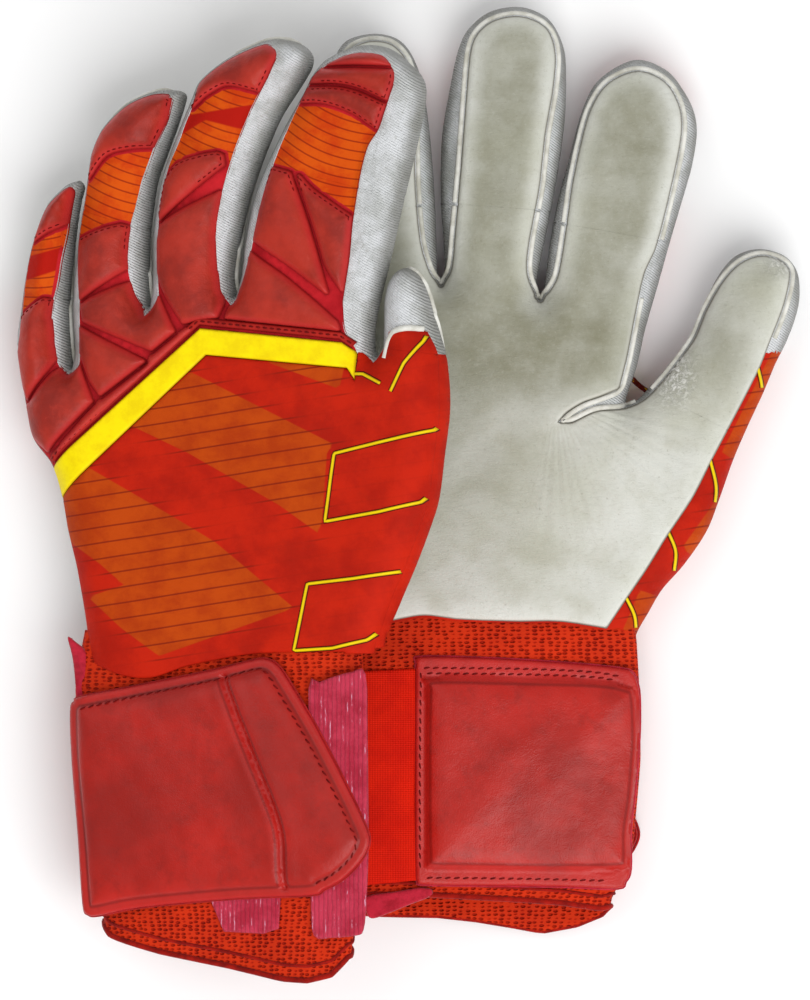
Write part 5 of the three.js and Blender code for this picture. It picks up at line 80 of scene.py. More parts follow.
[37.72,73.01],[37.73,71.13],[37.85,69.3],[37.8,69.06],[37.63,68.87],[23.19,59.72],[22.82,59.58],[22.55,59.56],[22.12,59.71],[21.81,60.02],[21.7,60.31],[20.83,69.64],[20.41,75.97],[20.4,77.86],[20.48,78.09],[20.67,78.26],[28.07,80.9],[31.88,82.03],[35.71,82.94]]]],["middle",[[[80.76,135.82],[81.65,135.59],[82.47,135.23],[83.83,134.33],[84.44,133.59],[84.79,132.64],[84.82,131.66],[84.65,130.89],[84.35,130.03],[83.53,128.14],[81.78,124.68],[79.91,121.44],[79.68,121.16],[79.43,121.09],[73.85,122.56],[72.06,122.97],[70.46,123.19],[69,123.14],[68.24,122.97],[66.7,122.39],[62.89,120.32],[62.19,119.86],[58.08,116.74],[57.71,116.58],[57.46,116.54],[57.12,116.65],[56.96,116.84],[56.92,117.09],[57.76,119.16],[58.03,120.01],[58.57,122.72],[58.82,123.6],[59.14,124.33],[59.64,125.07],[61.33,126.73],[62.75,127.87],[64.33,129],[67.66,131.08],[69.29,131.95],[72.98,133.61],[76.77,135.01],[78.43,135.51],[79.85,135.84]]]],["hand",[[[68.77,103.27],[69.07,100.12],[69.02,99.74],[68.77,99.35],[60.01,92.82],[48.31,83.48],[47.95,83.3],[47.49,83.28],[47.08,83.47],[46.91,83.66],[46.75,84.03],[46.58,85.1],[46.71,86.33],[47.34,90.07],[48.41,95.35],[48.84,96.08],[50.11,97.81],[51.44,99.3],[52.14,99.93],[52.97,100.54],[53.86,101.04],[54.79,101.45],[56.71,102.09],[61.26,103.2],[63.16,103.54],[66.73,103.99]]]],["hand",[[[67.6,92.42],[67.82,92.29],[68.04,91.95],[66.57,85.09],[66.04,81.57],[65.72,78],[65.67,72.81],[65.81,68.43],[65.99,68.18],[66.45,63.87],[66.64,62.82],[66.92,61.89],[67.74,60.41],[67.82,58.56],[67.7,57.46],[66.86,54.59],[66.67,54.26],[66.49,54.09],[66.1,53.92],[56.11,52.2],[55.71,52.22],[55.46,52.3],[55.11,52.57],[49.68,60.47],[47.83,63.53],[47.13,64.98],[46.78,65.92],[46.26,67.9],[46.13,70.99],[46.12,77.65],[47.06,82.11],[47.23,82.48],[47.4,82.67],[47.63,82.77],[48.08,82.83],[48.49,83.02],[49.67,83.95],[54.16,86.44],[57.52,88.17],[66.76,92.42],[67.15,92.51]]]],["index",[[[113.82,132.87],[115.62,132.56],[116.37,132.36],[117.21,132.01],[118.01,131.49],[118.74,130.86],[119.96,129.45],
[120.2,128.99],[120.15,128.75],[119.98,128.57],[119.74,128.49],[108.92,128.93],[99.81,128.77],[99.55,128.83],[99.36,129],[99.29,129.23],[99.35,129.47],[99.52,129.65],[103.02,131.3],[104.9,132.02],[106.76,132.58],[107.65,132.77],[109.67,132.99],[111.78,133.02]]]],["index",[[[98.44,128.79],[99.04,128.4],[99.48,128.3],[106.15,128.45],[109.76,128.44],[119.86,128.02],[120.55,128.11],[120.71,128.06],[120.98,127.8],[121.31,127.02],[121.55,126.17],[121.69,125.25],[121.7,124.32],[121.61,123.61],[121.24,122.05],[120.09,118.59],[119.91,118.27],[119.68,118.16],[119.29,118.18],[113.4,120.93],[111.86,121.57],[110.27,122.12],[108.55,122.6],[106.8,122.99],[105.04,123.27],[103.36,123.43],[101.64,123.5],[94.02,123.5],[93.77,123.56],[93.58,123.74],[93.52,123.97],[94.07,125.19],[94.52,125.81],[96.47,127.65],[97.94,128.74],[98.18,128.83]]]],["index",[[[101.63,123.03],[103.33,122.96],[104.97,122.8],[106.7,122.52],[108.42,122.14],[110.11,121.67],[111.67,121.13],[113.2,120.5],[119.42,117.61],[119.57,117.41],[119.6,117.17],[117.7,111.44],[117.05,109.9],[116.89,109.71],[116.66,109.62],[116.25,109.71],[110.86,113.24],[109.31,114.11],[107.69,114.89],[104.17,116.28],[102.36,116.85],[100.57,117.32],[98.84,117.64],[97.11,117.8],[91.08,117.89],[90.83,117.96],[90.65,118.14],[90.59,118.38],[90.64,118.57],[92.96,122.87],[93.14,123.05],[93.38,123.12],[93.94,123.02]]]],["hand",[[[89.95,97.74],[94.53,85.35],[95.72,81.86],[97.79,75.17],[101.65,61.98],[101.67,61.6],[101.61,61.36],[101.33,61.02],[100.91,60.86],[100.47,60.91],[100.2,61.04],[90.4,68.25],[87.43,70.25],[76.95,76.97],[76.69,77.22],[76.64,77.46],[78.81,86.54],[80.67,93.3],[82.42,98.87],[82.55,99.07],[83.14,99.43]]]],["hand",[[[92.73,96.93],[93.06,96.7],[95.63,93.87],[96.28,93.24],[97.52,92.25],[100.22,90.36],[108.64,84.8],[109.25,84.31],[109.29,84.07],[109.03,82.34],[108.19,73.53],[107.73,69.99],[106.36,61.82],[106.25,61.6],[106.05,61.45],[105.75,61.41],[105.5,61.47],[105.13,61.69],[101.99,66.27],[100.52,68.61],[99.91,69.74],[97.5,77.88],[95.31,
84.62],[92.02,93.6],[91.48,95.94],[91.47,96.31],[91.66,96.71],[91.85,96.87],[92.28,97.01]]]],["hand",[[[83.76,69.73],[86.88,67.65],[89.85,65.47],[96.25,60.31],[100.93,56.34],[104.2,53.42],[104.41,53.15],[104.93,51.97],[105.12,50.89],[105.09,50.51],[105,50.28],[104.68,49.98],[104.17,49.84],[69.08,53.59],[68.7,53.71],[68.49,53.86],[68.26,54.23],[68.22,54.64],[68.84,58.04],[68.97,58.33],[69.19,58.47],[69.45,58.48],[69.75,58.34],[71,60.36],[72.91,65.29],[74.81,70.75],[75.01,72.32],[75.11,72.55],[75.41,72.73],[75.93,74.27],[76.15,74.39],[76.41,74.39]]]],["hand",[[[22.37,41.42],[22.53,41.23],[27.57,29.98],[27.64,29.61],[27.61,29.36],[27.42,28.99],[12.19,14.4],[11.85,14.2],[11.59,14.13],[11.14,14.18],[10.85,14.33],[6.34,17.83],[6.09,18.2],[5.71,19.06],[5.16,20.73],[4.74,22.5],[3.68,28.06],[3.7,28.31],[4.24,29.03],[4.45,29.19],[5.39,29.34],[5.89,29.7],[9.93,34.35],[11.05,35.74],[13.1,38.49],[15.02,39.94],[15.27,40.04],[15.53,40.01],[15.74,39.86],[17.54,37.71],[21.45,39.99],[21.66,41.31],[21.86,41.47],[22.12,41.51]]]],["hand",[[[22.82,52.26],[43.59,42.27],[43.9,42.03],[44.11,41.64],[44.12,41.39],[43.97,40.99],[43.74,40.75],[30.22,31.02],[29.85,30.86],[29.59,30.83],[29.15,30.95],[28.82,31.22],[25.71,35.36],[22.08,43.43],[21.73,43.74],[21.66,43.98],[21.69,51.46],[21.82,51.82],[21.98,52.02],[22.38,52.24]]]],["hand",[[[38.15,65.53],[38.38,65.4],[38.5,65.18],[39.12,62.68],[39.64,61.26],[41.66,57.06],[42.38,55.33],[45.47,58.77],[46.09,59.67],[46.59,60.71],[46.8,61.52],[46.97,61.71],[47.22,61.79],[47.47,61.75],[47.68,61.59],[53.5,50.82],[53.6,50.45],[53.59,50.2],[53.41,49.83],[46.4,44.41],[46.03,44.24],[45.78,44.2],[45.37,44.26],[33.85,48.76],[23.58,53],[23.25,53.23],[23.01,53.61],[22.04,58.39],[22.13,58.86],[22.33,59.02],[22.89,59.09],[23.32,59.24],[25.58,60.65],[33.56,64.1],[36.08,65.02],[37.57,65.46]]]],["hand",[[[59.63,52.25],[59.84,52.11],[59.95,51.89],[59.93,51.65],[58.86,49.79],[16.2,13.3],[14.78,12.7],[14.39,12.62],[14.12,12.65],[13.72,12.87],[13.59,13.02],[13.45,13.43],
[13.48,13.68],[13.67,14.05],[23.74,24.79],[27.88,28.77],[28.33,29.61],[29.03,30.24],[29.26,30.36],[29.96,30.38],[30.38,30.55],[44.17,40.47],[44.53,40.95],[44.64,41.38],[44.46,42.33],[45.24,43.3],[45.69,43.69],[46.09,43.75],[46.65,43.99],[53.84,49.56],[54.22,50.19],[56.66,51.77],[59.36,52.27]]]]],"BACK":[[[81.61,135.61],[82.5,135.21],[83.88,134.29],[84.49,133.52],[84.81,132.57],[84.82,131.61],[84.65,130.87],[83.96,129.09],[82.22,125.49],[79.91,121.44],[77.37,116.76],[75.11,111.85],[73.55,108.22],[72.2,104.81],[69.84,98.04],[68.84,94.74],[67.96,91.42],[67.12,87.84],[66.41,84.21],[65.94,80.68],[65.68,77.1],[65.68,71.89],[65.79,68.42],[65.96,68.46],[66.45,63.87],[66.64,62.83],[66.91,61.91],[67.44,60.92],[69.74,58.32],[70.99,60.34],[72.91,65.28],[74.82,70.77],[75.09,72.86],[75.42,72.71],[76.14,75.37],[78.81,86.54],[79.71,90],[81.69,96.58],[83.9,103.2],[85.21,106.44],[89.47,116.2],[90.28,117.87],[92.97,122.88],[94.05,125.16],[94.54,125.83],[95.74,127.02],[97.26,128.27],[98.08,128.84],[99.62,129.7],[103.02,131.3],[104.91,132.03],[106.78,132.58],[107.67,132.77],[109.68,133],[110.73,133.03],[112.83,132.97],[114.77,132.73],[116.4,132.35],[117.25,131.99],[118.04,131.47],[118.76,130.85],[119.4,130.16],[120.45,128.75],[120.93,127.93],[121.3,127.05],[121.56,126.14],[121.7,125.21],[121.7,124.29],[121.61,123.6],[121.24,122.04],[117.7,111.44],[117.03,109.84],[116.57,109.03],[114.36,105.96],[113.91,105.14],[113.27,103.54],[112.73,101.83],[111.83,98.4],[111.11,95.02],[110.5,91.64],[109.15,83.19],[108.76,79.94],[108.19,73.53],[107.73,69.99],[105.82,58.88],[106,53.49],[106.22,51.35],[106.42,50.39],[106.9,49.16],[107.6,47.97],[109.07,45.74],[109.54,44.74],[109.65,43.94],[109.89,43.97],[110.79,43.85],[111.48,43.31],[113.91,40.87],[117.02,45.2],[117.65,46.18],[118.64,48.23],[119.52,50.32],[130.72,50.26],[132.77,45.97],[133.19,44.87],[133.51,43.74],[133.86,41.72],[134.11,39.44],[134.5,32.47],[134.57,27.57],[134.45,25.12],[134.24,22.96],[132.89,13.3],[131.86,4.73],[131.49,2.29],[131.03,0],
[130.42,-2.26],[129.69,-4.53],[126.9,-12.02],[125.21,-16.32],[123.44,-20.55],[119.86,-28.53],[118,-33.01],[116.21,-37.65],[114.85,-41.46],[114.33,-43.52],[113.91,-45.61],[105.8,-45.65],[105.82,-45.12],[89.09,-45.3],[84.16,-45.45],[79.61,-45.7],[77.26,-45.9],[71.91,-46.58],[63.94,-48.01],[59.19,-49],[55.83,-49.79],[54.53,-50.21],[48.13,-52.53],[46.93,-52.86],[45.76,-53.1],[44.46,-53.24],[43.14,-53.3],[40.5,-53.17],[39.18,-53.01],[36.58,-52.55],[35.5,-52.29],[33.27,-51.59],[26.43,-49.02],[23.51,-43.89],[23.22,-40.91],[22.23,-33.57],[21.02,-26.43],[19.95,-20.83],[19.11,-17.28],[17.51,-11.24],[16.77,-7.98],[15.59,-0.9],[15.23,0.82],[14.34,4.19],[13.23,7.57],[12.56,9.21],[11.77,10.8],[11.26,11.65],[10.06,13.21],[7.53,16.06],[6.48,17.5],[6.06,18.25],[5.41,19.87],[4.74,22.49],[1.9,37.48],[0.93,44.05],[0.96,44.95],[1.55,45.88],[1.63,46.66],[2.2,49.07],[2.55,53.93],[2.69,53.94],[2.82,59.01],[3.07,62.63],[3.43,66.24],[3.68,68.02],[4.36,71.54],[5.25,75.01],[6.94,80.06],[8.29,83.58],[9.04,85.25],[10.21,87.42],[10.77,88.22],[12.14,89.74],[12.9,90.46],[15.62,92.76],[16.52,93.33],[18.48,94.23],[19.07,93.51],[19.44,92.72],[19.39,91.92],[18.47,87.63],[17.83,83.89],[17.28,80.07],[15.62,71.22],[14.49,63.68],[13.88,60.82],[13.36,57.38],[13.1,54.46],[13.39,54.47],[14.58,43.51],[14.97,42.21],[14.98,41.3],[15.41,40.31],[16.07,39.42],[17.53,37.7],[21.45,39.95],[21.66,42.04],[21.7,58.1],[21.56,61.31],[20.83,69.64],[20.41,75.97],[20.39,77.76],[20.47,78.99],[21.15,83.85],[21.71,86.83],[23.89,97.17],[24.53,101.89],[24.9,103.74],[25.82,106.36],[26.62,108.04],[27.56,109.65],[28.65,111.16],[29.74,112.43],[32.4,115.09],[33.83,116.35],[35.26,117.46],[36.73,118.43],[39.32,119.71],[41.1,120.39],[43.55,121.13],[44.52,121.33],[46.61,121.52],[48.51,121.47],[49.24,121.36],[49.98,120.94],[51.14,119.55],[50.04,115.44],[49.53,113.81],[48.93,112.26],[45.45,105],[42.22,96.6],[41.65,94.9],[41.22,93.2],[40.07,87.75],[39.01,83.95],[38.66,82.2],[38.12,78.57],[37.92,76.71],[37.72,73.01],[37.73,71.14],[37.85,
69.26],[38.09,67.38],[38.44,65.49],[39.12,62.68],[39.64,61.26],[41.66,57.07],[42.38,55.31],[45.46,58.77],[46.08,59.66],[46.77,61.21],[46.28,67.41],[46.13,70.99],[46.08,74.57],[46.13,78.26],[46.28,81.88],[46.59,85.4],[46.85,87.27],[48.23,94.53],[49.1,98.3],[49.56,99.89],[50.26,101.62],[52.01,104.97],[52.73,106.63],[54.93,112.65],[57.77,119.17],[58.03,120.02],[58.57,122.71],[58.81,123.57],[59.16,124.37],[59.66,125.1],[61.34,126.73],[62.76,127.87],[64.33,129.01],[67.66,131.08],[69.29,131.95],[72.99,133.61],[76.77,135.01],[78.43,135.52],[79.8,135.84],[80.69,135.84]]],"PALM":[[[82.85,136.79],[84.88,136.55],[87.2,136.04],[87.37,135.65],[87.59,134.61],[87.53,132.85],[87.31,131.72],[86.95,130.54],[86.45,129.24],[85.17,126.46],[83.54,123.2],[80.26,117.33],[78.85,114.62],[77.67,111.96],[76.56,109.09],[71.78,94.75],[70.66,90.83],[69.78,86.92],[69.47,85.08],[69.07,81.35],[68.94,79.3],[68.91,77.26],[69.01,75.46],[68.43,72.37],[67.91,68.62],[67.79,66.95],[67.8,66],[68.04,64.15],[68.84,60.36],[69.02,60.17],[69.27,60.06],[69.54,60.05],[69.79,60.14],[69.99,60.32],[71.26,64.06],[71.79,65.89],[72.15,67.74],[74.82,64.35],[76.92,67.44],[77.37,68.3],[78.07,70.01],[78.67,71.9],[78.89,72.87],[79.11,74.59],[79.59,81.39],[80,85.71],[80.81,91.11],[81.49,94.59],[82.33,98.04],[83.33,101.36],[85.06,105.93],[86.39,108.97],[87.81,111.89],[89.26,114.62],[91.36,118.17],[92.32,119.58],[94.56,122.39],[96.84,124.78],[98.23,125.97],[99.74,127.04],[101.35,127.97],[103.66,128.99],[105.28,129.59],[106.94,130.05],[108.55,130.25],[109.3,130.23],[110.65,129.98],[111.34,129.76],[112.68,129.16],[113.93,128.37],[115.02,127.43],[115.48,126.91],[116.26,125.74],[116.6,125.07],[117.17,123.62],[117.61,122.08],[117.93,120.52],[118.12,118.98],[118.16,117.42],[118.08,115.83],[117.89,114.22],[117.35,111.22],[116.66,108.4],[115.74,105.15],[114.57,101.64],[111.14,91.85],[110.01,88.14],[109.08,84.62],[107.93,79.44],[106.44,74.47],[106.22,72.99],[106.17,71.59],[106.27,68.47],[106.93,59.46],[107.78,50.88],[107.99,47.87],
[108.21,42.51],[103.43,40.36],[100.49,39.15],[99.07,38.41],[96.97,36.84],[95.19,35.15],[94.69,34.49],[93.46,32.29],[96.28,32.33],[97.14,32.54],[97.71,32.82],[101.02,35.07],[102.47,35.9],[103.2,36.19],[104.68,36.52],[105.46,36.61],[109.33,36.71],[110.6,36.84],[111.94,37.15],[113.14,37.56],[114.18,38.13],[114.63,38.49],[115.31,39.24],[115.94,40.16],[117.05,42.18],[117.75,43.62],[118.53,45.66],[119.48,48.99],[119.81,50.9],[119.83,51.94],[119.5,56.26],[119.44,58.57],[119.56,60.92],[119.91,63.18],[120.66,65.5],[121.19,66.62],[121.8,67.56],[122.48,68.27],[123.38,68.07],[124.14,67.72],[124.9,67.26],[125.58,66.72],[126.15,66.14],[126.57,65.57],[127.39,64.07],[128.48,61.36],[129.41,58.7],[130.7,53.84],[130.97,46.7],[131.2,43.97],[131.76,39.05],[131.95,36.48],[132.01,34.11],[131.96,31.48],[131.79,28.72],[131.16,23.3],[130.69,20.47],[129.52,14.74],[127.96,7.91],[127.14,4.73],[126.19,1.69],[124.47,-2.74],[122.03,-8.47],[119.33,-15.34],[118.03,-18.43],[116.67,-21.34],[113.64,-27.29],[110.13,-33.86],[108.44,-36.85],[103,-35.28],[99.8,-34.45],[96.54,-33.82],[94.85,-33.61],[91.31,-33.42],[83.06,-33.48],[70.32,-33.3],[63.72,-33.13],[57.68,-32.46],[55.65,-32.3],[53.6,-32.28],[50.67,-32.59],[48.66,-32.96],[39.38,-35.17],[37.56,-35.55],[33.6,-36.2],[26.69,-37.14],[23.3,-30.66],[22.6,-28.96],[22.09,-27.35],[20.17,-20.2],[18.27,-12.07],[15.87,-0.63],[14.01,7.55],[7.25,33.79],[5.88,39.91],[4.89,45.73],[4.53,48.63],[4.27,51.53],[4.11,54.41],[4.05,57.26],[4.15,62.81],[4.54,72.52],[5.28,75.63],[6.95,80.99],[8.3,84.53],[9.03,86.17],[9.79,87.64],[10.69,89.03],[11.41,89.92],[13.89,89.26],[14.31,86.69],[14.39,85.31],[14.09,75.16],[14.19,68.82],[14.35,65.56],[14.62,62.37],[15.24,58.05],[15.24,55.05],[15.39,51.38],[15.88,45.41],[16.11,43.67],[16.93,39.15],[17.12,38.96],[17.37,38.85],[17.64,38.84],[17.9,38.93],[18.1,39.1],[18.21,39.33],[18.88,42.79],[19.13,44.57],[19.15,47.05],[21.38,45.08],[23.31,47.29],[23.64,47.93],[23.79,48.62],[23.81,50.35],[22.99,62.76],[22.79,68.96],[22.82,72.58],[22.99,
76.39],[23.27,80.2],[23.65,83.78],[24.49,89.6],[25.46,95.22],[26.46,100.31],[28.76,109.64],[29.53,112.29],[30.16,113.88],[32.46,116.06],[33.94,117.28],[35.4,118.31],[36.96,119.22],[38.65,120.02],[40.39,120.71],[42.11,121.26],[43.71,121.69],[45.53,121.96],[47.4,122.04],[47.82,121.56],[48.18,120.77],[48.26,120.32],[48.24,119.43],[48.06,118.35],[47.37,115.85],[46.52,113.3],[44.03,106.91],[41.91,100.9],[40.89,97.65],[39.98,94.3],[39.28,90.95],[38.78,87.56],[38.44,83.87],[38.33,80.12],[38.47,76.63],[38.9,73.43],[39.38,71.53],[40.01,69.68],[40.53,68.44],[40.64,64.42],[40.83,62.49],[41.69,57.56],[41.87,57.37],[42.11,57.25],[42.38,57.24],[42.64,57.32],[42.84,57.49],[42.96,57.73],[43.74,62.49],[43.88,63.8],[46.01,62.22],[47.08,65.12],[47.46,66.72],[47.54,67.59],[47.48,73.2],[47.55,76.9],[47.66,78.88],[48.02,82.34],[48.58,85.9],[49.41,89.88],[49.9,91.93],[51.04,95.96],[52.3,99.81],[53.6,103.39],[56.43,110.44],[57.88,113.7],[60.52,119.11],[64.3,126.28],[65.66,128.53],[66.34,129.49],[67.37,130.71],[68.61,131.91],[69.55,132.7],[72.94,134.33],[76.61,135.79],[78.35,136.32],[79.93,136.68],[80.86,136.79]]],"FLOOR":[[[81.61,135.61],[82.5,135.21],[83.88,134.29],[84.49,133.52],[84.81,132.57],[84.82,131.61],[84.65,130.87],[83.96,129.09],[82.22,125.49],[79.91,121.44],[77.37,116.76],[75.11,111.85],[73.55,108.22],[72.2,104.81],[69.84,98.04],[68.84,94.74],[67.96,91.42],[67.12,87.84],[66.41,84.21],[65.94,80.68],[65.68,77.1],[65.68,71.89],[65.79,68.42],[65.96,68.46],[66.45,63.87],[66.64,62.83],[66.91,61.91],[67.44,60.92],[69.74,58.32],[70.99,60.34],[72.91,65.28],[74.82,70.77],[75.09,72.86],[75.42,72.71],[76.14,75.37],[78.81,86.54],[79.71,90],[81.69,96.58],[83.9,103.2],[85.21,106.44],[89.47,116.2],[90.28,117.87],[92.97,122.88],[94.05,125.16],[94.54,125.83],[95.74,127.02],[97.26,128.27],[98.08,128.84],[99.62,129.7],[103.02,131.3],[104.91,132.03],[106.78,132.58],[107.67,132.77],[109.68,133],[110.73,133.03],[112.83,132.97],[114.77,132.73],[116.4,132.35],[117.25,131.99],[118.04,131.47],[118.76,
130.85],[119.4,130.16],[120.45,128.75],[120.93,127.93],[121.3,127.05],[121.56,126.14],[121.7,125.21],[121.7,124.29],[121.61,123.6],[121.24,122.04],[117.7,111.44],[117.03,109.84],[116.57,109.03],[114.36,105.96],[113.91,105.14],[113.27,103.54],[112.73,101.83],[111.83,98.4],[111.11,95.02],[110.5,91.64],[109.15,83.19],[108.76,79.94],[108.19,73.53],[107.73,69.99],[105.82,58.88],[106,53.49],[106.22,51.35],[106.42,50.39],[106.9,49.16],[107.6,47.97],[109.07,45.74],[109.54,44.74],[109.65,43.94],[109.54,43.85],[105.48,46.84],[61.24,51.22],[12.44,9.47],[11.77,10.8],[11.26,11.65],[10.06,13.21],[7.53,16.06],[6.48,17.5],[6.06,18.25],[5.41,19.87],[4.74,22.49],[1.9,37.48],[0.93,44.05],[0.96,44.95],[1.55,45.88],[1.63,46.66],[2.2,49.07],[2.55,53.93],[2.69,53.94],[2.82,59.01],[3.07,62.63],[3.43,66.24],[3.68,68.02],[4.36,71.54],[5.25,75.01],[6.94,80.06],[8.29,83.58],[9.04,85.25],[10.21,87.42],[10.77,88.22],[12.14,89.74],[12.9,90.46],[15.62,92.76],[16.52,93.33],[18.48,94.23],[19.07,93.51],[19.44,92.72],[19.39,91.92],[18.47,87.63],[17.83,83.89],[17.28,80.07],[15.62,71.22],[14.49,63.68],[13.88,60.82],[13.36,57.38],[13.1,54.46],[13.39,54.47],[14.58,43.51],[14.97,42.21],[14.98,41.3],[15.41,40.31],[16.07,39.42],[17.53,37.7],[21.45,39.95],[21.66,42.04],[21.7,58.1],[21.56,61.31],[20.83,69.64],[20.41,75.97],[20.39,77.76],[20.47,78.99],[21.15,83.85],[21.71,86.83],[23.89,97.17],[24.53,101.89],[24.9,103.74],[25.82,106.36],[26.62,108.04],[27.56,109.65],[28.65,111.16],[29.74,112.43],[32.4,115.09],[33.83,116.35],[35.26,117.46],[36.73,118.43],[39.32,119.71],[41.1,120.39],[43.55,121.13],[44.52,121.33],[46.61,121.52],[48.51,121.47],[49.24,121.36],[49.98,120.94],[51.14,119.55],[50.04,115.44],[49.53,113.81],[48.93,112.26],[45.45,105],[42.22,96.6],[41.65,94.9],[41.22,93.2],[40.07,87.75],[39.01,83.95],[38.66,82.2],[38.12,78.57],[37.92,76.71],[37.72,73.01],[37.73,71.14],[37.85,69.26],[38.09,67.38],[38.44,65.49],[39.12,62.68],[39.64,61.26],[41.66,57.07],[42.38,55.31],[45.46,58.77],[46.08,59.66],[46.77,61.21],
[46.28,67.41],[46.13,70.99],[46.08,74.57],[46.13,78.26],[46.28,81.88],[46.59,85.4],[46.85,87.27],[48.23,94.53],[49.1,98.3],[49.56,99.89],[50.26,101.62],[52.01,104.97],[52.73,106.63],[54.93,112.65],[57.77,119.17],[58.03,120.02],[58.57,122.71],[58.81,123.57],[59.16,124.37],[59.66,125.1],[61.34,126.73],[62.76,127.87],[64.33,129.01],[67.66,131.08],[69.29,131.95],[72.99,133.61],[76.77,135.01],[78.43,135.52],[79.8,135.84],[80.69,135.84]]],"BAND":[[[105.48,46.84],[109.54,43.85],[109.54,35.56],[107.05,39.12],[63.13,43.17],[15.33,0.39],[14.81,2.5],[13.82,5.89],[13.23,7.57],[12.44,9.47],[61.24,51.22]]],"PANEL":[[[132.77,45.97],[133.19,44.87],[133.51,43.74],[133.86,41.72],[134.11,39.44],[134.5,32.47],[134.57,27.57],[134.45,25.12],[134.24,22.96],[132.89,13.3],[131.86,4.73],[131.49,2.29],[131.03,0],[130.42,-2.26],[129.69,-4.53],[126.9,-12.02],[125.21,-16.32],[123.44,-20.55],[119.86,-28.53],[118,-33.01],[116.21,-37.65],[114.85,-41.46],[114.33,-43.52],[113.91,-45.61],[105.8,-45.65],[105.82,-45.12],[89.09,-45.3],[84.16,-45.45],[79.61,-45.7],[77.26,-45.9],[71.91,-46.58],[63.94,-48.01],[59.19,-49],[55.83,-49.79],[54.53,-50.21],[48.13,-52.53],[46.93,-52.86],[45.76,-53.1],[44.46,-53.24],[43.14,-53.3],[40.5,-53.17],[39.18,-53.01],[36.58,-52.55],[35.5,-52.29],[33.27,-51.59],[26.43,-49.02],[23.51,-43.89],[23.22,-40.91],[22.23,-33.57],[21.02,-26.43],[19.95,-20.83],[19.11,-17.28],[17.51,-11.24],[16.77,-7.98],[15.33,0.39],[63.13,43.17],[107.05,39.12],[109.54,35.56],[109.54,43.85],[109.66,43.94],[109.89,43.97],[110.79,43.85],[111.48,43.31],[113.91,40.87],[117.02,45.2],[117.65,46.18],[118.64,48.23],[119.52,50.32],[130.72,50.26]]],"hand":{"floor":[[[71.3,102.37],[69.32,96.39],[68.38,93.09],[67.54,89.66],[66.74,86],[66.15,82.46],[65.78,78.89],[65.68,77.1],[65.66,73.7],[65.79,68.42],[65.96,68.46],[66.45,63.87],[66.64,62.83],[66.91,61.91],[67.44,60.92],[69.74,58.32],[70.99,60.34],[72.91,65.28],[74.82,70.77],[75.09,72.86],[75.42,72.71],[76.14,75.37],[78.81,86.54],[79.71,90],[82.64,99.55],[110.67,
92.61],[109.15,83.19],[108.76,79.94],[108.19,73.53],[107.73,69.99],[105.82,58.88],[106,53.49],[106.22,51.35],[106.42,50.39],[106.9,49.16],[107.6,47.97],[109.07,45.74],[109.54,44.74],[109.65,43.94],[109.54,43.85],[105.48,46.84],[61.24,51.22],[12.44,9.47],[11.77,10.8],[11.26,11.65],[10.06,13.21],[7.53,16.06],[6.48,17.5],[6.06,18.25],[5.41,19.87],[4.74,22.49],[1.9,37.48],[0.93,44.05],[0.96,44.95],[1.55,45.88],[1.63,46.66],[2.2,49.07],[2.55,53.93],[2.69,53.94],[2.82,59.01],[3.03,62.06],[13.82,60.48],[13.26,56.51],[13.1,54.46],[13.39,54.47],[14.58,43.51],[14.97,42.21],[14.98,41.3],[15.41,40.31],[16.07,39.42],[17.53,37.7],[21.45,39.95],[21.66,42.04],[21.7,58.1],[21.56,61.31],[20.83,69.64],[20.41,75.97],[20.39,77.76],[20.47,78.99],[21.15,83.85],[21.76,87.07],[38.64,82.1],[38.12,78.57],[37.79,74.89],[37.73,71.14],[37.85,69.26],[38.09,67.38],[38.44,65.49],[39.12,62.68],[39.64,61.26],[41.66,57.07],[42.38,55.31],[45.46,58.77],[46.08,59.66],[46.77,61.21],[46.28,67.41],[46.13,70.99],[46.08,74.57],[46.13,78.26],[46.28,81.88],[46.59,85.4],[46.85,87.27],[48.23,94.53],[49.1,98.3],[49.56,99.89],[50.26,101.62],[52.01,104.97],[52.73,106.63],[53.48,108.66]]],"band":[[[105.48,46.84],[109.54,43.85],[109.54,35.56],[107.05,39.12],[63.13,43.17],[15.33,0.39],[14.81,2.5],[13.82,5.89],[13.23,7.57],[12.44,9.47],[61.24,51.22]]],"panel":[[[133.61,43.25],[133.86,41.72],[134.11,39.44],[134.5,32.47],[134.57,27.57],[134.45,25.12],[134.24,22.96],[132.89,13.3],[131.86,4.73],[131.49,2.29],[131.03,0],[130.42,-2.26],[129.69,-4.53],[126.9,-12.02],[125.21,-16.32],[123.44,-20.55],[119.86,-28.53],[118,-33.01],[116.21,-37.65],[114.85,-41.46],[114.33,-43.52],[113.91,-45.61],[105.8,-45.65],[105.82,-45.12],[89.09,-45.3],[84.16,-45.45],[79.61,-45.7],[77.26,-45.9],[71.91,-46.58],[63.94,-48.01],[59.19,-49],[55.83,-49.79],[54.53,-50.21],[48.13,-52.53],[46.93,-52.86],[45.76,-53.1],[44.46,-53.24],[43.14,-53.3],[40.5,-53.17],[39.18,-53.01],[36.58,-52.55],[35.5,-52.29],[33.27,-51.59],[26.43,-49.02],[23.51,-43.89],[23.22,
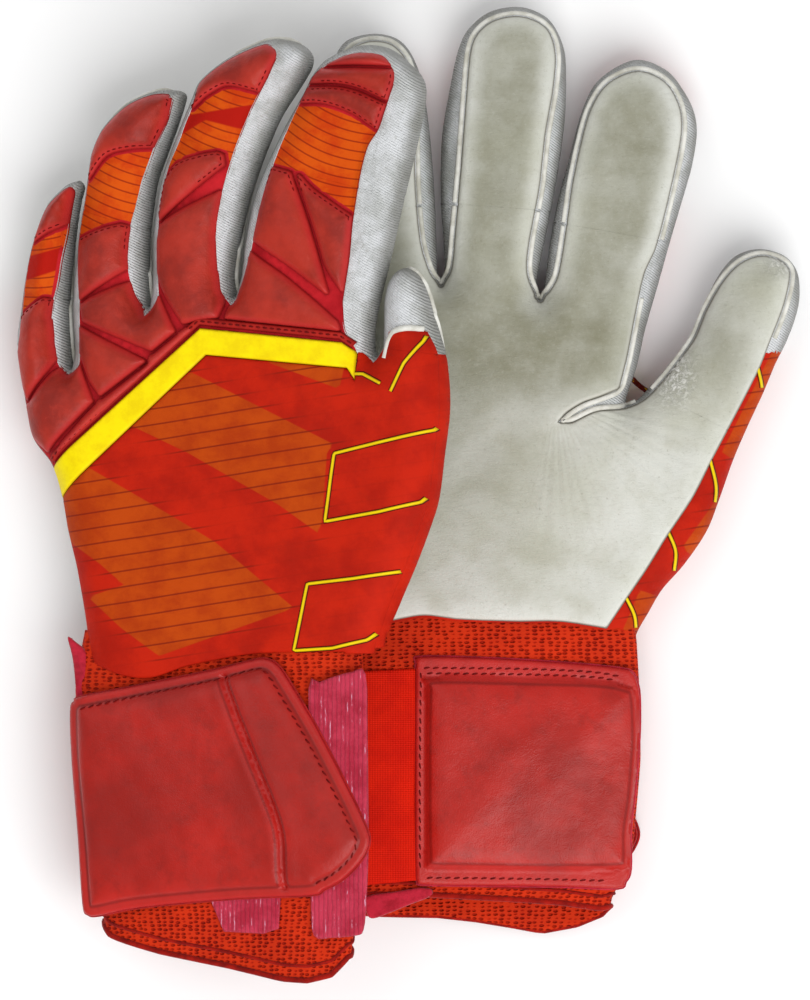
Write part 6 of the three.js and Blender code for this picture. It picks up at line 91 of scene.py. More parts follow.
-40.91],[22.23,-33.57],[21.02,-26.43],[19.95,-20.83],[19.11,-17.28],[17.51,-11.24],[16.77,-7.98],[15.33,0.39],[63.13,43.17],[107.05,39.12],[109.54,35.56],[109.54,43.85],[109.66,43.94],[109.89,43.97],[110.79,43.85],[111.48,43.31],[113.91,40.87],[117.05,45.23]]],"gt":[[[3.41,62],[3.2,58.99],[3.03,53.78],[2.92,53.66],[2.58,49.04],[2.01,46.61],[1.88,45.7],[1.34,44.85],[1.31,44.06],[2.15,38.33],[2.73,34.94],[5.12,22.56],[5.53,20.81],[6.07,19.17],[6.81,17.68],[7.28,16.98],[8.43,15.58],[10.38,13.4],[11.62,11.78],[12.14,10.92],[12.92,9.32],[13.6,7.67],[14.71,4.28],[15.4,1.72],[16.12,-1.73],[17.14,-7.92],[17.49,-9.55],[19.71,-18.1],[20.5,-21.65],[21.7,-28.09],[22.89,-35.38],[23.39,-39.07],[23.88,-43.78],[24.16,-44.25],[22.84,-44.25],[22.53,-40.98],[22.08,-37.36],[20.94,-30.03],[19.26,-20.97],[18.43,-17.44],[16.83,-11.39],[16.08,-8.1],[14.73,-0.16],[14.35,1.5],[13.41,4.86],[12.26,8.15],[11.55,9.72],[10.68,11.28],[10.12,12.05],[6.97,15.66],[5.87,17.17],[5.43,17.97],[4.74,19.67],[4.05,22.37],[1.21,37.38],[0.29,43.45],[0,47.05],[0.04,48.85],[0.22,50.65],[1.14,56.04],[1.97,62.21]],[[134.56,43.14],[135.04,40.17],[135.47,36.38],[135.74,32.83],[135.84,29.4],[135.75,25.97],[135.21,20.81],[134.14,13.3],[133.17,5.04],[132.62,1.4],[132.27,-0.3],[131.29,-3.78],[127.57,-13.83],[124.81,-20.54],[117.83,-36.19],[117.12,-37.91],[116.52,-39.66],[116.09,-41.45],[115.73,-43.83],[113.89,-43.83],[114.19,-42.39],[114.77,-40.54],[116.29,-36.4],[118.11,-31.75],[120.03,-27.23],[122.62,-21.48],[124.42,-17.26],[126.14,-12.98],[129.33,-4.42],[130.07,-2.17],[130.67,0.08],[131.12,2.35],[131.49,4.77],[132.37,12.18],[133.73,21.86],[134.15,26.36],[134.21,28.79],[134.17,31.23],[133.74,39.41],[133.49,41.67],[133.22,43.3]],[[22.13,86.96],[21.53,83.79],[20.85,78.95],[20.77,77.75],[20.88,74.08],[22.05,59.82],[22.04,42],[21.78,39.77],[21.65,39.64],[17.58,37.34],[17.38,37.36],[15.76,39.22],[15.1,40.11],[14.63,41.16],[14.59,42.17],[14.2,43.47],[13.05,54.11],[12.76,54.29],[12.72,54.47],[12.99,57.43],[13.44,60.54],
[15.99,60.17],[15.93,56.79],[15.99,53.26],[16.21,49.59],[16.58,45.48],[16.8,43.76],[17.53,39.49],[18.19,42.9],[18.44,44.61],[18.48,45.47],[18.33,48.69],[17.88,54.16],[17.88,59.51],[18.17,65.51],[18.35,67.33],[19.01,71.83],[19.65,78.07],[20.71,85.53],[21.06,87.28]],[[121.65,89.89],[117.65,72.83],[115.13,63.09],[113.26,55.29],[112.66,51.84],[112.52,49.86],[112.54,45.89],[112.66,44.43],[113.17,43.5],[113.91,42.65],[115.51,45.02],[115.63,45.4],[117.45,45.18],[114.17,40.61],[114,40.53],[113.8,40.53],[113.64,40.63],[111.23,43.05],[110.64,43.51],[109.51,43.61],[109.36,43.73],[109.18,44.65],[108.74,45.57],[107.27,47.79],[106.55,49.04],[106.07,50.27],[105.86,51.28],[105.63,53.46],[105.45,58.95],[107.36,70.05],[107.82,73.57],[108.46,80.79],[108.92,84.09],[110.3,92.7]],[[53.83,108.54],[53.08,106.5],[52.35,104.81],[50.61,101.47],[49.92,99.78],[49.24,97.32],[48.4,93.49],[47.54,89.08],[46.97,85.35],[46.77,83.48],[46.57,80.09],[46.47,76.39],[46.47,72.78],[46.57,69.21],[46.77,65.64],[47.14,61.24],[46.96,60.61],[46.42,59.5],[45.78,58.57],[45.02,57.65],[42.51,54.97],[42.31,54.96],[42.13,55.04],[41.31,56.93],[39.28,61.14],[38.75,62.6],[37.88,66.38],[37.58,68.28],[37.4,70.18],[37.33,72.08],[37.37,73.97],[37.63,77.67],[38.28,82.21],[41.77,81.19],[41.5,78.41],[41.3,74.97],[41.23,67.66],[41.33,64.46],[41.52,62.58],[42.28,57.89],[43.16,63.51],[43.26,65.17],[43.19,73.19],[43.28,76.66],[43.75,81.87],[44.7,88.93],[45.29,92.49],[45.98,95.76],[46.47,97.56],[47.66,101.1],[51.01,109.53]],[[76.97,100.37],[74.69,94.33],[73.57,91.04],[72.51,87.39],[71.57,83.71],[69.86,76.14],[69.12,72.27],[68.6,68.56],[68.48,66.96],[68.49,66.06],[68.72,64.27],[69.43,60.7],[70.6,64.24],[71.11,66.03],[71.45,67.71],[72.16,74.19],[72.71,77.8],[73.67,82.96],[74.47,86.7],[75.45,90.41],[76.03,92.18],[77.25,95.34],[79.47,100.34],[83.01,99.46],[80.79,92.38],[79.85,89.08],[76.3,74.46],[75.76,72.56],[75.64,72.42],[75.4,72.37],[75.18,70.66],[74.17,67.66],[71.31,60.15],[69.98,58.04],[69.81,57.97],[69.61,57.98],[67.87,59.82],
[67.1,60.76],[66.57,61.75],[66.28,62.74],[66.08,63.82],[65.62,68.11],[65.47,68.23],[65.41,68.41],[65.3,71.89],[65.28,76.22],[65.35,78.02],[65.66,81.61],[65.9,83.4],[66.56,86.99],[67.38,90.64],[68.24,94.01],[69.21,97.32],[70.95,102.5]]],"gb":[[[4.5,61.84],[4.44,56.55],[4.52,53.71],[4.71,50.82],[4.99,47.94],[5.37,45.05],[6.4,39.23],[7.07,36.19],[8.67,29.71],[13.38,11.65],[15.34,3.53],[19.09,-14.02],[21.03,-22.06],[22.68,-27.98],[23.29,-29.69],[24.04,-31.34],[26.92,-36.75],[33.54,-35.84],[37.49,-35.19],[39.3,-34.82],[47.54,-32.83],[49.6,-32.41],[51.58,-32.1],[53.57,-31.93],[56.7,-32.01],[63.75,-32.77],[83.06,-33.13],[90.42,-33.05],[94.01,-33.18],[95.77,-33.35],[99.08,-33.93],[100.7,-34.3],[108.26,-36.43],[109.8,-33.7],[113.31,-27.13],[116.33,-21.19],[117.68,-18.29],[118.98,-15.21],[121.41,-9],[125.31,0.35],[126.32,3.27],[127.6,7.99],[129.47,16.22],[130.57,21.95],[130.99,24.71],[131.52,30.13],[131.63,32.82],[131.62,35.32],[131.51,37.66],[130.87,43.58],[134.56,43.14],[135.04,40.17],[135.47,36.38],[135.74,32.83],[135.84,29.4],[135.75,25.97],[135.21,20.81],[134.14,13.3],[133.17,5.04],[132.62,1.4],[132.27,-0.3],[131.29,-3.78],[127.57,-13.83],[124.81,-20.54],[117.83,-36.19],[117.12,-37.91],[116.59,-39.46],[111.25,-36.82],[108.44,-37.33],[102.21,-35.69],[95.7,-34.2],[90.72,-34.04],[82.1,-33.96],[78.33,-33.85],[64.7,-33.67],[52.53,-32.84],[37.53,-36.03],[26.65,-37.79],[23.94,-38.47],[22.31,-28.09],[20.61,-20.62],[19.19,-15.01],[19.06,-20.03],[16.83,-11.39],[16.08,-8.1],[14.73,-0.16],[14.35,1.5],[13.41,4.86],[12.26,8.15],[11.55,9.72],[10.68,11.28],[10.12,12.05],[6.97,15.66],[5.87,17.17],[5.43,17.97],[4.74,19.67],[4.05,22.37],[1.21,37.38],[0.29,43.45],[0,47.05],[0.04,48.85],[0.22,50.65],[1.14,56.04],[1.97,62.21]],[[121.65,89.89],[117.65,72.83],[115.13,63.09],[113.26,55.29],[112.66,51.84],[112.52,49.86],[112.54,45.89],[112.66,44.43],[113.17,43.5],[113.91,42.65],[115.51,45.02],[115.63,45.4],[118.71,45.03],[118.31,43.99],[117.13,41.52],[115.94,39.48],[115.25,38.6],[114.39,37.84],
[113.85,37.51],[112.68,37],[110.65,36.48],[109.34,36.36],[106.29,36.3],[104.73,36.17],[103.33,35.86],[102.64,35.58],[101.23,34.77],[98.52,32.89],[97.24,32.2],[96.3,31.97],[95.35,31.93],[93.29,31.97],[93.14,32.1],[93.09,32.28],[94.39,34.7],[94.89,35.36],[96.04,36.51],[97.42,37.67],[98.86,38.7],[99.57,39.11],[107.83,42.74],[107.57,48.6],[106.7,57.79],[105.85,69.27],[105.81,72.33],[105.94,73.81],[106.46,75.99],[107.36,78.79],[109.16,86.44],[110.97,92.54]],[[24.36,86.31],[23.65,80.16],[23.37,76.37],[23.21,72.57],[23.17,68.96],[23.24,65.65],[23.58,59.53],[24.08,52.55],[24.2,49.71],[24.17,48.55],[23.98,47.77],[23.62,47.07],[23.14,46.46],[21.67,44.84],[21.5,44.73],[21.31,44.72],[19.56,46.14],[19.51,44.5],[19.4,43.6],[18.58,39.26],[18.44,38.95],[18.15,38.66],[17.77,38.5],[17.35,38.49],[16.96,38.64],[16.65,38.91],[16.48,39.27],[15.6,44.51],[15.13,49.52],[14.91,53.24],[14.86,58.02],[14.48,60.39],[15.99,60.17],[15.93,56.79],[15.99,53.26],[16.21,49.59],[16.58,45.48],[16.8,43.76],[17.53,39.49],[18.19,42.9],[18.44,44.61],[18.48,45.47],[18.33,48.69],[17.88,54.16],[17.88,59.51],[18.17,65.51],[18.35,67.33],[19.01,71.83],[19.65,78.07],[20.71,85.53],[21.06,87.28]],[[55.76,107.86],[53.3,101.5],[52.03,97.81],[50.82,93.86],[49.78,89.81],[48.64,83.99],[48.21,80.79],[48.03,78.85],[47.88,74.97],[47.94,68.5],[47.83,66.65],[47.67,65.81],[47.16,64.24],[46.31,62],[46.15,61.89],[45.96,61.86],[44.19,63.09],[43.33,57.65],[43.18,57.34],[42.89,57.06],[42.51,56.9],[42.09,56.9],[41.7,57.04],[41.4,57.32],[41.24,57.68],[40.33,63.45],[40.15,68.37],[39.65,69.56],[39.01,71.45],[38.53,73.38],[38.26,75.04],[37.99,78.32],[37.99,82.3],[41.77,81.19],[41.5,78.41],[41.3,74.97],[41.23,67.66],[41.33,64.46],[41.52,62.58],[42.28,57.89],[43.16,63.51],[43.26,65.17],[43.19,73.19],[43.28,76.66],[43.75,81.87],[44.7,88.93],[45.29,92.49],[45.98,95.76],[46.47,97.56],[47.66,101.1],[51.01,109.53]],[[76.97,100.37],[74.69,94.33],[73.57,91.04],[72.51,87.39],[71.57,83.71],[69.86,76.14],[69.12,72.27],[68.6,68.56],[68.48,66.96],
[68.49,66.06],[68.72,64.27],[69.43,60.7],[70.6,64.24],[71.11,66.03],[71.45,67.71],[72.16,74.19],[72.71,77.8],[73.67,82.96],[74.47,86.7],[75.45,90.41],[76.03,92.18],[77.25,95.34],[79.47,100.34],[83.12,99.43],[82.26,96.24],[81.5,92.78],[80.9,89.34],[80.38,85.67],[80.15,83.54],[79.41,73.8],[79.03,71.8],[78.75,70.82],[77.71,68.14],[77.25,67.25],[75.05,64.07],[74.87,64],[74.67,64.02],[74.52,64.14],[72.38,66.82],[71.62,63.94],[70.43,60.35],[70.25,60.05],[69.93,59.81],[69.53,59.7],[69.11,59.74],[68.87,59.85],[68.56,60.12],[68.39,60.48],[67.66,64.13],[67.42,66.05],[67.41,67.02],[67.53,68.68],[68.06,72.44],[68.63,75.49],[68.53,78.29],[68.62,80.35],[68.98,84.25],[69.25,86.05],[70.04,89.92],[70.56,91.91],[71.72,95.81],[73.62,101.56]]],"palm":[[[73.98,101.43],[71.78,94.75],[70.66,90.83],[69.78,86.92],[69.47,85.08],[69.07,81.35],[68.94,79.3],[68.91,77.26],[69.01,75.46],[68.43,72.37],[67.91,68.62],[67.79,66.95],[67.8,66],[68.04,64.15],[68.84,60.36],[69.02,60.17],[69.27,60.06],[69.54,60.05],[69.79,60.14],[69.99,60.32],[71.26,64.06],[71.79,65.89],[72.15,67.74],[74.82,64.35],[76.92,67.44],[77.37,68.3],[78.07,70.01],[78.67,71.9],[78.89,72.87],[79.11,74.59],[79.59,81.39],[80,85.71],[80.81,91.11],[81.49,94.59],[82.75,99.52],[111.33,92.45],[110.28,89.06],[109.29,85.47],[107.93,79.44],[106.44,74.47],[106.22,72.99],[106.17,71.59],[106.27,68.47],[106.93,59.46],[107.78,50.88],[107.99,47.87],[108.21,42.51],[103.43,40.36],[100.49,39.15],[99.07,38.41],[96.97,36.84],[95.19,35.15],[94.69,34.49],[93.46,32.29],[96.28,32.33],[97.14,32.54],[97.71,32.82],[101.02,35.07],[102.47,35.9],[103.2,36.19],[104.68,36.52],[105.46,36.61],[109.33,36.71],[110.6,36.84],[111.94,37.15],[113.14,37.56],[114.18,38.13],[114.63,38.49],[115.31,39.24],[115.94,40.16],[117.05,42.18],[117.75,43.62],[118.33,45.08],[131.25,43.54],[131.76,39.05],[131.95,36.48],[132.01,34.11],[131.96,31.48],[131.79,28.72],[131.16,23.3],[130.69,20.47],[129.52,14.74],[127.96,7.91],[127.14,4.73],[126.19,1.69],[124.47,-2.74],[122.03,-8.47],[119.33,
-15.34],[118.03,-18.43],[116.67,-21.34],[113.64,-27.29],[110.13,-33.86],[108.44,-36.85],[103,-35.28],[99.8,-34.45],[96.54,-33.82],[94.85,-33.61],[91.31,-33.42],[83.06,-33.48],[70.32,-33.3],[63.72,-33.13],[57.68,-32.46],[55.65,-32.3],[53.6,-32.28],[50.67,-32.59],[48.66,-32.96],[39.38,-35.17],[37.56,-35.55],[33.6,-36.2],[26.69,-37.14],[23.3,-30.66],[22.6,-28.96],[22.09,-27.35],[20.17,-20.2],[18.27,-12.07],[15.87,-0.63],[14.01,7.55],[7.25,33.79],[5.88,39.91],[4.89,45.73],[4.53,48.63],[4.27,51.53],[4.11,54.41],[4.05,57.26],[4.12,61.9],[14.87,60.33],[15.24,58.05],[15.24,55.05],[15.39,51.38],[15.88,45.41],[16.11,43.67],[16.93,39.15],[17.12,38.96],[17.37,38.85],[17.64,38.84],[17.9,38.93],[18.1,39.1],[18.21,39.33],[18.88,42.79],[19.13,44.57],[19.15,47.05],[21.38,45.08],[23.31,47.29],[23.64,47.93],[23.79,48.62],[23.81,50.35],[22.99,62.76],[22.79,68.96],[22.82,72.58],[22.99,76.39],[23.27,80.2],[23.99,86.41],[38.36,82.19],[38.34,79.21],[38.54,75.84],[38.73,74.37],[39.12,72.48],[39.67,70.59],[40.53,68.44],[40.64,64.42],[40.83,62.49],[41.69,57.56],[41.87,57.37],[42.11,57.25],[42.38,57.24],[42.64,57.32],[42.84,57.49],[42.96,57.73],[43.74,62.49],[43.88,63.8],[46.01,62.22],[47.08,65.12],[47.46,66.72],[47.54,67.59],[47.48,73.2],[47.55,76.9],[47.66,78.88],[48.02,82.34],[48.58,85.9],[49.41,89.88],[49.9,91.93],[51.04,95.96],[52.3,99.81],[53.6,103.39],[55.4,107.98]]]},"little":{"floor":[[[19.07,93.51],[19.44,92.72],[19.39,91.92],[18.47,87.63],[17.83,83.89],[17.28,80.07],[15.62,71.22],[14.8,65.5],[13.82,60.48],[3.03,62.06],[3.32,65.34],[3.83,68.91],[4.56,72.41],[5.51,75.87],[7.26,80.94],[8.66,84.43],[9.42,86.03],[10.21,87.42],[10.77,88.22],[12.14,89.74],[12.9,90.46],[15.62,92.76],[16.52,93.33],[18.48,94.23]]],"gt":[[[20.22,95.15],[20.71,94.21],[20.62,93.38],[19.76,90.33],[18.98,86.52],[18.38,82.84],[17.85,78.98],[17.31,73.6],[16.34,66.43],[15.99,60.17],[13.44,60.54],[14.11,63.75],[15.39,72.13],[16.91,80.13],[17.74,85.73],[19.01,91.96],[19.05,92.66],[18.74,93.32],[18.37,93.78],[16.71,
93.02],[15.86,92.48],[13.91,90.87],[12.42,89.5],[11.08,88],[10.53,87.23],[9.77,85.87],[9.01,84.29],[7.62,80.82],[6.14,76.62],[5.62,74.92],[4.74,71.46],[4.06,67.97],[3.81,66.19],[3.41,62],[1.97,62.21],[3.18,69.33],[3.93,73.02],[4.84,76.7],[5.97,80.28],[7.29,83.91],[8.78,87.22],[9.57,88.63],[10.11,89.41],[11.43,90.94],[13.65,93],[15.62,94.56],[16.49,95.05],[19.44,96.01]]],"gb":[[[20.22,95.15],[20.71,94.21],[20.62,93.38],[19.76,90.33],[18.98,86.52],[18.38,82.84],[17.85,78.98],[17.31,73.6],[16.34,66.43],[15.99,60.17],[14.48,60.39],[14.16,63.13],[13.92,66.36],[13.71,73.46],[13.73,76.95],[14.01,85.32],[13.93,86.65],[13.54,88.98],[11.55,89.51],[11,88.82],[10.13,87.46],[9.38,86.02],[8.66,84.4],[7.32,80.87],[6.15,77.3],[4.92,72.47],[4.5,61.84],[1.97,62.21],[3.18,69.33],[3.93,73.02],[4.84,76.7],[5.97,80.28],[7.29,83.91],[8.78,87.22],[9.57,88.63],[10.11,89.41],[11.43,90.94],[13.65,93],[15.62,94.56],[16.49,95.05],[19.44,96.01]]],"palm":[[[13.89,89.26],[14.31,86.69],[14.39,85.31],[14.09,75.16],[14.19,68.82],[14.35,65.56],[14.87,60.33],[4.12,61.9],[4.54,72.52],[5.28,75.63],[6.95,80.99],[8.3,84.53],[9.03,86.17],[9.79,87.64],[10.69,89.03],[11.41,89.92]]]},"ring":{"floor":[[[49.24,121.36],[49.98,120.94],[51.14,119.55],[50.04,115.44],[49.53,113.81],[48.93,112.26],[45.45,105],[42.22,96.6],[41.65,94.9],[41.22,93.2],[40.07,87.75],[39.01,83.95],[38.64,82.1],[21.76,87.07],[23.89,97.17],[24.53,101.89],[24.9,103.74],[25.82,106.36],[26.62,108.04],[27.56,109.65],[28.65,111.16],[29.74,112.43],[32.4,115.09],[33.83,116.35],[35.26,117.46],[36.73,118.43],[39.32,119.71],[41.1,120.39],[43.55,121.13],[44.52,121.33],[46.61,121.52],[47.61,121.52]]],"gt":[[[50.82,122.53],[51.71,122.35],[52.53,121.95],[53.03,121.31],[53.09,120.58],[52.94,119.66],[52.18,117.02],[49.57,109.83],[44.71,97.58],[44.11,95.79],[43.7,94.13],[43.07,90.77],[42.52,87.12],[41.77,81.19],[38.28,82.21],[38.64,84.04],[39.45,86.89],[41.29,95],[41.86,96.73],[45.09,105.14],[48.23,111.6],[48.88,113.14],[49.43,114.72],[50.72,119.47],[49.73,
120.67],[49.11,121.02],[48.47,121.11],[46.62,121.16],[44.59,120.98],[43.65,120.79],[42.08,120.34],[40.36,119.74],[38.6,119],[36.94,118.13],[34.8,116.65],[33.37,115.47],[31.97,114.18],[29.47,111.56],[28.4,110.22],[27.4,108.68],[26.55,107.06],[25.83,105.37],[25.27,103.65],[25.07,102.76],[24.42,98.04],[22.13,86.96],[21.06,87.28],[21.5,89.35],[22.83,99.45],[23.38,102.88],[23.6,103.77],[24.76,106.88],[25.49,108.57],[26.36,110.25],[26.85,111.04],[27.92,112.43],[29.14,113.81],[30.51,115.2],[31.99,116.55],[33.5,117.79],[35,118.85],[36.61,119.8],[38.35,120.62],[40.13,121.32],[41.89,121.89],[43.55,122.33],[45.45,122.61],[48.45,122.69]]],"gb":[[[50.82,122.53],[51.71,122.35],[52.53,121.95],[53.03,121.31],[53.09,120.58],[52.94,119.66],[52.18,117.02],[49.57,109.83],[44.71,97.58],[44.11,95.79],[43.7,94.13],[43.07,90.77],[42.52,87.12],[41.77,81.19],[37.99,82.3],[38.21,85.78],[38.4,87.6],[38.9,91.02],[39.23,92.7],[40.05,96.07],[41.03,99.4],[43.38,106.25],[45.93,112.79],[46.8,115.31],[47.55,117.84],[47.79,118.97],[47.89,119.91],[47.81,120.68],[47.68,121.04],[47.25,121.68],[45.57,121.6],[43.8,121.34],[42.22,120.92],[40.53,120.37],[38.81,119.69],[37.15,118.91],[35.62,118.01],[34.19,117],[32.72,115.8],[30.49,113.69],[29.9,112.18],[29.5,110.91],[27.35,102.5],[25.83,95.16],[24.36,86.31],[21.06,87.28],[21.5,89.35],[22.83,99.45],[23.38,102.88],[23.6,103.77],[24.76,106.88],[25.49,108.57],[26.36,110.25],[26.85,111.04],[27.92,112.43],[29.14,113.81],[30.51,115.2],[31.99,116.55],[33.5,117.79],[35,118.85],[36.61,119.8],[38.35,120.62],[40.13,121.32],[41.89,121.89],[43.55,122.33],[45.45,122.61],[48.45,122.69]]],"palm":[[[47.82,121.56],[48.18,120.77],[48.26,120.32],[48.24,119.43],[48.06,118.35],[47.37,115.85],[46.52,113.3],[44.03,106.91],[41.91,100.9],[40.89,97.65],[39.98,94.3],[39.28,90.95],[38.78,87.56],[38.59,85.74],[38.36,82.19],[23.99,86.41],[25.09,93.15],[26.08,98.48],[27.11,103.12],[28.76,109.64],[29.53,112.29],[30.16,113.88],[32.46,116.06],[33.94,117.28],[35.4,118.31],[36.96,119.22],[38.65,
120.02],[40.39,120.71],[42.11,121.26],[43.71,121.69],[45.53,121.96],[47.4,122.04]]]},"middle":{"floor":[[[81.61,135.61],[82.5,135.21],[83.88,134.29],[84.49,133.52],[84.81,132.57],[84.82,131.61],[84.65,130.87],[83.96,129.09],[82.22,125.49],[79.91,121.44],[77.37,116.76],[75.11,111.85],[73.55,108.22],[71.3,102.37],[53.48,108.66],[54.93,112.65],[57.77,119.17],[58.03,120.02],[58.57,122.71],[58.81,123.57],[59.16,124.37],[59.66,125.1],[61.34,126.73],[62.76,127.87],[64.33,129.01],[67.66,131.08],[69.29,131.95],[72.99,133.61],[76.77,135.01],[78.43,135.52],[79.8,135.84],[80.69,135.84]]],"gt":[[[82.89,137.44],[84.99,137.19],[86,137],[88.59,136.3],[89.43,135.95],[90.24,135.47],[91,134.9],[91.68,134.27],[92.24,133.62],[92.66,132.98],[92.96,132.2],[93.08,131.36],[93.04,130.5],[92.89,129.64],[92.38,128.13],[92,127.39],[89.16,122.96],[85.2,117.36],[83.17,114.19],[82.31,112.62],[79.51,106.52],[76.97,100.37],[70.95,102.5],[72.17,105.8],[73.57,109.23],[76.63,116.11],[78.29,119.29],[82.29,126.44],[83.62,129.23],[84.28,130.97],[84.45,131.65],[84.43,132.52],[84.15,133.36],[83.61,134.04],[82.32,134.9],[81.49,135.27],[80.65,135.48],[79.85,135.48],[77.75,134.95],[76,134.37],[72.18,132.88],[68.67,131.22],[65.37,129.26],[63.76,128.16],[62.27,127.03],[60.98,125.92],[59.96,124.88],[59.5,124.2],[59.17,123.45],[58.94,122.62],[58.4,119.92],[58.12,119.04],[55.28,112.52],[53.83,108.54],[51.01,109.53],[55.91,120.92],[56.92,123.47],[57.81,125.03],[58.4,125.71],[59.5,126.74],[62.34,129],[65.65,131.25],[67.34,132.27],[70.78,134.07],[74.52,135.72],[76.37,136.4],[78.15,136.95],[79.8,137.32],[80.79,137.44]]],"gb":[[[82.89,137.44],[84.99,137.19],[86,137],[88.59,136.3],[89.43,135.95],[90.24,135.47],[91,134.9],[91.68,134.27],[92.24,133.62],[92.66,132.98],[92.96,132.2],[93.08,131.36],[93.04,130.5],[92.89,129.64],[92.38,128.13],[92,127.39],[89.16,122.96],[85.2,117.36],[83.17,114.19],[82.31,112.62],[79.51,106.52],[76.97,100.37],[73.62,101.56],[76.2,109.22],[77.32,112.1],[78.51,114.78],[79.2,116.14],[82.87,
122.75],[85.5,128.02],[86.59,130.65],[86.95,131.81],[87.15,132.9],[87.23,134.05],[87.14,135.09],[86.93,135.74],[85.78,136.02],[83.83,136.34],[81.85,136.47],[80.9,136.44],[79.26,136.18],[76.75,135.45],[74.94,134.78],[71.28,133.17],[69.77,132.41],[68.87,131.65],[67.66,130.47],[66.65,129.28],[65.99,128.34],[64.64,126.11],[59.92,117.11],[58.58,114.32],[55.76,107.86],[51.01,109.53],[55.91,120.92],[56.92,123.47],[57.81,125.03],[58.4,125.71],[59.5,126.74],[62.34,129],[65.65,131.25],[67.34,132.27],[70.78,134.07],[74.52,135.72],[76.37,136.4],[78.15,136.95],[79.8,137.32],[80.79,137.44]]],"palm":[[[82.85,136.79],[84.88,136.55],[87.2,136.04],[87.37,135.65],[87.59,134.61],[87.53,132.85],[87.31,131.72],[86.95,130.54],[86.45,129.24],[85.17,126.46],[83.54,123.2],[80.26,117.33],[78.85,114.62],[77.67,111.96],[76.56,109.09],[73.98,101.43],[55.4,107.98],[58.23,114.46],[59.58,117.26],[64.3,126.28],[65.66,128.53],[66.34,129.49],[67.37,130.71],[68.61,131.91],[69.55,132.7],[72.94,134.33],[76.61,135.79],[78.35,136.32],[79.93,136.68],[80.86,136.79]]]},"index":{"floor":[[[113.83,132.87],[115.64,132.56],[116.4,132.35],[117.25,131.99],[118.04,131.47],[118.76,130.85],[119.4,130.16],[120.45,128.75],[120.93,127.93],[121.3,127.05],[121.56,126.14],[121.7,125.21],[121.7,124.29],[121.61,123.6],[121.24,122.04],[117.7,111.44],[117.03,109.84],[116.57,109.03],[114.36,105.96],[113.91,105.14],[113.27,103.54],[112.73,101.83],[111.83,98.4],[110.67,92.61],[82.64,99.55],[83.61,102.4],[84.86,105.63],[89.47,116.2],[90.28,117.87],[92.97,122.88],[94.05,125.16],[94.54,125.83],[95.74,127.02],[97.26,128.27],[98.08,128.84],[99.62,129.7],[103.02,131.3],[104.91,132.03],[106.78,132.58],[107.67,132.77],[109.68,133],[111.79,133.02]]],"gt":[[[111.41,135.34],[113.29,135.17],[115.08,134.86],[116.72,134.42],[117.6,134.08],[119.26,133.18],[120.04,132.64],[121.53,131.45],[124.88,128.4],[126.12,127.1],[127.17,125.71],[127.59,124.97],[127.92,124.21],[128.15,123.41],[128.37,121.69],[128.26,118.95],[127.82,115.51],[126.83,110.61],
[124.94,102.77],[121.65,89.89],[110.3,92.7],[111.08,96.79],[112.13,101.05],[112.63,102.8],[113.58,105.31],[114.05,106.16],[116.25,109.21],[116.69,110],[117.35,111.57],[120.88,122.14],[121.24,123.66],[121.33,124.32],[121.33,125.19],[121.19,126.07],[120.94,126.94],[120.59,127.78],[120.13,128.57],[119.11,129.93],[118.49,130.6],[117.81,131.19],[117.07,131.68],[116.28,132.02],[115.55,132.22],[113.79,132.52],[111.78,132.67],[109.71,132.64],[107.74,132.42],[106.87,132.24],[105.04,131.69],[103.18,130.97],[101.4,130.17],[99.11,129.03],[98.3,128.55],[96.72,127.39],[94.83,125.61],[94.37,124.98],[93.31,122.72],[90.62,117.71],[89.82,116.06],[84.87,104.68],[83.01,99.46],[79.47,100.34],[82.35,106.28],[84.63,110.76],[85.58,112.47],[90.78,121.13],[92.94,125.45],[93.91,127.03],[95,128.44],[96.19,129.77],[97.55,130.93],[98.29,131.42],[101.35,133.01],[103.15,133.79],[105,134.47],[106.81,134.97],[107.67,135.14],[109.51,135.33]]],"gb":[[[111.41,135.34],[113.29,135.17],[115.08,134.86],[116.72,134.42],[117.6,134.08],[119.26,133.18],[120.04,132.64],[121.53,131.45],[124.88,128.4],[126.12,127.1],[127.17,125.71],[127.59,124.97],[127.92,124.21],[128.15,123.41],[128.37,121.69],[128.26,118.95],[127.82,115.51],[126.83,110.61],[124.94,102.77],[121.65,89.89],[110.97,92.54],[114.53,102.64],[115.63,106.1],[116.49,109.24],[117.11,111.91],[117.63,115.07],[117.76,116.65],[117.79,118.2],[117.67,119.71],[117.42,121.23],[117.05,122.77],[116.55,124.24],[115.93,125.57],[115.18,126.7],[114.74,127.19],[113.7,128.09],[113.12,128.49],[111.86,129.16],[110.55,129.63],[109.27,129.87],[108.56,129.9],[107.03,129.7],[104.6,128.97],[101.53,127.65],[99.95,126.75],[98.47,125.69],[97.1,124.53],[96,123.42],[93.71,120.79],[92.63,119.37],[91.02,116.91],[89.59,114.45],[88.15,111.73],[86.74,108.82],[85.41,105.8],[84.23,102.82],[83.12,99.43],[79.47,100.34],[82.35,106.28],[84.63,110.76],[85.58,112.47],[90.78,121.13],[92.94,125.45],[93.91,127.03],[95,128.44],[96.19,129.77],[97.55,130.93],[98.29,131.42],[101.35,133.01],[103.15,
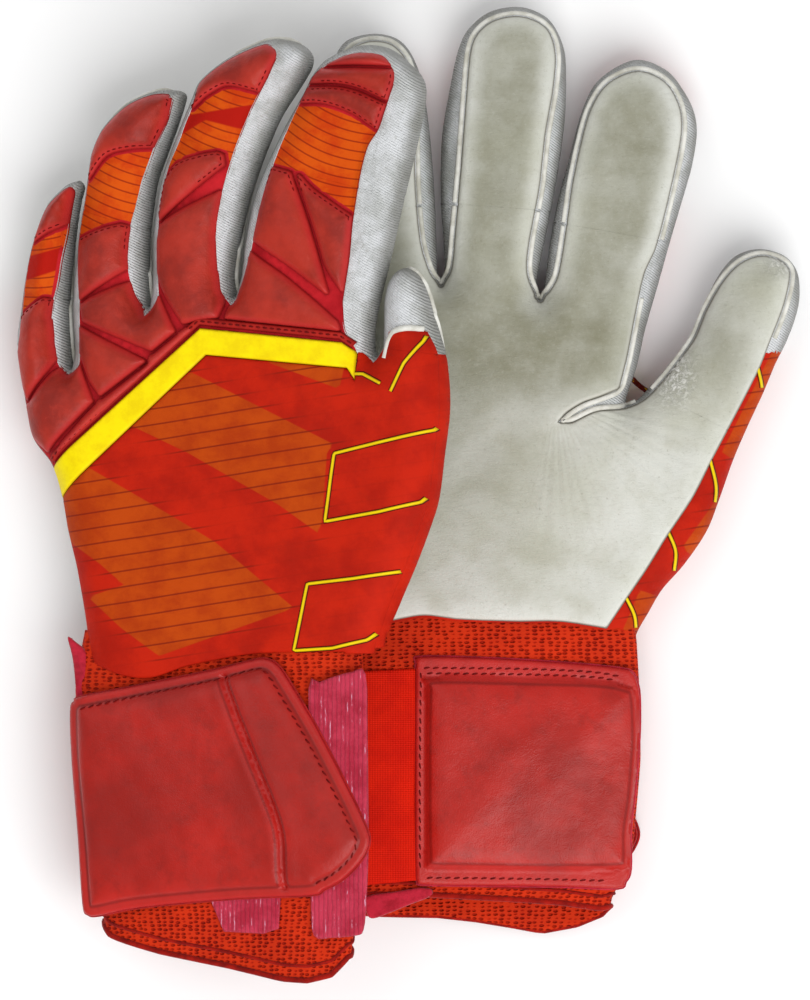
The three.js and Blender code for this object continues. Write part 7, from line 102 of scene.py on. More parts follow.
133.79],[105,134.47],[106.81,134.97],[107.67,135.14],[109.51,135.33]]],"palm":[[[109.3,130.23],[110.65,129.98],[111.34,129.76],[112.68,129.16],[113.93,128.37],[115.02,127.43],[115.48,126.91],[116.26,125.74],[116.6,125.07],[117.17,123.62],[117.61,122.08],[117.93,120.52],[118.12,118.98],[118.16,117.42],[118.08,115.83],[117.89,114.22],[117.35,111.22],[116.66,108.4],[115.74,105.15],[114.57,101.64],[111.33,92.45],[82.75,99.52],[83.6,102.16],[84.75,105.18],[86.05,108.21],[87.45,111.18],[88.89,113.96],[91.36,118.17],[92.32,119.58],[94.56,122.39],[96.84,124.78],[98.23,125.97],[99.74,127.04],[101.35,127.97],[103.66,128.99],[105.28,129.59],[106.94,130.05],[108.55,130.25]]]},"thumb":{"panel":[[[132.77,45.97],[133.19,44.87],[133.61,43.25],[117.05,45.23],[117.65,46.18],[118.64,48.23],[119.52,50.32],[130.72,50.26]]],"gt":[[[122.78,68.91],[123.62,68.68],[124.47,68.29],[125.3,67.79],[126.05,67.19],[126.68,66.55],[127.15,65.91],[128.01,64.33],[129.13,61.57],[130.07,58.89],[132.23,50.85],[133.72,46.43],[134.24,44.64],[134.56,43.14],[133.22,43.3],[132.84,44.76],[132.42,45.84],[130.48,49.91],[119.77,49.96],[118.52,47.03],[117.45,45.18],[115.63,45.4],[115.78,45.9],[115.92,48.03],[115.96,56.83],[116.03,58.51],[116.2,60.08],[116.53,61.83],[117,63.54],[117.61,65.07],[118.47,66.46],[119.08,67.17],[119.77,67.83],[120.51,68.37],[121.27,68.76],[122.01,68.95]]],"gb":[[[122.78,68.91],[123.62,68.68],[124.47,68.29],[125.3,67.79],[126.05,67.19],[126.68,66.55],[127.15,65.91],[128.01,64.33],[129.13,61.57],[130.07,58.89],[132.23,50.85],[133.72,46.43],[134.24,44.64],[134.56,43.14],[130.87,43.58],[130.48,48.94],[130.33,53.79],[129.06,58.6],[127.79,62.17],[127.05,63.93],[126.26,65.38],[125.86,65.92],[125.32,66.46],[124.68,66.98],[123.96,67.41],[123.25,67.74],[122.62,67.91],[122.1,67.35],[121.52,66.45],[121.01,65.37],[120.28,63.1],[120.07,62.02],[119.85,59.72],[119.82,57.46],[120.21,51.94],[120.18,50.86],[120.05,49.85],[119.34,47.05],[118.71,45.03],[115.63,45.4],[115.78,45.9],[115.92,48.03],[115.96,
56.83],[116.03,58.51],[116.2,60.08],[116.53,61.83],[117,63.54],[117.61,65.07],[118.47,66.46],[119.08,67.17],[119.77,67.83],[120.51,68.37],[121.27,68.76],[122.01,68.95]]],"palm":[[[123.38,68.07],[124.14,67.72],[124.9,67.26],[125.58,66.72],[126.15,66.14],[126.57,65.57],[127.39,64.07],[128.48,61.36],[129.41,58.7],[130.7,53.84],[130.97,46.7],[131.25,43.54],[118.33,45.08],[118.84,46.67],[119.68,49.91],[119.81,50.9],[119.83,51.94],[119.5,56.26],[119.44,58.57],[119.56,60.92],[119.91,63.18],[120.66,65.5],[121.19,66.62],[121.8,67.56],[122.48,68.27]]]}}}

HIN = {"right": {"little": {"p": [-29.67, 74.91], "d": [-0.05, 0.9987]}, "ring": {"p": [-5.39, 100.38], "d": [-0.054, 0.9985]}, "middle": {"p": [29.37, 100.38], "d": [0.069, 0.9976]}, "index": {"p": [66.82, 92.29], "d": [0.1701, 0.9854]}, "thumb": {"p": [96.79, 34.46], "d": [0.4552, 0.8904]}}, "left": {"little": {"p": [10.53, 71.25], "d": [0.1564, 0.9877]}, "ring": {"p": [32.78, 93.19], "d": [0.3072, 0.9517]}, "middle": {"p": [65.65, 111.33], "d": [0.3588, 0.9334]}, "index": {"p": [100.17, 105], "d": [0.2561, 0.9667]}, "thumb": {"p": [124.5, 49.11], "d": [0.1262, 0.992]}}}

LMK = [[[45,183],[297,163]],[[13,280],[279,270]],[[9,310],[285,330]],[[140,89],[371,32]],[[257,38],[515,6]],[[355,45],[641,58]],[[60,367],[349,339]],[[138,306],[441,284]],[[224,296],[541,299]],[[366,354],[627,402]],[[392,267],[770,250]],[[424,325],[798,310]],[[373,300],[716,282]],[[76,640],[338,640]],[[373,640],[636,640]],[[8,370],[290,400]],[[22,440],[296,470]],[[56,530],[306,540]],[[436,400],[764,394]],[[413,538],[708,531]],[[77,170],[338,110]],[[74,205],[348,200]],[[143,182],[432,160]],[[135,246],[436,230]],[[182,97],[447,110]],[[265,121],[560,155]],[[149,190],[442,200]],[[239,188],[549,225]],[[275,125],[578,130]],[[399,150],[691,170]],[[372,280],[652,306]],[[245,190],[554,225]],[[57,260],[334,240]],[[198,329],[432,356]],[[43,472],[298,478]],[[76,700],[338,700]],[[373,700],[636,700]]]


# ---------------------------------------------------------------- frame of each glove, millimetres
DIST, ZREF, UNIT, TILT = 3000.0, 20.0, 0.30, math.radians(18.0)
ST, CT = math.sin(TILT), math.cos(TILT)
X0, SX, SY, MID = -112.46981939, 0.45986, -4.165, 11.75
FINGERS = ["little", "ring", "middle", "index", "thumb"]


def place(side, x, y, e):
    """Plan point x, y and height e over the middle of the glove, towards its back, in metres in the row frame."""
    x, y, e = np.broadcast_arrays(np.asarray(x, float), np.asarray(y, float), np.asarray(e, float))
    if side == "right":
        return np.stack([x + SX, y + SY, MID - e], -1) / 1000
    w = MID + e
    return np.stack([X0 + x * CT - w * ST + SX, y + SY, x * ST + w * CT], -1) / 1000


def plan(side, pts, w=24.0):
    """Plan millimetres of a glove from design-sheet units."""
    p = np.asarray(pts, float)
    a, b = (p[:, 0] - 405) * UNIT, (500 - p[:, 1]) * UNIT
    if side == "right":
        k = (DIST - 23.5) / (DIST - ZREF)
        return np.stack([a * k, b * k], -1)
    u = (a * (DIST - w * CT) / (DIST - ZREF) - X0 + w * ST) / (CT + a * ST / (DIST - ZREF))
    z = u * ST + w * CT
    return np.stack([u, b * (DIST - z) / (DIST - ZREF)], -1)


def sheet_units(world):
    """Design-sheet units of points in the row frame, in metres."""
    m = world * 1000
    k = (DIST - ZREF) / (DIST - m[:, 2])
    return np.stack([405 + (m[:, 0] - SX) * k / UNIT, 500 - (m[:, 1] - SY) * k / UNIT], -1)


def ease(x):
    x = np.clip(x, 0, 1)
    return x * x * (3 - 2 * x)


def prof(t):
    t = np.clip(t, 0, 1)
    return np.sqrt(np.maximum(0.0, 1 - (1 - t) ** 2))


def wob(P, s=1.0, ph=0.0):
    x, y = P[:, 0], P[:, 1]
    return s * (np.sin(x * 0.13 + ph) * np.cos(y * 0.11 - ph * 1.7) + 0.5 * np.sin(x * 0.31 - y * 0.23 + ph * 2.1) + 0.3 * np.cos(x * 0.57 + y * 0.41 + ph)) / 1.8


def seg_dist(P, A, B):
    """Distance from each point to the nearest segment, that segment's index and the place along it."""
    P = np.asarray(P, float)
    n = len(P)
    d_, i_, t_ = np.zeros(n), np.zeros(n, int), np.zeros(n)
    ab = B - A
    L2 = np.maximum((ab * ab).sum(1), 1e-12)
    step = max(1, int(1500000 / max(1, len(A))))
    for k in range(0, n, step):
        p = P[k : k + step]
        ap = p[:, None, :] - A[None]
        t = np.clip((ap * ab).sum(-1) / L2, 0, 1)
        d2 = ((ap - t[..., None] * ab) ** 2).sum(-1)
        i = d2.argmin(1)
        r = np.arange(len(p))
        d_[k : k + step], i_[k : k + step], t_[k : k + step] = np.sqrt(d2[r, i]), i, t[r, i]
    return d_, i_, t_


def segs(contours):
    A = np.concatenate([np.asarray(c, float) for c in contours])
    B = np.concatenate([np.roll(np.asarray(c, float), -1, 0) for c in contours])
    return A, B


def dist(P, contours):
    A, B = segs(contours)
    return seg_dist(P, A, B)[0]


def inside(P, contours):
    P = np.asarray(P, float)
    A, B = segs(contours)
    out = np.zeros(len(P), bool)
    step = max(1, int(1500000 / max(1, len(A))))
    for k in range(0, len(P), step):
        x, y = P[k : k + step, 0][:, None], P[k : k + step, 1][:, None]
        c = (A[:, 1] > y) != (B[:, 1] > y)
        dy = np.where(np.abs(B[:, 1] - A[:, 1]) < 1e-12, 1e-12, B[:, 1] - A[:, 1])
        xx = (B[:, 0] - A[:, 0]) * (y - A[:, 1]) / dy + A[:, 0]
        out[k : k + step] = (c & (x < xx)).sum(1) % 2 == 1
    return out


def resample(c, step):
    c = np.asarray(c, float)
    out = []
    for a, b in zip(c, np.roll(c, -1, 0)):
        n = max(1, int(math.ceil(np.linalg.norm(b - a) / step)))
        out += [a + (b - a) * k / n for k in range(n)]
    out = np.array(out)
    keep = np.linalg.norm(out - np.roll(out, 1, 0), axis=1) > 0.04
    return out[keep] if keep.sum() > 3 else out


def resample_open(c, step):
    c = np.asarray(c, float)
    s = np.concatenate([[0], np.cumsum(np.linalg.norm(np.diff(c, axis=0), axis=1))])
    n = max(2, int(round(s[-1] / step)) + 1)
    q = np.linspace(0, s[-1], n)
    return np.stack([np.interp(q, s, c[:, 0]), np.interp(q, s, c[:, 1])], -1)


def spline(c, n=8, closed=False):
    """Catmull-Rom through the points."""
    c = np.asarray(c, float)
    m = len(c)
    out = []
    last = m if closed else m - 1
    for i in range(last):
        p1, p2 = c[i], c[(i + 1) % m]
        p0 = c[i - 1] if (closed or i > 0) else 2 * p1 - p2
        p3 = c[(i + 2) % m] if (closed or i + 2 < m) else 2 * p2 - p1
        for k in range(n):
            t = k / n
            out.append(0.5 * (2 * p1 + (p2 - p0) * t + (2 * p0 - 5 * p1 + 4 * p2 - p3) * t * t + (3 * p1 - p0 - 3 * p2 + p3) * t**3))
    if not closed:
        out.append(c[-1])
    return np.array(out)


def round_corners(c, r, n=5):
    """A closed outline with its corners cut back by up to r and rounded."""
    c = np.asarray(c, float)
    out = []
    for a, b, d in zip(np.roll(c, 1, 0), c, np.roll(c, -1, 0)):
        u, v = a - b, d - b
        lu, lv = np.linalg.norm(u), np.linalg.norm(v)
        q = min(r, 0.45 * lu, 0.45 * lv)
        s, e = b + u / lu * q, b + v / lv * q
        for k in range(n + 1):
            t = k / n
            out.append((1 - t) ** 2 * s + 2 * t * (1 - t) * b + t * t * e)
    return np.array(out)


def triangulate(contours, step, rings=(0.18, 0.5, 1.0, 1.7, 2.6), bstep=0.95, loops=None, extra=None):
    """Triangles inside closed outlines: fine rows along the outline, and a hexagonal grid inside."""
    loops = loops or [resample(c, bstep) for c in contours]
    V = np.concatenate(loops)
    E, k = [], 0
    for L in loops:
        E += [(k + i, k + (i + 1) % len(L)) for i in range(len(L))]
        k += len(L)
    A, B = segs(loops)
    pts = []
    for d in rings:
        for L in loops:
            t = np.roll(L, -1, 0) - np.roll(L, 1, 0)
            t /= np.maximum(np.linalg.norm(t, axis=1)[:, None], 1e-9)
            nrm = np.stack([-t[:, 1], t[:, 0]], -1)
            for sg in (1, -1):
                q = L + sg * nrm * d
                q = q[seg_dist(q, A, B)[0] > 0.9 * d]
                if len(q):
                    pts.append(q[inside(q, loops)])
    last = rings[-1] if rings else 0.0
    lo, hi = V.min(0), V.max(0)
    ny, nx = int((hi[1] - lo[1]) / (step * 0.866)) + 2, int((hi[0] - lo[0]) / step) + 2
    gy, gx = np.mgrid[0:ny, 0:nx]
    G = np.stack([lo[0] + (gx + 0.5 * (gy % 2)) * step, lo[1] + gy * step * 0.866], -1).reshape(-1, 2)
    G = G[inside(G, loops)]
    if len(G):
        G = G[seg_dist(G, A, B)[0] > last + 0.55 * step]
        pts.append(G)
    if extra is not None and len(extra):
        q = extra[inside(extra, loops)]
        if len(q):
            pts.append(q[seg_dist(q, A, B)[0] > 0.25])
    P = np.concatenate([p for p in pts if len(p)]) if any(len(p) for p in pts) else np.zeros((0, 2))
    if len(P):
        cell = np.round(P / 0.42).astype(int)
        _, first = np.unique(cell, axis=0, return_index=True)
        P = P[np.sort(first)]
    allp = np.concatenate([V, P])
    v, e, f, ov, oe, of = delaunay_2d_cdt([Vector((float(a), float(b))) for a, b in allp], E, [], 0, 1e-6, True)
    v = np.array([(a[0], a[1]) for a in v], float)
    T = np.array([t for t in f if len(t) == 3], int)
    cen = v[T].mean(1)
    T = T[inside(cen, loops)]
    a, b, c = v[T[:, 0]], v[T[:, 1]], v[T[:, 2]]
    ar = (b[:, 0] - a[:, 0]) * (c[:, 1] - a[:, 1]) - (b[:, 1] - a[:, 1]) * (c[:, 0] - a[:, 0])
    T[ar < 0] = T[ar < 0][:, ::-1]
    T = T[np.abs(ar) > 1e-7]
    used, inv = np.unique(T, return_inverse=True)
    return v[used], inv.reshape(-1, 3)


def normals(V, F):
    n = np.cross(V[F[:, 1]] - V[F[:, 0]], V[F[:, 2]] - V[F[:, 0]])
    out = np.zeros_like(V)
    for k in range(3):
        np.add.at(out, F[:, k], n)
    return out / np.maximum(np.linalg.norm(out, axis=1)[:, None], 1e-15)


def oriented(V, F, way):
    n = np.cross(V[F[:, 1]] - V[F[:, 0]], V[F[:, 2]] - V[F[:, 0]]).sum(0)
    return F if n @ np.asarray(way) > 0 else F[:, ::-1]


def boundary(F):
    e = np.concatenate([F[:, [0, 1]], F[:, [1, 2]], F[:, [2, 0]]])
    key = np.sort(e, 1)
    _, inv, cnt = np.unique(key, axis=0, return_inverse=True, return_counts=True)
    return e[cnt[inv.reshape(-1)] == 1]


def thicken(V, F, t, attrs):
    """A closed solid: the outer face, its inner copy t metres in, and walls along the open edges."""
    n = normals(V, F)
    tt = t if np.ndim(t) else np.full(len(V), t)
    W = V - n * tt[:, None]
    e = boundary(F)
    k = len(V)
    Q = np.concatenate([np.stack([e[:, 1], e[:, 0], e[:, 0] + k], 1), np.stack([e[:, 1], e[:, 0] + k, e[:, 1] + k], 1)])
    return np.concatenate([V, W]), np.concatenate([F, F[:, ::-1] + k, Q]), {a: np.concatenate([x, x]) for a, x in attrs.items()}


def mesh(name, V, F, mat, attrs=None, smooth=True):
    me = bpy.data.meshes.new(name)
    V, F = np.ascontiguousarray(V, np.float32), np.ascontiguousarray(F, np.int32)
    me.vertices.add(len(V))
    me.vertices.foreach_set("co", V.ravel())
    me.loops.add(F.size)
    me.loops.foreach_set("vertex_index", F.ravel())
    me.polygons.add(len(F))
    me.polygons.foreach_set("loop_start", np.arange(0, F.size, 3, dtype=np.int32))
    me.polygons.foreach_set("loop_total", np.full(len(F), 3, np.int32))
    me.update(calc_edges=True)
    me.validate()
    me.polygons.foreach_set("use_smooth", np.full(len(me.polygons), smooth))
    for a, x in (attrs or {}).items():
        x = np.asarray(x, np.float32)
        if x.ndim == 2:
            at = me.attributes.new(a, "FLOAT_VECTOR", "POINT")
            at.data.foreach_set("vector", x.ravel())
        else:
            at = me.attributes.new(a, "FLOAT", "POINT")
            at.data.foreach_set("value", x)
    o = bpy.data.objects.new(name, me)
    bpy.context.scene.collection.objects.link(o)
    me.materials.append(mat)
    return o


class Heap:
    """Collects solids that share one material into one mesh."""

    def __init__(self):
        self.v, self.f, self.a, self.n = [], [], [], 0

    def add(self, V, F, attrs):
        self.v.append(V)
        self.f.append(F + self.n)
        self.a.append(attrs)
        self.n += len(V)

    def make(self, name, mat):
        keys = self.a[0].keys()
        return mesh(name, np.concatenate(self.v), np.concatenate(self.f), mat, {k: np.concatenate([a[k] for a in self.a]) for k in keys})


# ---------------------------------------------------------------- thin-plate map from one glove's sheet to the other's
def tps(src, dst, reg=30000.0):
    src, dst = np.asarray(src, float), np.asarray(dst, float)
    n = len(src)

    def U(r2):
        return np.where(r2 < 1e-9, 0, r2 * np.log(np.maximum(r2, 1e-9)))

    K = U(((src[:, None] - src[None]) ** 2).sum(-1)) + np.eye(n) * reg
    Pm = np.concatenate([np.ones((n, 1)), src], 1)
    M = np.block([[K, Pm], [Pm.T, np.zeros((3, 3))]])
    W = np.linalg.solve(M, np.concatenate([dst, np.zeros((3, 2))]))
    return lambda p: U(((p[:, None] - src[None]) ** 2).sum(-1)) @ W[:n] + np.concatenate([np.ones((len(p), 1)), p], 1) @ W[n:]


TO_LEFT = tps([b for a, b in LMK], [a for a, b in LMK])


def design(side, world):
    """Place on the printed design, in hundreds of sheet units of the left glove."""
    p = sheet_units(world)
    if side == "right":
        p = TO_LEFT(p)
    return np.concatenate([p / 100, np.zeros((len(p), 1))], 1)


class Side:
    def __init__(self, name):
        self.name, self.R = name, REG[name]
        c = np.asarray(self.R["S"], float)
        self.c = c
        A, B = c, np.roll(c, -1, 0)
        keep = ~((A[:, 1] < -60) & (B[:, 1] < -60))
        self.A, self.B = A[keep], B[keep]
        self.len = np.linalg.norm(B - A, axis=1)
        self.cum = np.concatenate([[0], np.cumsum(self.len)])
        self.up = place(name, 0, 0, 1) - place(name, 0, 0, 0)

    def ds(self, P):
        return seg_dist(P, self.A, self.B)[0]

    def base(self, P, d=None):
        d = self.ds(P) if d is None else d
        H = 10.2 * (1 - 0.09 * ease((-P[:, 1] - 22) / 20))
        return H * prof(d / 12.0)

    def snap_loop(self, contour, step=0.9):
        """The outline with every stretch along the glove's edge taken from one shared row of points."""
        c = resample(contour, 3.0)
        A, B = self.c, np.roll(self.c, -1, 0)
        d, i, t = seg_dist(c, A, B)
        arc = self.cum[i] + t * self.len[i]
        on = (d < 0.16) & (c[:, 1] > -60)
        total = self.cum[-1]
        mid = (c + np.roll(c, -1, 0)) / 2
        dm = seg_dist(mid, A, B)[0]
        n = len(c)
        run = [bool(on[k] and on[(k + 1) % n] and dm[k] < 0.2) for k in range(n)]
        out = []
        for k in range(n):
            prev, nxt = run[k - 1], run[k]
            if not (prev and nxt):
                out.append(c[k])
            if nxt:
                s0, s1 = arc[k], arc[(k + 1) % n]
                dl = s1 - s0
                if dl > total / 2:
                    dl -= total
                if dl < -total / 2:
                    dl += total
                s1 = s0 + dl
                lo, hi = min(s0, s1), max(s0, s1)
                m = np.arange(math.ceil((lo + 1e-6) / step), math.floor((hi - 1e-6) / step) + 1) * step
                if dl < 0:
                    m = m[::-1]
                for q in m:
                    q = q % total
                    j = min(np.searchsorted(self.cum, q, side="right") - 1, len(A) - 1)
                    out.append(A[j] + (B[j] - A[j]) * (q - self.cum[j]) / max(self.len[j], 1e-9))
        out = np.array(out)
        keep = np.linalg.norm(out - np.roll(out, 1, 0), axis=1) > 0.03
        out = out[keep]
        # long straight inner edges
        fin = []
        for a, b in zip(out, np.roll(out, -1, 0)):
            m = max(1, int(math.ceil(np.linalg.norm(b - a) / 1.3)))
            fin += [a + (b - a) * k / m for k in range(m)]
        return np.array(fin)


SIDES = {s: Side(s) for s in ("right", "left")}


def bind(o, side, zone, node=None):
    """Hand pieces ride on the hand. Finger pieces stay where they are, with their transform baked into the mesh."""
    if zone == "hand":
        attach(o, side + "_hand")
    elif zone == "strap":
        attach(o, side + "_strap")
    else:
        h = HIN[side][zone]
        p, d = np.array(h["p"]), np.array(h["d"])
        r = {"left": {"little": 9.5, "ring": 8.6, "middle": 6.2, "index": 8.6, "thumb": 4.4}}.get(side, {}).get(zone, 9.5)
        a, b = p - d * r, p + d * r
        tuple(place(side, a[0], a[1], 0))
        tuple(place(side, b[0], b[1], 0))
        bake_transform(o)
    if node:
        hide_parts(*([node] if isinstance(node, str) else node))
    return o


def skin(side, contours, efun, way, step=1.9, rings=(0.18, 0.5, 1.0, 1.7, 2.6), bstep=0.95, edge=None, loops=None):
    """One face of the glove: plan outline, heights from efun(P, d) with d the distance to the edge outline."""
    P, F = triangulate(contours, step, rings, bstep, loops=loops)
    d = dist(P, edge if edge is not None else contours)
    e = efun(P, d)
    V = place(side, P[:, 0], P[:, 1], e)
    F = oriented(V, F, SIDES[side].up * way)
    return P, V, F, d, e


def attrs_of(side, P, V, d, e, **more):
    a = {"lp": np.stack([P[:, 0], P[:, 1], e], -1) / 10, "gp": design(side, V), "ed": d}
    a.update(more)
    return a


# ---------------------------------------------------------------- procedural materials
def lin(c):
    return tuple(((v / 255) / 12.92 if v / 255 <= 0.04045 else ((v / 255 + 0.055) / 1.055) ** 2.4) for v in c) + (1.0,)


class M:
    """A small helper round one material's node tree."""

    def __init__(self, name, rough=0.7, sheen=0.0, spec=0.4):
        self.m = bpy.data.materials.new(name)
        self.m.use_nodes = True
        self.t = self.m.node_tree
        self.t.nodes.clear()
        self.out = self.t.nodes.new("ShaderNodeOutputMaterial")
        self.b = self.t.nodes.new("ShaderNodeBsdfPrincipled")
        self.t.links.new(self.b.outputs[0], self.out.inputs[0])
        self.b.inputs["Roughness"].default_value = rough
        if "Specular IOR Level" in self.b.inputs:
            self.b.inputs["Specular IOR Level"].default_value = spec
        if sheen and "Sheen Weight" in self.b.inputs:
            self.b.inputs["Sheen Weight"].default_value = sheen
            self.b.inputs["Sheen Roughness"].default_value = 0.5
        self.h = []

    def n(self, kind):
        return self.t.nodes.new(kind)

    def put(self, socket, v):
        if hasattr(v, "is_linked") or isinstance(v, bpy.types.NodeSocket):
            self.t.links.new(v, socket)
        else:
            socket.default_value = v

    def attr(self, name, vec=False):
        a = self.n("ShaderNodeAttribute")
        a.attribute_name = name
        return a.outputs["Vector"] if vec else a.outputs["Fac"]

    def math(self, op, a, b=0.0, c=None, clamp=False):
        x = self.n("ShaderNodeMath")
        x.operation, x.use_clamp = op, clamp
        self.put(x.inputs[0], a)
        self.put(x.inputs[1], b)
        if c is not None:
            self.put(x.inputs[2], c)
        return x.outputs[0]

    def mapr(self, v, a, b, c=0.0, d=1.0, smooth=True):
        x = self.n("ShaderNodeMapRange")
        x.interpolation_type = "SMOOTHSTEP" if smooth else "LINEAR"
        for i, q in enumerate((v, a, b, c, d)):
            self.put(x.inputs[i], q)
        return x.outputs[0]

    def vec(self, v, scale=(1, 1, 1), rot=(0, 0, 0)):
        x = self.n("ShaderNodeMapping")
        self.put(x.inputs["Vector"], v)
        x.inputs["Scale"].default_value = scale
        x.inputs["Rotation"].default_value = rot
        return x.outputs[0]

    def noise(self, v, scale, detail=3.0, rough=0.55, dist=0.0):
        x = self.n("ShaderNodeTexNoise")
        self.put(x.inputs["Vector"], v)
        x.inputs["Scale"].default_value = scale
        x.inputs["Detail"].default_value = detail
        x.inputs["Roughness"].default_value = rough
        x.inputs["Distortion"].default_value = dist
        return x.outputs[0]

    def cells(self, v, scale, feature="F1", out="Distance", rand=1.0):
        x = self.n("ShaderNodeTexVoronoi")
        x.feature = feature
        self.put(x.inputs["Vector"], v)
        x.inputs["Scale"].default_value = scale
        x.inputs["Randomness"].default_value = rand
        return x.outputs[out]

    def wave(self, v, scale, dist=0.0, direction="X", profile="SIN", dscale=1.0):
        x = self.n("ShaderNodeTexWave")
        x.wave_type, x.bands_direction, x.wave_profile = "BANDS", direction, profile
        self.put(x.inputs["Vector"], v)
        x.inputs["Scale"].default_value = scale
        x.inputs["Distortion"].default_value = dist
        x.inputs["Detail Scale"].default_value = dscale
        return x.outputs["Fac"]

    def mix(self, f, a, b, mode="MIX"):
        x = self.n("ShaderNodeMix")
        x.data_type, x.blend_type = "RGBA", mode
        self.put(x.inputs[0], f)
        self.put(x.inputs[6], lin(a) if isinstance(a, tuple) and len(a) == 3 else a)
        self.put(x.inputs[7], lin(b) if isinstance(b, tuple) and len(b) == 3 else b)
        return x.outputs[2]

    def color(self, v):
        self.put(self.b.inputs["Base Color"], v)

    def rough(self, v):
        self.put(self.b.inputs["Roughness"], v)

    def bump(self, height, dist=0.0003, strength=0.5):
        x = self.n("ShaderNodeBump")
        x.inputs["Strength"].default_value = strength
        x.inputs["Distance"].default_value = dist
        self.put(x.inputs["Height"], height)
        if self.h:
            self.t.links.new(self.h[-1], x.inputs["Normal"])
        self.h.append(x.outputs[0])
        if self.b.inputs["Normal"].is_linked:
            self.t.links.remove(self.b.inputs["Normal"].links[0])
        self.t.links.new(x.outputs[0], self.b.inputs["Normal"])


def mat_palm():
    k = M("palm_latex", rough=0.82, spec=0.25)
    lp, ed = k.attr("lp", True), k.attr("ed")
    big = k.mapr(k.noise(lp, 0.30, 3, 0.55), 0.36, 0.66)
    c = k.mix(big, (214, 215, 208), (196, 197, 184))
    mid = k.mapr(k.noise(lp, 1.1, 5, 0.62), 0.42, 0.70)
    c = k.mix(k.math("MULTIPLY", mid, 0.30), c, (170, 168, 148))
    # Grey-olive darkening from the wear attribute. Part of it is dirt on the latex. Part of it is painted shade that
    # darkens the fingers and upper palm and lightens the heel.
    worn_and_shaded = k.attr("wear")
    c = k.mix(k.math("MULTIPLY", worn_and_shaded, k.mapr(k.noise(lp, 0.7, 4, 0.6), 0.25, 0.72, 0.66, 0.96)), c, (122, 120, 96))
    fine = k.noise(lp, 9.0, 6, 0.75)
    c = k.mix(k.mapr(fine, 0.52, 0.76, 0.0, 0.16), c, (226, 225, 216))
    c = k.mix(k.mapr(fine, 0.26, 0.44, 0.45, 0.0), c, (122, 117, 96))
    c = k.mix(k.mapr(ed, 0.6, 1.9, 0.45, 0.0), c, (214, 213, 204))
    # Painted shade: a dark line in the groove along the latex's rolled edge.
    c = k.mix(k.mapr(ed, 0.15, 0.75, 0.8, 0.0), c, (92, 86, 72))
    sc = k.attr("scuff")
    flake = k.mapr(k.noise(lp, 6.5, 6, 0.8, 0.6), 0.47, 0.56)
    c = k.mix(k.math("MULTIPLY", sc, k.mapr(k.noise(lp, 6.5, 6, 0.8, 0.6), 0.38, 0.44, 0.55, 0.0)), c, (70, 68, 60))
    c = k.mix(k.math("MULTIPLY", sc, flake), c, (246, 245, 240))
    k.color(c)
    k.bump(k.noise(lp, 34.0, 4, 0.7), 0.0004, 0.45)
    k.bump(k.cells(lp, 16.0), 0.00025, 0.2)
    k.bump(k.noise(k.vec(lp, (0.8, 2.6, 1), (0, 0, -0.5)), 3.2, 4, 0.6, 0.6), 0.0008, 0.28)
    k.bump(k.math("MULTIPLY", k.attr("crease"), k.wave(k.attr("fan", True), 1.3, 3.0, "X", "SIN", 2.0)), 0.0006, 0.25)
    k.bump(k.math("MULTIPLY", sc, flake), 0.0009, 0.6)
    return k.m


def mat_gusset():
    k = M("gusset_latex", rough=0.7, spec=0.35)
    lp = k.attr("lp", True)
    c = k.mix(k.mapr(k.noise(lp, 1.1, 4, 0.6), 0.38, 0.68), (220, 222, 224), (190, 192, 190))
    c = k.mix(k.mapr(k.noise(lp, 5.0, 5, 0.7), 0.55, 0.75, 0.0, 0.5), c, (146, 140, 122))
    rib = k.wave(k.vec(lp, (1, 1, 0.6), (0, 0, math.radians(34))), 4.6, 1.2, "Y", "SIN", 1.5)
    # Painted shade in the troughs of the ribs: darker where the rib bump is low.
    c = k.mix(k.mapr(rib, 0.0, 0.4, 0.20, 0.0), c, (158, 160, 160))
    c = k.mix(k.mapr(k.noise(k.vec(lp, (1.6, 0.5, 1)), 2.6, 5, 0.7, 0.5), 0.30, 0.44, 0.28, 0.0), c, (150, 150, 146))
    # Painted shade: darker towards the glove's outline, where the side walls turn down and meet.
    c = k.mix(k.mapr(k.attr("ed"), 0.2, 3.2, 0.62, 0.0), c, (104, 102, 92))
    k.color(c)
    k.bump(rib, 0.0006, 0.6)
    k.bump(k.noise(k.vec(lp, (1.5, 0.6, 1)), 3.4, 5, 0.65, 0.8), 0.0016, 0.45)
    k.bump(k.noise(lp, 30.0, 3, 0.7), 0.0003, 0.35)
    return k.m


def mat_pad():
    k = M("moulded_pad", rough=0.42, spec=0.2)
    lp, ed = k.attr("lp", True), k.attr("ed")
    c = k.mix(k.mapr(k.noise(lp, 0.55, 4, 0.6), 0.36, 0.66), (172, 44, 29), (138, 34, 24))
    c = k.mix(k.mapr(k.noise(lp, 1.9, 5, 0.65), 0.46, 0.72, 0.0, 0.6), c, (176, 50, 37))
    # Pinker band near each pad's edge: partly the pad's own edge colour, partly painted highlight on the rounded rim.
    # The darker line at the very edge is painted shade in the groove round the pad.
    c = k.mix(k.mapr(ed, 0.5, 2.4, 0.62, 0.0), c, (196, 46, 48))
    c = k.mix(k.mapr(ed, 0.1, 0.6, 0.75, 0.0), c, (140, 20, 24))
    grit = k.noise(lp, 14.0, 6, 0.8)
    c = k.mix(k.mapr(grit, 0.6, 0.78, 0.0, 0.55), c, (84, 16, 13))
    c = k.mix(k.mapr(k.noise(lp, 2.6, 6, 0.8, 0.8), 0.6, 0.74, 0.0, 0.35), c, (190, 72, 62))
    k.color(c)
    k.rough(k.mapr(k.noise(lp, 3.0, 4, 0.6), 0.3, 0.7, 0.38, 0.56))
    k.bump(k.cells(lp, 20.0, "F1"), 0.00018, 0.25)
    k.bump(k.noise(lp, 4.0, 4, 0.6), 0.0007, 0.25)
    return k.m


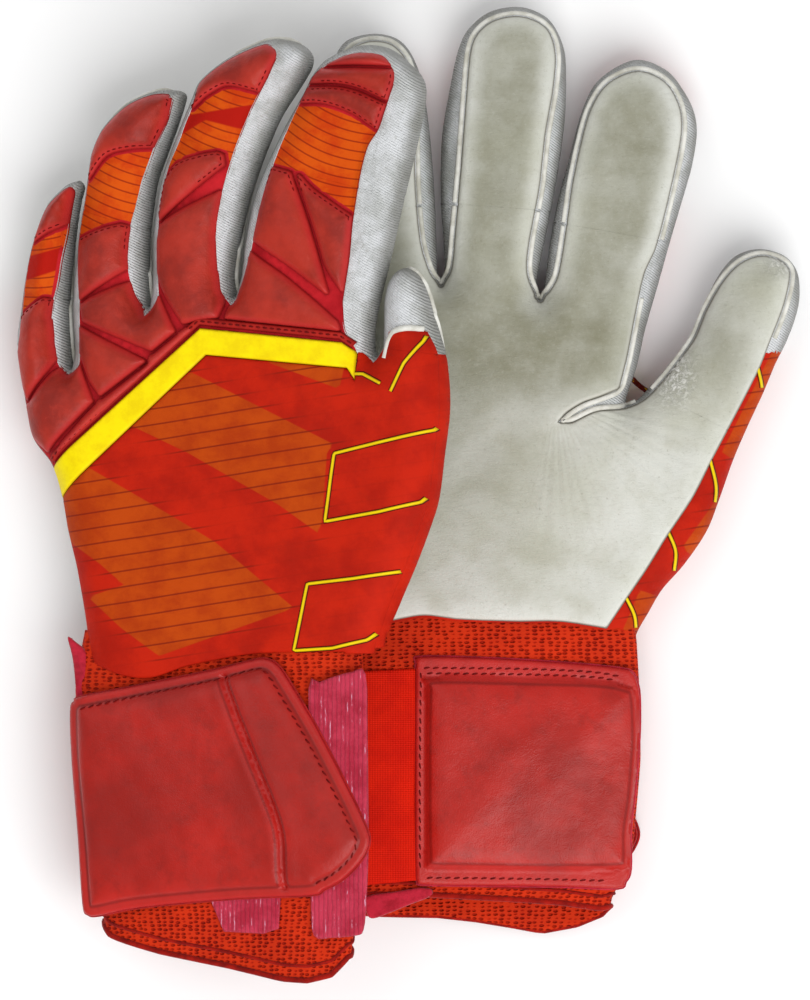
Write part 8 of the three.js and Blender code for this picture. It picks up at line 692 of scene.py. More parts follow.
def mat_floor():
    """The base knit under the pads: painted shade darkens it next to the pads and along its edge, orange with fine
    stripes where it stretches.
    """
    k = M("stretch_knit", rough=0.72, spec=0.08)
    lp, gp, dp = k.attr("lp", True), k.attr("gp", True), k.attr("dp")
    c = k.mix(k.mapr(k.noise(lp, 0.9, 4, 0.6), 0.35, 0.7), (196, 34, 42), (164, 22, 30))
    # Painted shade in the grooves next to the pads.
    c = k.mix(k.mapr(dp, 0.0, 0.8, 0.6, 0.0), c, (138, 20, 26))
    o = k.mix(k.mapr(k.noise(gp, 3.5, 4, 0.65), 0.4, 0.66), (214, 84, 12), (200, 62, 10))
    line = k.wave(k.attr("arc", True), 1.1, 0.25, "X", "SIN", 0.6)
    o = k.mix(k.mapr(line, 0.90, 0.98, 0.0, 0.75), o, (134, 28, 10))
    o = k.mix(k.mapr(k.attr("rb"), -0.3, 0.3), o, (176, 24, 12))
    c = k.mix(k.math("MULTIPLY", k.mapr(dp, 0.75, 1.0), k.mapr(k.attr("oz"), -0.2, 0.2)), c, o)
    # Painted shade along the knit's edge, where it steps down to the side walls.
    c = k.mix(k.mapr(k.attr("sd"), 0.0, 0.5, 0.8, 0.0), c, (120, 20, 12))
    k.color(c)
    k.bump(k.wave(k.vec(lp, (1, 1, 1), (0, 0, 0.3)), 11.0, 0.4, "Y"), 0.0002, 0.3)
    k.bump(k.noise(lp, 26.0, 3, 0.7), 0.0003, 0.3)
    return k.m


def mat_print():
    k = M("printed_fabric", rough=0.62, spec=0.08)
    lp, gp = k.attr("lp", True), k.attr("gp", True)
    red = k.mix(k.mapr(k.noise(gp, 2.2, 4, 0.6), 0.36, 0.68), (190, 32, 8), (166, 24, 7))
    org = k.mix(k.mapr(k.noise(gp, 2.8, 5, 0.65), 0.38, 0.66), (186, 68, 6), (170, 54, 5))
    sv = k.vec(gp, (1, 1, 1), (0, 0, math.radians(9)))
    line = k.wave(sv, 2.02, 0.5, "Y", "SIN", 0.35)
    stripe = k.mapr(line, 0.955, 0.992, 0.0, 0.75)
    f = k.mapr(k.attr("so"), -0.25, 0.25)
    c = k.mix(f, red, org)
    c = k.mix(k.math("MULTIPLY", stripe, k.mapr(k.attr("so"), -5.0, 0.3, 0.10, 1.0)), c, (118, 24, 8))
    grime = k.mapr(k.noise(gp, 1.1, 6, 0.7, 0.4), 0.52, 0.74, 0.0, 0.5)
    c = k.mix(k.math("MULTIPLY", grime, 0.6), c, (140, 30, 10))
    k.color(c)
    k.bump(k.wave(k.vec(lp, (1, 1, 1), (0, 0, 0.78)), 12.0, 0.3, "X"), 0.00016, 0.25)
    k.bump(k.noise(lp, 3.2, 4, 0.6), 0.0008, 0.2)
    k.bump(k.noise(lp, 40.0, 2, 0.6), 0.0002, 0.3)
    return k.m


def mat_plain(name, a, b, rough=0.6, sheen=0.0, scale=3.0, grain=30.0, bump=0.3, edge=None):
    k = M(name, rough=rough, sheen=sheen, spec=0.1)
    lp = k.attr("lp", True)
    c = k.mix(k.mapr(k.noise(lp, scale, 4, 0.65), 0.36, 0.68), a, b)
    # edge: a colour for painted shade along the piece's edges, where ed is small.
    if edge:
        c = k.mix(k.mapr(k.attr("ed"), 0.0, 0.7, 0.8, 0.0), c, edge)
    k.color(c)
    k.bump(k.noise(lp, grain, 3, 0.7), 0.0003, bump)
    return k.m


def mat_strap():
    k = M("strap_pad", rough=0.36, spec=0.30)
    lp, ed = k.attr("lp", True), k.attr("ed")
    c = k.mix(k.mapr(k.noise(lp, 0.28, 4, 0.55), 0.38, 0.66), (176, 26, 15), (146, 21, 12))
    c = k.mix(k.mapr(k.noise(lp, 1.3, 6, 0.7), 0.44, 0.74, 0.0, 0.55), c, (130, 20, 12))
    # Pinker band near the edges: partly the pad's own colour, partly painted highlight on the rounded edge.
    c = k.mix(k.mapr(ed, 0.9, 6.0, 0.35, 0.0), c, (196, 40, 38))
    c = k.mix(k.mapr(ed, 0.0, 0.8, 0.7, 0.0), c, (176, 34, 38))
    # Painted shade: a dark line in the crease where the puffed pad meets its flat border.
    c = k.mix(k.math("MULTIPLY", k.mapr(ed, 2.1, 2.8, 0.0, 0.5), k.mapr(ed, 2.9, 3.7, 1.0, 0.0)), c, (92, 12, 9))
    c = k.mix(k.mapr(k.noise(lp, 11.0, 6, 0.8), 0.62, 0.78, 0.0, 0.6), c, (88, 16, 14))
    k.color(c)
    k.rough(k.mapr(k.noise(lp, 1.2, 5, 0.65), 0.3, 0.7, 0.30, 0.44))
    k.bump(k.cells(lp, 22.0), 0.00016, 0.25)
    k.bump(k.noise(lp, 2.2, 4, 0.6), 0.0010, 0.22)
    return k.m


def mat_mesh():
    k = M("knit_mesh", rough=0.72, spec=0.08)
    lp = k.attr("cp", True)
    hole = k.cells(k.vec(lp, (0.72, 1.35, 1)), 6.4, "F1", "Distance", 0.34)
    c = k.mix(k.mapr(k.noise(lp, 0.8, 4, 0.6), 0.35, 0.68), (196, 40, 11), (166, 26, 8))
    # Painted shade in the knit's hollows and painted highlight on its raised cells, both following the hole bump.
    c = k.mix(k.mapr(hole, 0.04, 0.30, 0.5, 0.0), c, (134, 16, 7))
    c = k.mix(k.mapr(hole, 0.34, 0.5, 0.0, 0.5), c, (208, 56, 18))
    k.color(c)
    k.bump(k.mapr(hole, 0.10, 0.42), 0.0011, 0.9)
    k.bump(k.noise(lp, 30.0, 3, 0.7), 0.0003, 0.4)
    return k.m


def mat_loop():
    k = M("loop_pile", rough=0.85, sheen=0.1, spec=0.1)
    lp = k.attr("lp", True)
    c = k.mix(k.mapr(k.noise(lp, 1.4, 5, 0.65), 0.36, 0.68), (226, 62, 92), (196, 36, 64))
    col = k.wave(lp, 2.3, 1.6, "X", "SIN", 2.0)
    # Painted shade in the troughs between the pile's ridges, and painted highlight dashes on the ridges.
    c = k.mix(k.mapr(col, 0.0, 0.35, 0.35, 0.0), c, (120, 14, 36))
    c = k.mix(k.math("MULTIPLY", k.mapr(col, 0.82, 1.0), k.mapr(k.noise(k.vec(lp, (2.2, 0.5, 1)), 2.2, 4, 0.7), 0.54, 0.66)), c, (244, 196, 224))
    k.color(c)
    k.bump(col, 0.0005, 0.35)
    k.bump(k.noise(lp, 24.0, 5, 0.8), 0.0012, 0.8)
    return k.m


def mat_elastic():
    k = M("elastic_web", rough=0.6, spec=0.1)
    lp = k.attr("lp", True)
    c = k.mix(k.mapr(k.noise(lp, 0.7, 4, 0.6), 0.36, 0.68), (236, 34, 6), (214, 24, 5))
    rib = k.wave(lp, 6.4, 0.1, "X")
    cross = k.wave(lp, 5.0, 0.15, "Y")
    # Painted shade in the troughs of the ribs and cross ribs.
    c = k.mix(k.mapr(rib, 0.0, 0.35, 0.5, 0.0), c, (178, 24, 8))
    c = k.mix(k.mapr(cross, 0.0, 0.25, 0.3, 0.0), c, (166, 20, 8))
    k.color(c)
    k.bump(rib, 0.0004, 0.5)
    k.bump(cross, 0.0003, 0.35)
    return k.m


MAT = {
    "palm": mat_palm(),
    "gusset": mat_gusset(),
    "pad": mat_pad(),
    "floor": mat_floor(),
    "print": mat_print(),
    # The last colour of trim_yellow, trim_rim and latex_roll is painted shade along their edges.
    "yellow": mat_plain("trim_yellow", (246, 224, 0), (234, 206, 0), 0.42, 0.0, 1.6, 26.0, 0.15, (190, 150, 10)),
    "rim": mat_plain("trim_rim", (172, 36, 28), (146, 26, 22), 0.6, 0.0, 2.0, 30.0, 0.3, (128, 16, 16)),
    "outline": mat_plain("print_outline", (92, 22, 12), (70, 14, 8), 0.6, 0.0, 2.0, 30.0, 0.2),
    "strap": mat_strap(),
    "mesh": mat_mesh(),
    "loop": mat_loop(),
    "elastic": mat_elastic(),
    "thread_red": mat_plain("thread_red", (120, 12, 10), (88, 7, 8), 0.5, 0.0, 4.0, 60.0, 0.3),
    "thread_pale": mat_plain("thread_pale", (224, 220, 208), (196, 190, 172), 0.5, 0.0, 4.0, 60.0, 0.3),
    "binding": mat_plain("binding", (172, 30, 30), (140, 20, 22), 0.65, 0.08, 2.4, 22.0, 0.5),
    "pink": mat_plain("pull_tab", (190, 34, 56), (156, 20, 38), 0.7, 0.15, 2.4, 22.0, 0.6),
    "hem": mat_plain("hem_knit", (160, 20, 6), (118, 10, 5), 0.75, 0.06, 2.4, 16.0, 0.9),
    "lining": mat_plain("lining", (150, 30, 22), (118, 20, 18), 0.85, 0.2, 1.2, 20.0, 0.5),
    "piping": mat_plain("latex_roll", (222, 221, 214), (190, 188, 176), 0.75, 0.0, 1.6, 24.0, 0.35, (150, 144, 128)),
}


# ---------------------------------------------------------------- printed design, in sheet units of the left glove
ORANGE = [
    [(190.7, 372), (335, 445), (327, 451), (322, 521), (318, 533), (279, 505), (188, 453), (132, 426)],
    [(59.5, 491), (84, 465), (172, 516), (215, 542), (294, 608), (159, 656), (121, 628), (88, 597), (124, 585), (100, 564), (70, 542), (57, 513)],
    [(266, 361.5), (345, 364), (339, 389)],
]
SIDE_ORANGE = [[(772, 352), (800, 352), (800, 430), (748, 470), (722, 452)], [(716, 500), (745, 520), (705, 565), (682, 548)], [(640, 590), (668, 600), (650, 650), (622, 632)]]
LINES_LEFT = {
    "upper_bracket": [(440, 418), (428, 430), (378, 442), (332.7, 453.4), (323.3, 521.4), (378, 511.5), (415.7, 502.2), (424, 494)],
    "lower_bracket": [(404, 563), (394.3, 571.8), (351.4, 578.5), (305.9, 583.9), (291.2, 650.8), (330, 648.2), (362.2, 640.1), (374, 630)],
    "thumb_line": [(424, 327), (418.4, 341.4), (402.3, 362.9), (389, 391)],
    "band_tail": [(338, 346), (342.9, 356.2), (350.9, 360.2), (348.8, 373.6), (359.5, 373.6), (378.2, 383)],
}
LINES_RIGHT_SIDE = [[(758, 366), (763, 388), (759, 400)], [(710, 458), (717, 489), (713, 520)], [(668, 531), (676, 551), (675, 571)], [(626, 597), (635, 616), (637, 634)]]


STRETCH = [
    [(8, 232), (66, 200), (60, 245), (50, 303), (8, 316)],
    [(62, 140), (174, 128), (150, 210), (125, 246), (62, 252)],
    [(146, 104), (280, 74), (240, 160), (217, 172), (146, 202)],
    [(258, 100), (398, 78), (366, 200), (352, 219), (300, 186), (256, 178)],
]


RED_BAND = [
    [(8, 262), (66, 246), (64, 268), (8, 286)],
    [(170, 118), (280, 100), (262, 132), (236, 128), (205, 120), (176, 138)],
]


def arc_of(gp):
    """Distance up the fingers in mm, bowed across them, for the stripes that wrap round the stall."""
    q = gp[:, :2] * 100
    out = np.zeros(len(q))
    best = np.full(len(q), 1e9)
    for (x0, y0), (x1, y1) in (((48, 330), (30, 215)), ((75, 300), (130, 130)), ((150, 260), (225, 70)), ((275, 250), (345, 70))):
        t = np.array([x1 - x0, y1 - y0], float)
        t /= np.linalg.norm(t)
        v = q - (x0, y0)
        along, across = v @ t, v @ np.array([-t[1], t[0]])
        on = np.abs(across) < best
        out = np.where(on, along - 0.004 * across**2 + 0.10 * across, out)
        best = np.where(on, np.abs(across), best)
    return out * UNIT / 10


def signed(P, polys):
    d = dist(P, polys)
    ins = np.zeros(len(P), bool)
    for p in polys:
        ins |= inside(P, [p])
    return np.where(ins, d, -d)


def orange_of(side, gp):
    return signed(gp[:, :2] * 100, ORANGE) * UNIT


def fan_of(P, side):
    """Creases that spread from the crotch of the thumb over the palm."""
    c = np.array([556.0, 398.0])
    q = plan("right", [c])[0] if side == "right" else plan("left", [(330, 380)])[0]
    v = P - q
    r, a = np.hypot(v[:, 0], v[:, 1]), np.arctan2(v[:, 1], v[:, 0])
    on = ease((r - 5) / 8) * (1 - ease((r - 34) / 22)) * ease((a + 1.9) / 0.35) * (1 - ease((a + 0.35) / 0.45))
    return r, a, on


def palm_e(side):
    R = SIDES[side]
    hollow = plan("right", [(470, 500)])[0] if side == "right" else plan("left", [(240, 500)])[0]
    ball = plan("right", [(640, 500)])[0] if side == "right" else plan("left", [(350, 470)])[0]

    def f(P, d):
        b = R.base(P)
        g = np.exp(-(((P[:, 0] - hollow[0]) / 26) ** 2 + ((P[:, 1] - hollow[1]) / 34) ** 2))
        m = np.exp(-(((P[:, 0] - ball[0]) / 17) ** 2 + ((P[:, 1] - ball[1]) / 26) ** 2))
        r, a, on = fan_of(P, side)
        cr = on * 0.06 * np.sin(a * 44 + 0.05 * r + 0.8 * np.sin(r * 0.16))
        return -(b - 0.35 + 1.55 * prof(d / 1.5) - 1.5 * g + 0.9 * m + cr + wob(P, 0.28, 0.4) * ease(d / 4))

    return f


def palm_attrs(side, P, V, d, e):
    r, a, on = fan_of(P, side)
    px = sheet_units(V)
    scuff = np.zeros(len(P))
    # wear rises away from the edges and in listed patches on the right palm, which is dirt and partly painted shade. It
    # also rises towards the top of the sheet and is cut back over the heel, which is painted shade.
    wear = 0.30 * ease((d - 1.0) / 7) + 0.42 * ease((d - 1.2) / 5) * ease((330 - px[:, 1]) / 90)
    if side == "right":
        for cx, cy, sx, sy, k in ((672, 372, 17, 26, 1.0), (664, 330, 12, 16, 0.6), (784, 262, 16, 12, 0.7), (640, 64, 26, 8, 0.5), (376, 360, 12, 20, 0.4)):
            scuff = np.maximum(scuff, k * np.exp(-(((px[:, 0] - cx) / sx) ** 2 + ((px[:, 1] - cy) / sy) ** 2)))
        for cx, cy, sx, sy, k in ((508, 110, 38, 110, 0.15), (640, 160, 32, 90, 0.2), (385, 130, 26, 110, 0.1), (490, 345, 120, 70, 0.62), (600, 350, 70, 70, 0.45), (720, 350, 40, 60, 0.45), (470, 470, 110, 60, 0.22)):
            wear = wear + k * np.exp(-(((px[:, 0] - cx) / sx) ** 2 + ((px[:, 1] - cy) / sy) ** 2))
        wear = wear * (1 - 0.7 * np.exp(-(((px[:, 0] - 640) / 90) ** 2 + ((px[:, 1] - 520) / 110) ** 2)))
    fan = np.stack([a * 2.2, np.zeros_like(a), np.zeros_like(a)], -1)
    return attrs_of(side, P, V, d, e, wear=np.clip(wear, 0, 1), scuff=scuff, crease=on, fan=fan)


def back_cap(side, e):
    return np.minimum(e, 11.68) if side == "right" else e


def floor_e(side):
    R = SIDES[side]
    return lambda P, d: back_cap(side, R.base(P) - 0.75 * ease(d / 1.6) + 0.10)


def panel_e(side):
    R = SIDES[side]
    return lambda P, d: back_cap(side, R.base(P) - 0.15 + 0.75 * prof(d / 1.1) + wob(P, 0.22, 1.3) * ease(d / 5))


def tube(side, L, e, r, n=8, closed=False, flat=1.0):
    """A round roll along plan line L at heights e."""
    L, e = np.asarray(L, float), np.broadcast_to(np.asarray(e, float), len(L))
    t = np.roll(L, -1, 0) - np.roll(L, 1, 0)
    if not closed:
        t[0], t[-1] = L[1] - L[0], L[-1] - L[-2]
    t /= np.maximum(np.linalg.norm(t, axis=1)[:, None], 1e-9)
    nr = np.stack([-t[:, 1], t[:, 0]], -1)
    a = np.arange(n) * 2 * math.pi / n
    rr = np.broadcast_to(np.asarray(r, float), len(L))
    X = L[:, None, :] + nr[:, None, :] * (rr[:, None, None] * np.cos(a)[None, :, None])
    E = e[:, None] + rr[:, None] * flat * np.sin(a)[None]
    P, E = X.reshape(-1, 2), E.reshape(-1)
    m = len(L)
    F = []
    for i in range(m if closed else m - 1):
        j = (i + 1) % m
        for k in range(n):
            q = (k + 1) % n
            F += [(i * n + k, j * n + k, j * n + q), (i * n + k, j * n + q, i * n + q)]
    if not closed:
        P = np.concatenate([P, L[:1], L[-1:]])
        E = np.concatenate([E, e[:1], e[-1:]])
        c0, c1 = m * n, m * n + 1
        for k in range(n):
            q = (k + 1) % n
            F += [(c0, k, q), (c1, (m - 1) * n + q, (m - 1) * n + k)]
    V = place(side, P[:, 0], P[:, 1], E)
    F = np.array(F)
    vol = (V[F[:, 0]] * np.cross(V[F[:, 1]], V[F[:, 2]])).sum()
    if vol < 0:
        F = F[:, ::-1]
    ed = np.full(len(V), 1.0)
    return V, F, attrs_of(side, P, V, ed, E)


def ribbon(side, L, width, efun, way, lift=0.18, rise=0.22, thick=0.4):
    """A strip that follows the surface below it."""
    L = resample_open(L, 0.8)
    t = np.gradient(L, axis=0)
    t /= np.maximum(np.linalg.norm(t, axis=1)[:, None], 1e-9)
    nr = np.stack([-t[:, 1], t[:, 0]], -1)
    s = np.linspace(-1, 1, 7)
    P = (L[:, None] + nr[:, None] * (s[None, :, None] * width / 2)).reshape(-1, 2)
    e = efun(P) + way * (lift + rise * np.tile(np.sqrt(np.maximum(0, 1 - s**4)), len(L)))
    m, n = len(L), len(s)
    F = []
    for i in range(m - 1):
        for k in range(n - 1):
            a = i * n + k
            F += [(a, a + n, a + n + 1), (a, a + n + 1, a + 1)]
    V = place(side, P[:, 0], P[:, 1], e)
    F = oriented(V, np.array(F), SIDES[side].up * way)
    at = attrs_of(side, P, V, np.tile((1 - np.abs(s)) * width / 2, m), e)
    return thicken(V, F, thick / 1000, at)


def stitches(heap, side, L, efun, way, pitch=2.3, length=1.5, r=0.24, lean=0.0, lift=0.1):
    """Thread between needle holes: short round capsules that sink at both ends."""
    L = np.asarray(L, float)
    s = np.concatenate([[0], np.cumsum(np.linalg.norm(np.diff(L, axis=0), axis=1))])
    n = int((s[-1] - length) // pitch)
    for i in range(max(0, n + 1)):
        q = np.linspace(i * pitch, i * pitch + length, 6) + 0.2
        if q[-1] > s[-1]:
            break
        c = np.stack([np.interp(q, s, L[:, 0]), np.interp(q, s, L[:, 1])], -1)
        if lean:
            t = c[-1] - c[0]
            c = c + np.linspace(-0.5, 0.5, 6)[:, None] * lean * np.array([-t[1], t[0]])
        k = np.linspace(0, 1, 6)
        rr = r * np.sqrt(np.clip(1 - (2 * k - 1) ** 4, 0.06, 1))
        e = efun(c) + way * (lift + 0.22 * np.sin(k * math.pi) - 0.12)
        V, F, at = tube(side, c, e, rr, 6)
        heap.add(V, F, at)


def runs_on(contour, outline, tol=0.16):
    """Stretches of a closed outline that lie on another one."""
    c = resample(contour, 0.9)
    on = dist(c, outline) < tol
    if on.all():
        return [np.concatenate([c, c[:1]])]
    k = int(np.argmin(on))
    c, on = np.roll(c, -k, 0), np.roll(on, -k)
    out, cur = [], []
    for p, o in zip(c, on):
        if o:
            cur.append(p)
        else:
            if len(cur) > 6:
                out.append(np.array(cur))
            cur = []
    if len(cur) > 6:
        out.append(np.array(cur))
    return out


def offset_line(L, d, outline, outward=True):
    t = np.gradient(L, axis=0)
    t /= np.maximum(np.linalg.norm(t, axis=1)[:, None], 1e-9)
    n = np.stack([-t[:, 1], t[:, 0]], -1)
    q = L + n * d
    ins = inside(q, outline)
    flip = ins.mean() > 0.5
    if flip == outward:
        q = L - n * d
    return q


SEEDS = {
    "right": {"side_gusset_little": (295, 480), "web_little_ring": (349, 346), "web_ring_middle": (441, 290), "web_middle_index": (541, 306), "web_index_thumb": (630, 410), "side_gusset_thumb": (700, 540)},
    "left": {"side_gusset_little": (45, 465), "web_little_ring": (62, 374), "web_ring_middle": (144, 313), "web_middle_index": (227, 303), "web_index_thumb": (366, 362), "side_gusset_thumb": (425, 500)},
}


def weld(parts):
    """Joins faces that share points along the glove's edge."""
    V = np.concatenate([p[1] for p in parts])
    P = np.concatenate([p[0] for p in parts])
    e = np.concatenate([p[3] for p in parts])
    n, F = 0, []
    for p in parts:
        F.append(p[2] + n)
        n += len(p[1])
    F = np.concatenate(F)
    key = np.round(V * 1e5).astype(np.int64)
    near = np.abs(e) < 1e-3
    key[~near, 2] += 10**9 + np.arange((~near).sum())
    _, first, inv = np.unique(key, axis=0, return_index=True, return_inverse=True)
    inv = inv.reshape(-1)
    F = inv[F]
    F = F[(F[:, 0] != F[:, 1]) & (F[:, 1] != F[:, 2]) & (F[:, 0] != F[:, 2])]
    return P[first], V[first], F, e[first]


def gusset(side, tops, bottoms):
    """Side wall of a stall: its back half and palm half meet along the glove's edge."""
    R = SIDES[side]
    parts = []
    for way, regs in ((1, tops), (-1, bottoms)):
        for c in regs:
            loop = R.snap_loop(c)
            if len(loop) < 4:
                continue

            def ef(P, d, way=way):
                ds = R.ds(P)
                puff = 0.35 * np.sin(np.clip(ds / 9, 0, 1) * math.pi) + (wob(P, 0.42, 3.1 + way) + 0.20 * np.sin(P[:, 0] * 0.9 + P[:, 1] * 1.3) * np.cos(P[:, 1] * 0.55)) * ease(ds / 2.5) * ease(d / 1.4)
                e = (R.base(P, ds) * (9.95 / 10.2) + puff) * way
                return np.where(ds < 0.02, 0.0, back_cap(side, e))

            P, V, F, d, e = skin(side, [c], ef, way, step=1.7, rings=(0.2, 0.55, 1.1, 1.9), loops=[loop])
            parts.append((P, V, F, e))
    if not parts:
        return None
    P, V, F, e = weld(parts)
    at = attrs_of(side, P, V, np.maximum(R.ds(P), 0), e)
    at["so"] = signed(sheet_units(V), SIDE_ORANGE) * UNIT if side == "right" else orange_of(side, at["gp"])
    if side == "right":
        at["gp"] = np.concatenate([sheet_units(V) / 100, np.zeros((len(V), 1))], 1)
    return thicken(V, F, 0.0007, at)


def nearest_node(side, contour):
    c = np.asarray(contour, float)
    best = None
    for k, s in SEEDS[side].items():
        q = plan(side, [s])[0]
        d = np.linalg.norm(c - q, axis=1).min()
        if best is None or d < best[0]:
            best = (d, k)
    return best[1]


SHEETS, PADDED = [], []


def declare_sheet(o, V, F, closed=True):
    a = np.linalg.norm(np.cross(V[F[:, 1]] - V[F[:, 0]], V[F[:, 2]] - V[F[:, 0]]), axis=1).sum() / 2 / (2 if closed else 1)
    ext = V.max(0) - V.min(0)
    w, l = max(0.0105, float(np.hypot(ext[0], ext[2]))), max(0.0105, float(ext[1]))
    if w * l < a:
        k = math.sqrt(a / (w * l)) * 1.001
        w, l = w * k, l * k
    share = a / (w * l)
    while a / (w * l) < 0.31:
        w, l = (w * 0.97, l) if w > l and w > 0.0115 else (w, l * 0.97)
    share = a / (w * l)
    SHEETS.append((o.name, round(w, 4), round(l, 4), round(float(a), 6)))


def build_glove(side):
    R, G = SIDES[side], REG[side]
    BACK, PALM, FLOOR, BAND, PANEL = (G[k] for k in ("BACK", "PALM", "FLOOR", "BAND", "PANEL"))
    fe, pe, le = floor_e(side), panel_e(side), palm_e(side)
    padc = {}
    for zone, c in G["pads"]:
        padc.setdefault(zone, []).append(c[0])
    every_pad = [c[0] for z, c in G["pads"]]
    for zone in ["hand"] + FINGERS:
        Z = G[zone]
        pre = f"{side}_" if zone == "hand" else f"{side}_{zone}_"
        # palm latex
        P, V, F, d, e = skin(side, Z["palm"], le, -1, step=2.0, rings=(0.15, 0.4, 0.8, 1.3, 2.0), edge=PALM)
        V2, F2, at = thicken(V, F, 0.0022, palm_attrs(side, P, V, d, e))
        o = mesh(pre + ("palm_latex_skin" if zone == "hand" else "palm_skin"), V2, F2, MAT["palm"], at)
        bind(o, side, zone, pre + ("palm_latex" if zone == "hand" else "palm_face"))
        declare_sheet(o, V2, F2)
        # rolled edge of the latex
        heap = Heap()
        for c in Z["palm"]:
            for L in runs_on(c, PALM):
                if zone == "hand":
                    u = sheet_units(place(side, L[:, 0], L[:, 1], -10))
                    L = L[(u[:, 1] < 425) & (u[:, 0] < 640)] if side == "right" else L[L[:, 1] > 30]
                    if len(L) < 8 or np.linalg.norm(np.diff(L, axis=0), axis=1).max() > 4:
                        continue
                if side == "right" and zone == "thumb":
                    u = sheet_units(place(side, L[:, 0], L[:, 1], -10))
                    L = L[~((u[:, 1] > 340) & (u[:, 0] > 700))]
                    if len(L) < 8 or np.linalg.norm(np.diff(L, axis=0), axis=1).max() > 4:
                        continue
                q = offset_line(L, 0.75, PALM)
                q = np.stack([np.convolve(np.pad(q[:, k], 2, "edge"), np.ones(5) / 5, "valid") for k in (0, 1)], -1)
                V, F, a = tube(side, q, -(R.base(q) + 0.12), 0.78, 10)
                heap.add(V, F, a)
        if heap.v:
            bind(heap.make(pre + "latex_roll", MAT["piping"]), side, zone, None)
        # stretch knit under the pads
        if "floor" in Z:
            P, V, F, d, e = skin(side, Z["floor"], fe, 1, step=1.7, edge=FLOOR)
            dp = dist(P, every_pad)
            inp = np.zeros(len(P), bool)
            for c in every_pad:
                inp |= inside(P, [c])
            # dp and sd also place the painted shade of stretch_knit next to the pads and along its edge.
            at = attrs_of(side, P, V, d, e, dp=np.where(inp, 0, dp), sd=d)
            at["oz"] = signed(at["gp"][:, :2] * 100, STRETCH) * UNIT
            at["rb"] = signed(at["gp"][:, :2] * 100, RED_BAND) * UNIT
            at["arc"] = np.stack([arc_of(at["gp"]), np.zeros(len(P)), np.zeros(len(P))], -1)
            V2, F2, at = thicken(V, F, 0.0008, at)
            o = mesh(pre + "stretch_knit", V2, F2, MAT["floor"], at)
            bind(o, side, zone, None)
            declare_sheet(o, V2, F2)
        # moulded pads
        if zone in padc:
            heap = Heap()
            for c in padc[zone]:
                P, F = triangulate([c], 1.3, (0.15, 0.4, 0.8, 1.3, 1.9, 2.7), 0.8)
                d = dist(P, [c])
                top = max(d.max(), 1e-3)
                e = R.base(P) - 1.0 + 3.3 * prof(d / 3.6) + 1.0 * (d / top) ** 1.2 * min(1.0, top / 6) + wob(P, 0.14, 2.0)
                e = back_cap(side, e)
                V = place(side, P[:, 0], P[:, 1], e)
                F = oriented(V, F, R.up)
                V, F, at = thicken(V, F, 0.0008, attrs_of(side, P, V, d, e))
                heap.add(V, F, at)
            seams = Heap()
            for c in padc[zone]:
                L = resample(c, 0.7)
                gq = attrs_of(side, L, place(side, L[:, 0], L[:, 1], 10), np.zeros(len(L)), np.zeros(len(L)))["gp"][:, :2] * 100
                near = (signed(gq, STRETCH) * UNIT > -1.9) & (R.ds(L) > 1.6)
                if near.all() or not near.any():
                    continue
                k = int(np.argmin(near))
                L, near = np.roll(L, -k, 0), np.roll(near, -k)
                run = []
                for p, w in list(zip(L, near)) + [(None, False)]:
                    if w:
                        run.append(p)
                    elif run:
                        if len(run) > 7:
                            q = offset_line(np.array(run), 0.95, [c], outward=False)
                            stitches(seams, side, q, lambda X: back_cap(side, R.base(X) - 1.0 + 3.3 * prof(0.95 / 3.6) + 0.05), 1, 2.0, 1.3, 0.2)
                        run = []
            if seams.v:
                if side == "right":
                    for v in seams.v:
                        v[:, 2] = np.maximum(v[:, 2], 0.00002)
                bind(seams.make(pre + "pad_stitches", MAT["thread_red"]), side, zone, None)
            o = heap.make(pre + "pads", MAT["pad"])
            bind(o, side, zone, pre + ("knuckle_pad" if zone == "hand" else "back_pad"))
        # printed back panel
        if "panel" in Z:
            P, V, F, d, e = skin(side, Z["panel"], pe, 1, step=1.8, edge=PANEL)
            at = attrs_of(side, P, V, d, e)
            at["so"] = orange_of(side, at["gp"])
            V2, F2, at = thicken(V, F, 0.0012, at)
            o = mesh(pre + "print_panel", V2, F2, MAT["print"], at)
            bind(o, side, zone, pre + ("backhand_panel" if zone == "hand" else "back_pad"))
            declare_sheet(o, V2, F2)
        if zone == "hand":
            P, V, F, d, e = skin(side, Z["band"], lambda P, d: back_cap(side, R.base(P) + 0.1 + 0.8 * prof(d / 0.8)), 1, step=1.5, rings=(0.15, 0.4, 0.8, 1.3))
            V2, F2, at = thicken(V, F, 0.0012, attrs_of(side, P, V, d, e))
            o = mesh(pre + "trim_band_strip", V2, F2, MAT["yellow"], at)
            bind(o, side, zone, pre + "trim_band")
            declare_sheet(o, V2, F2)
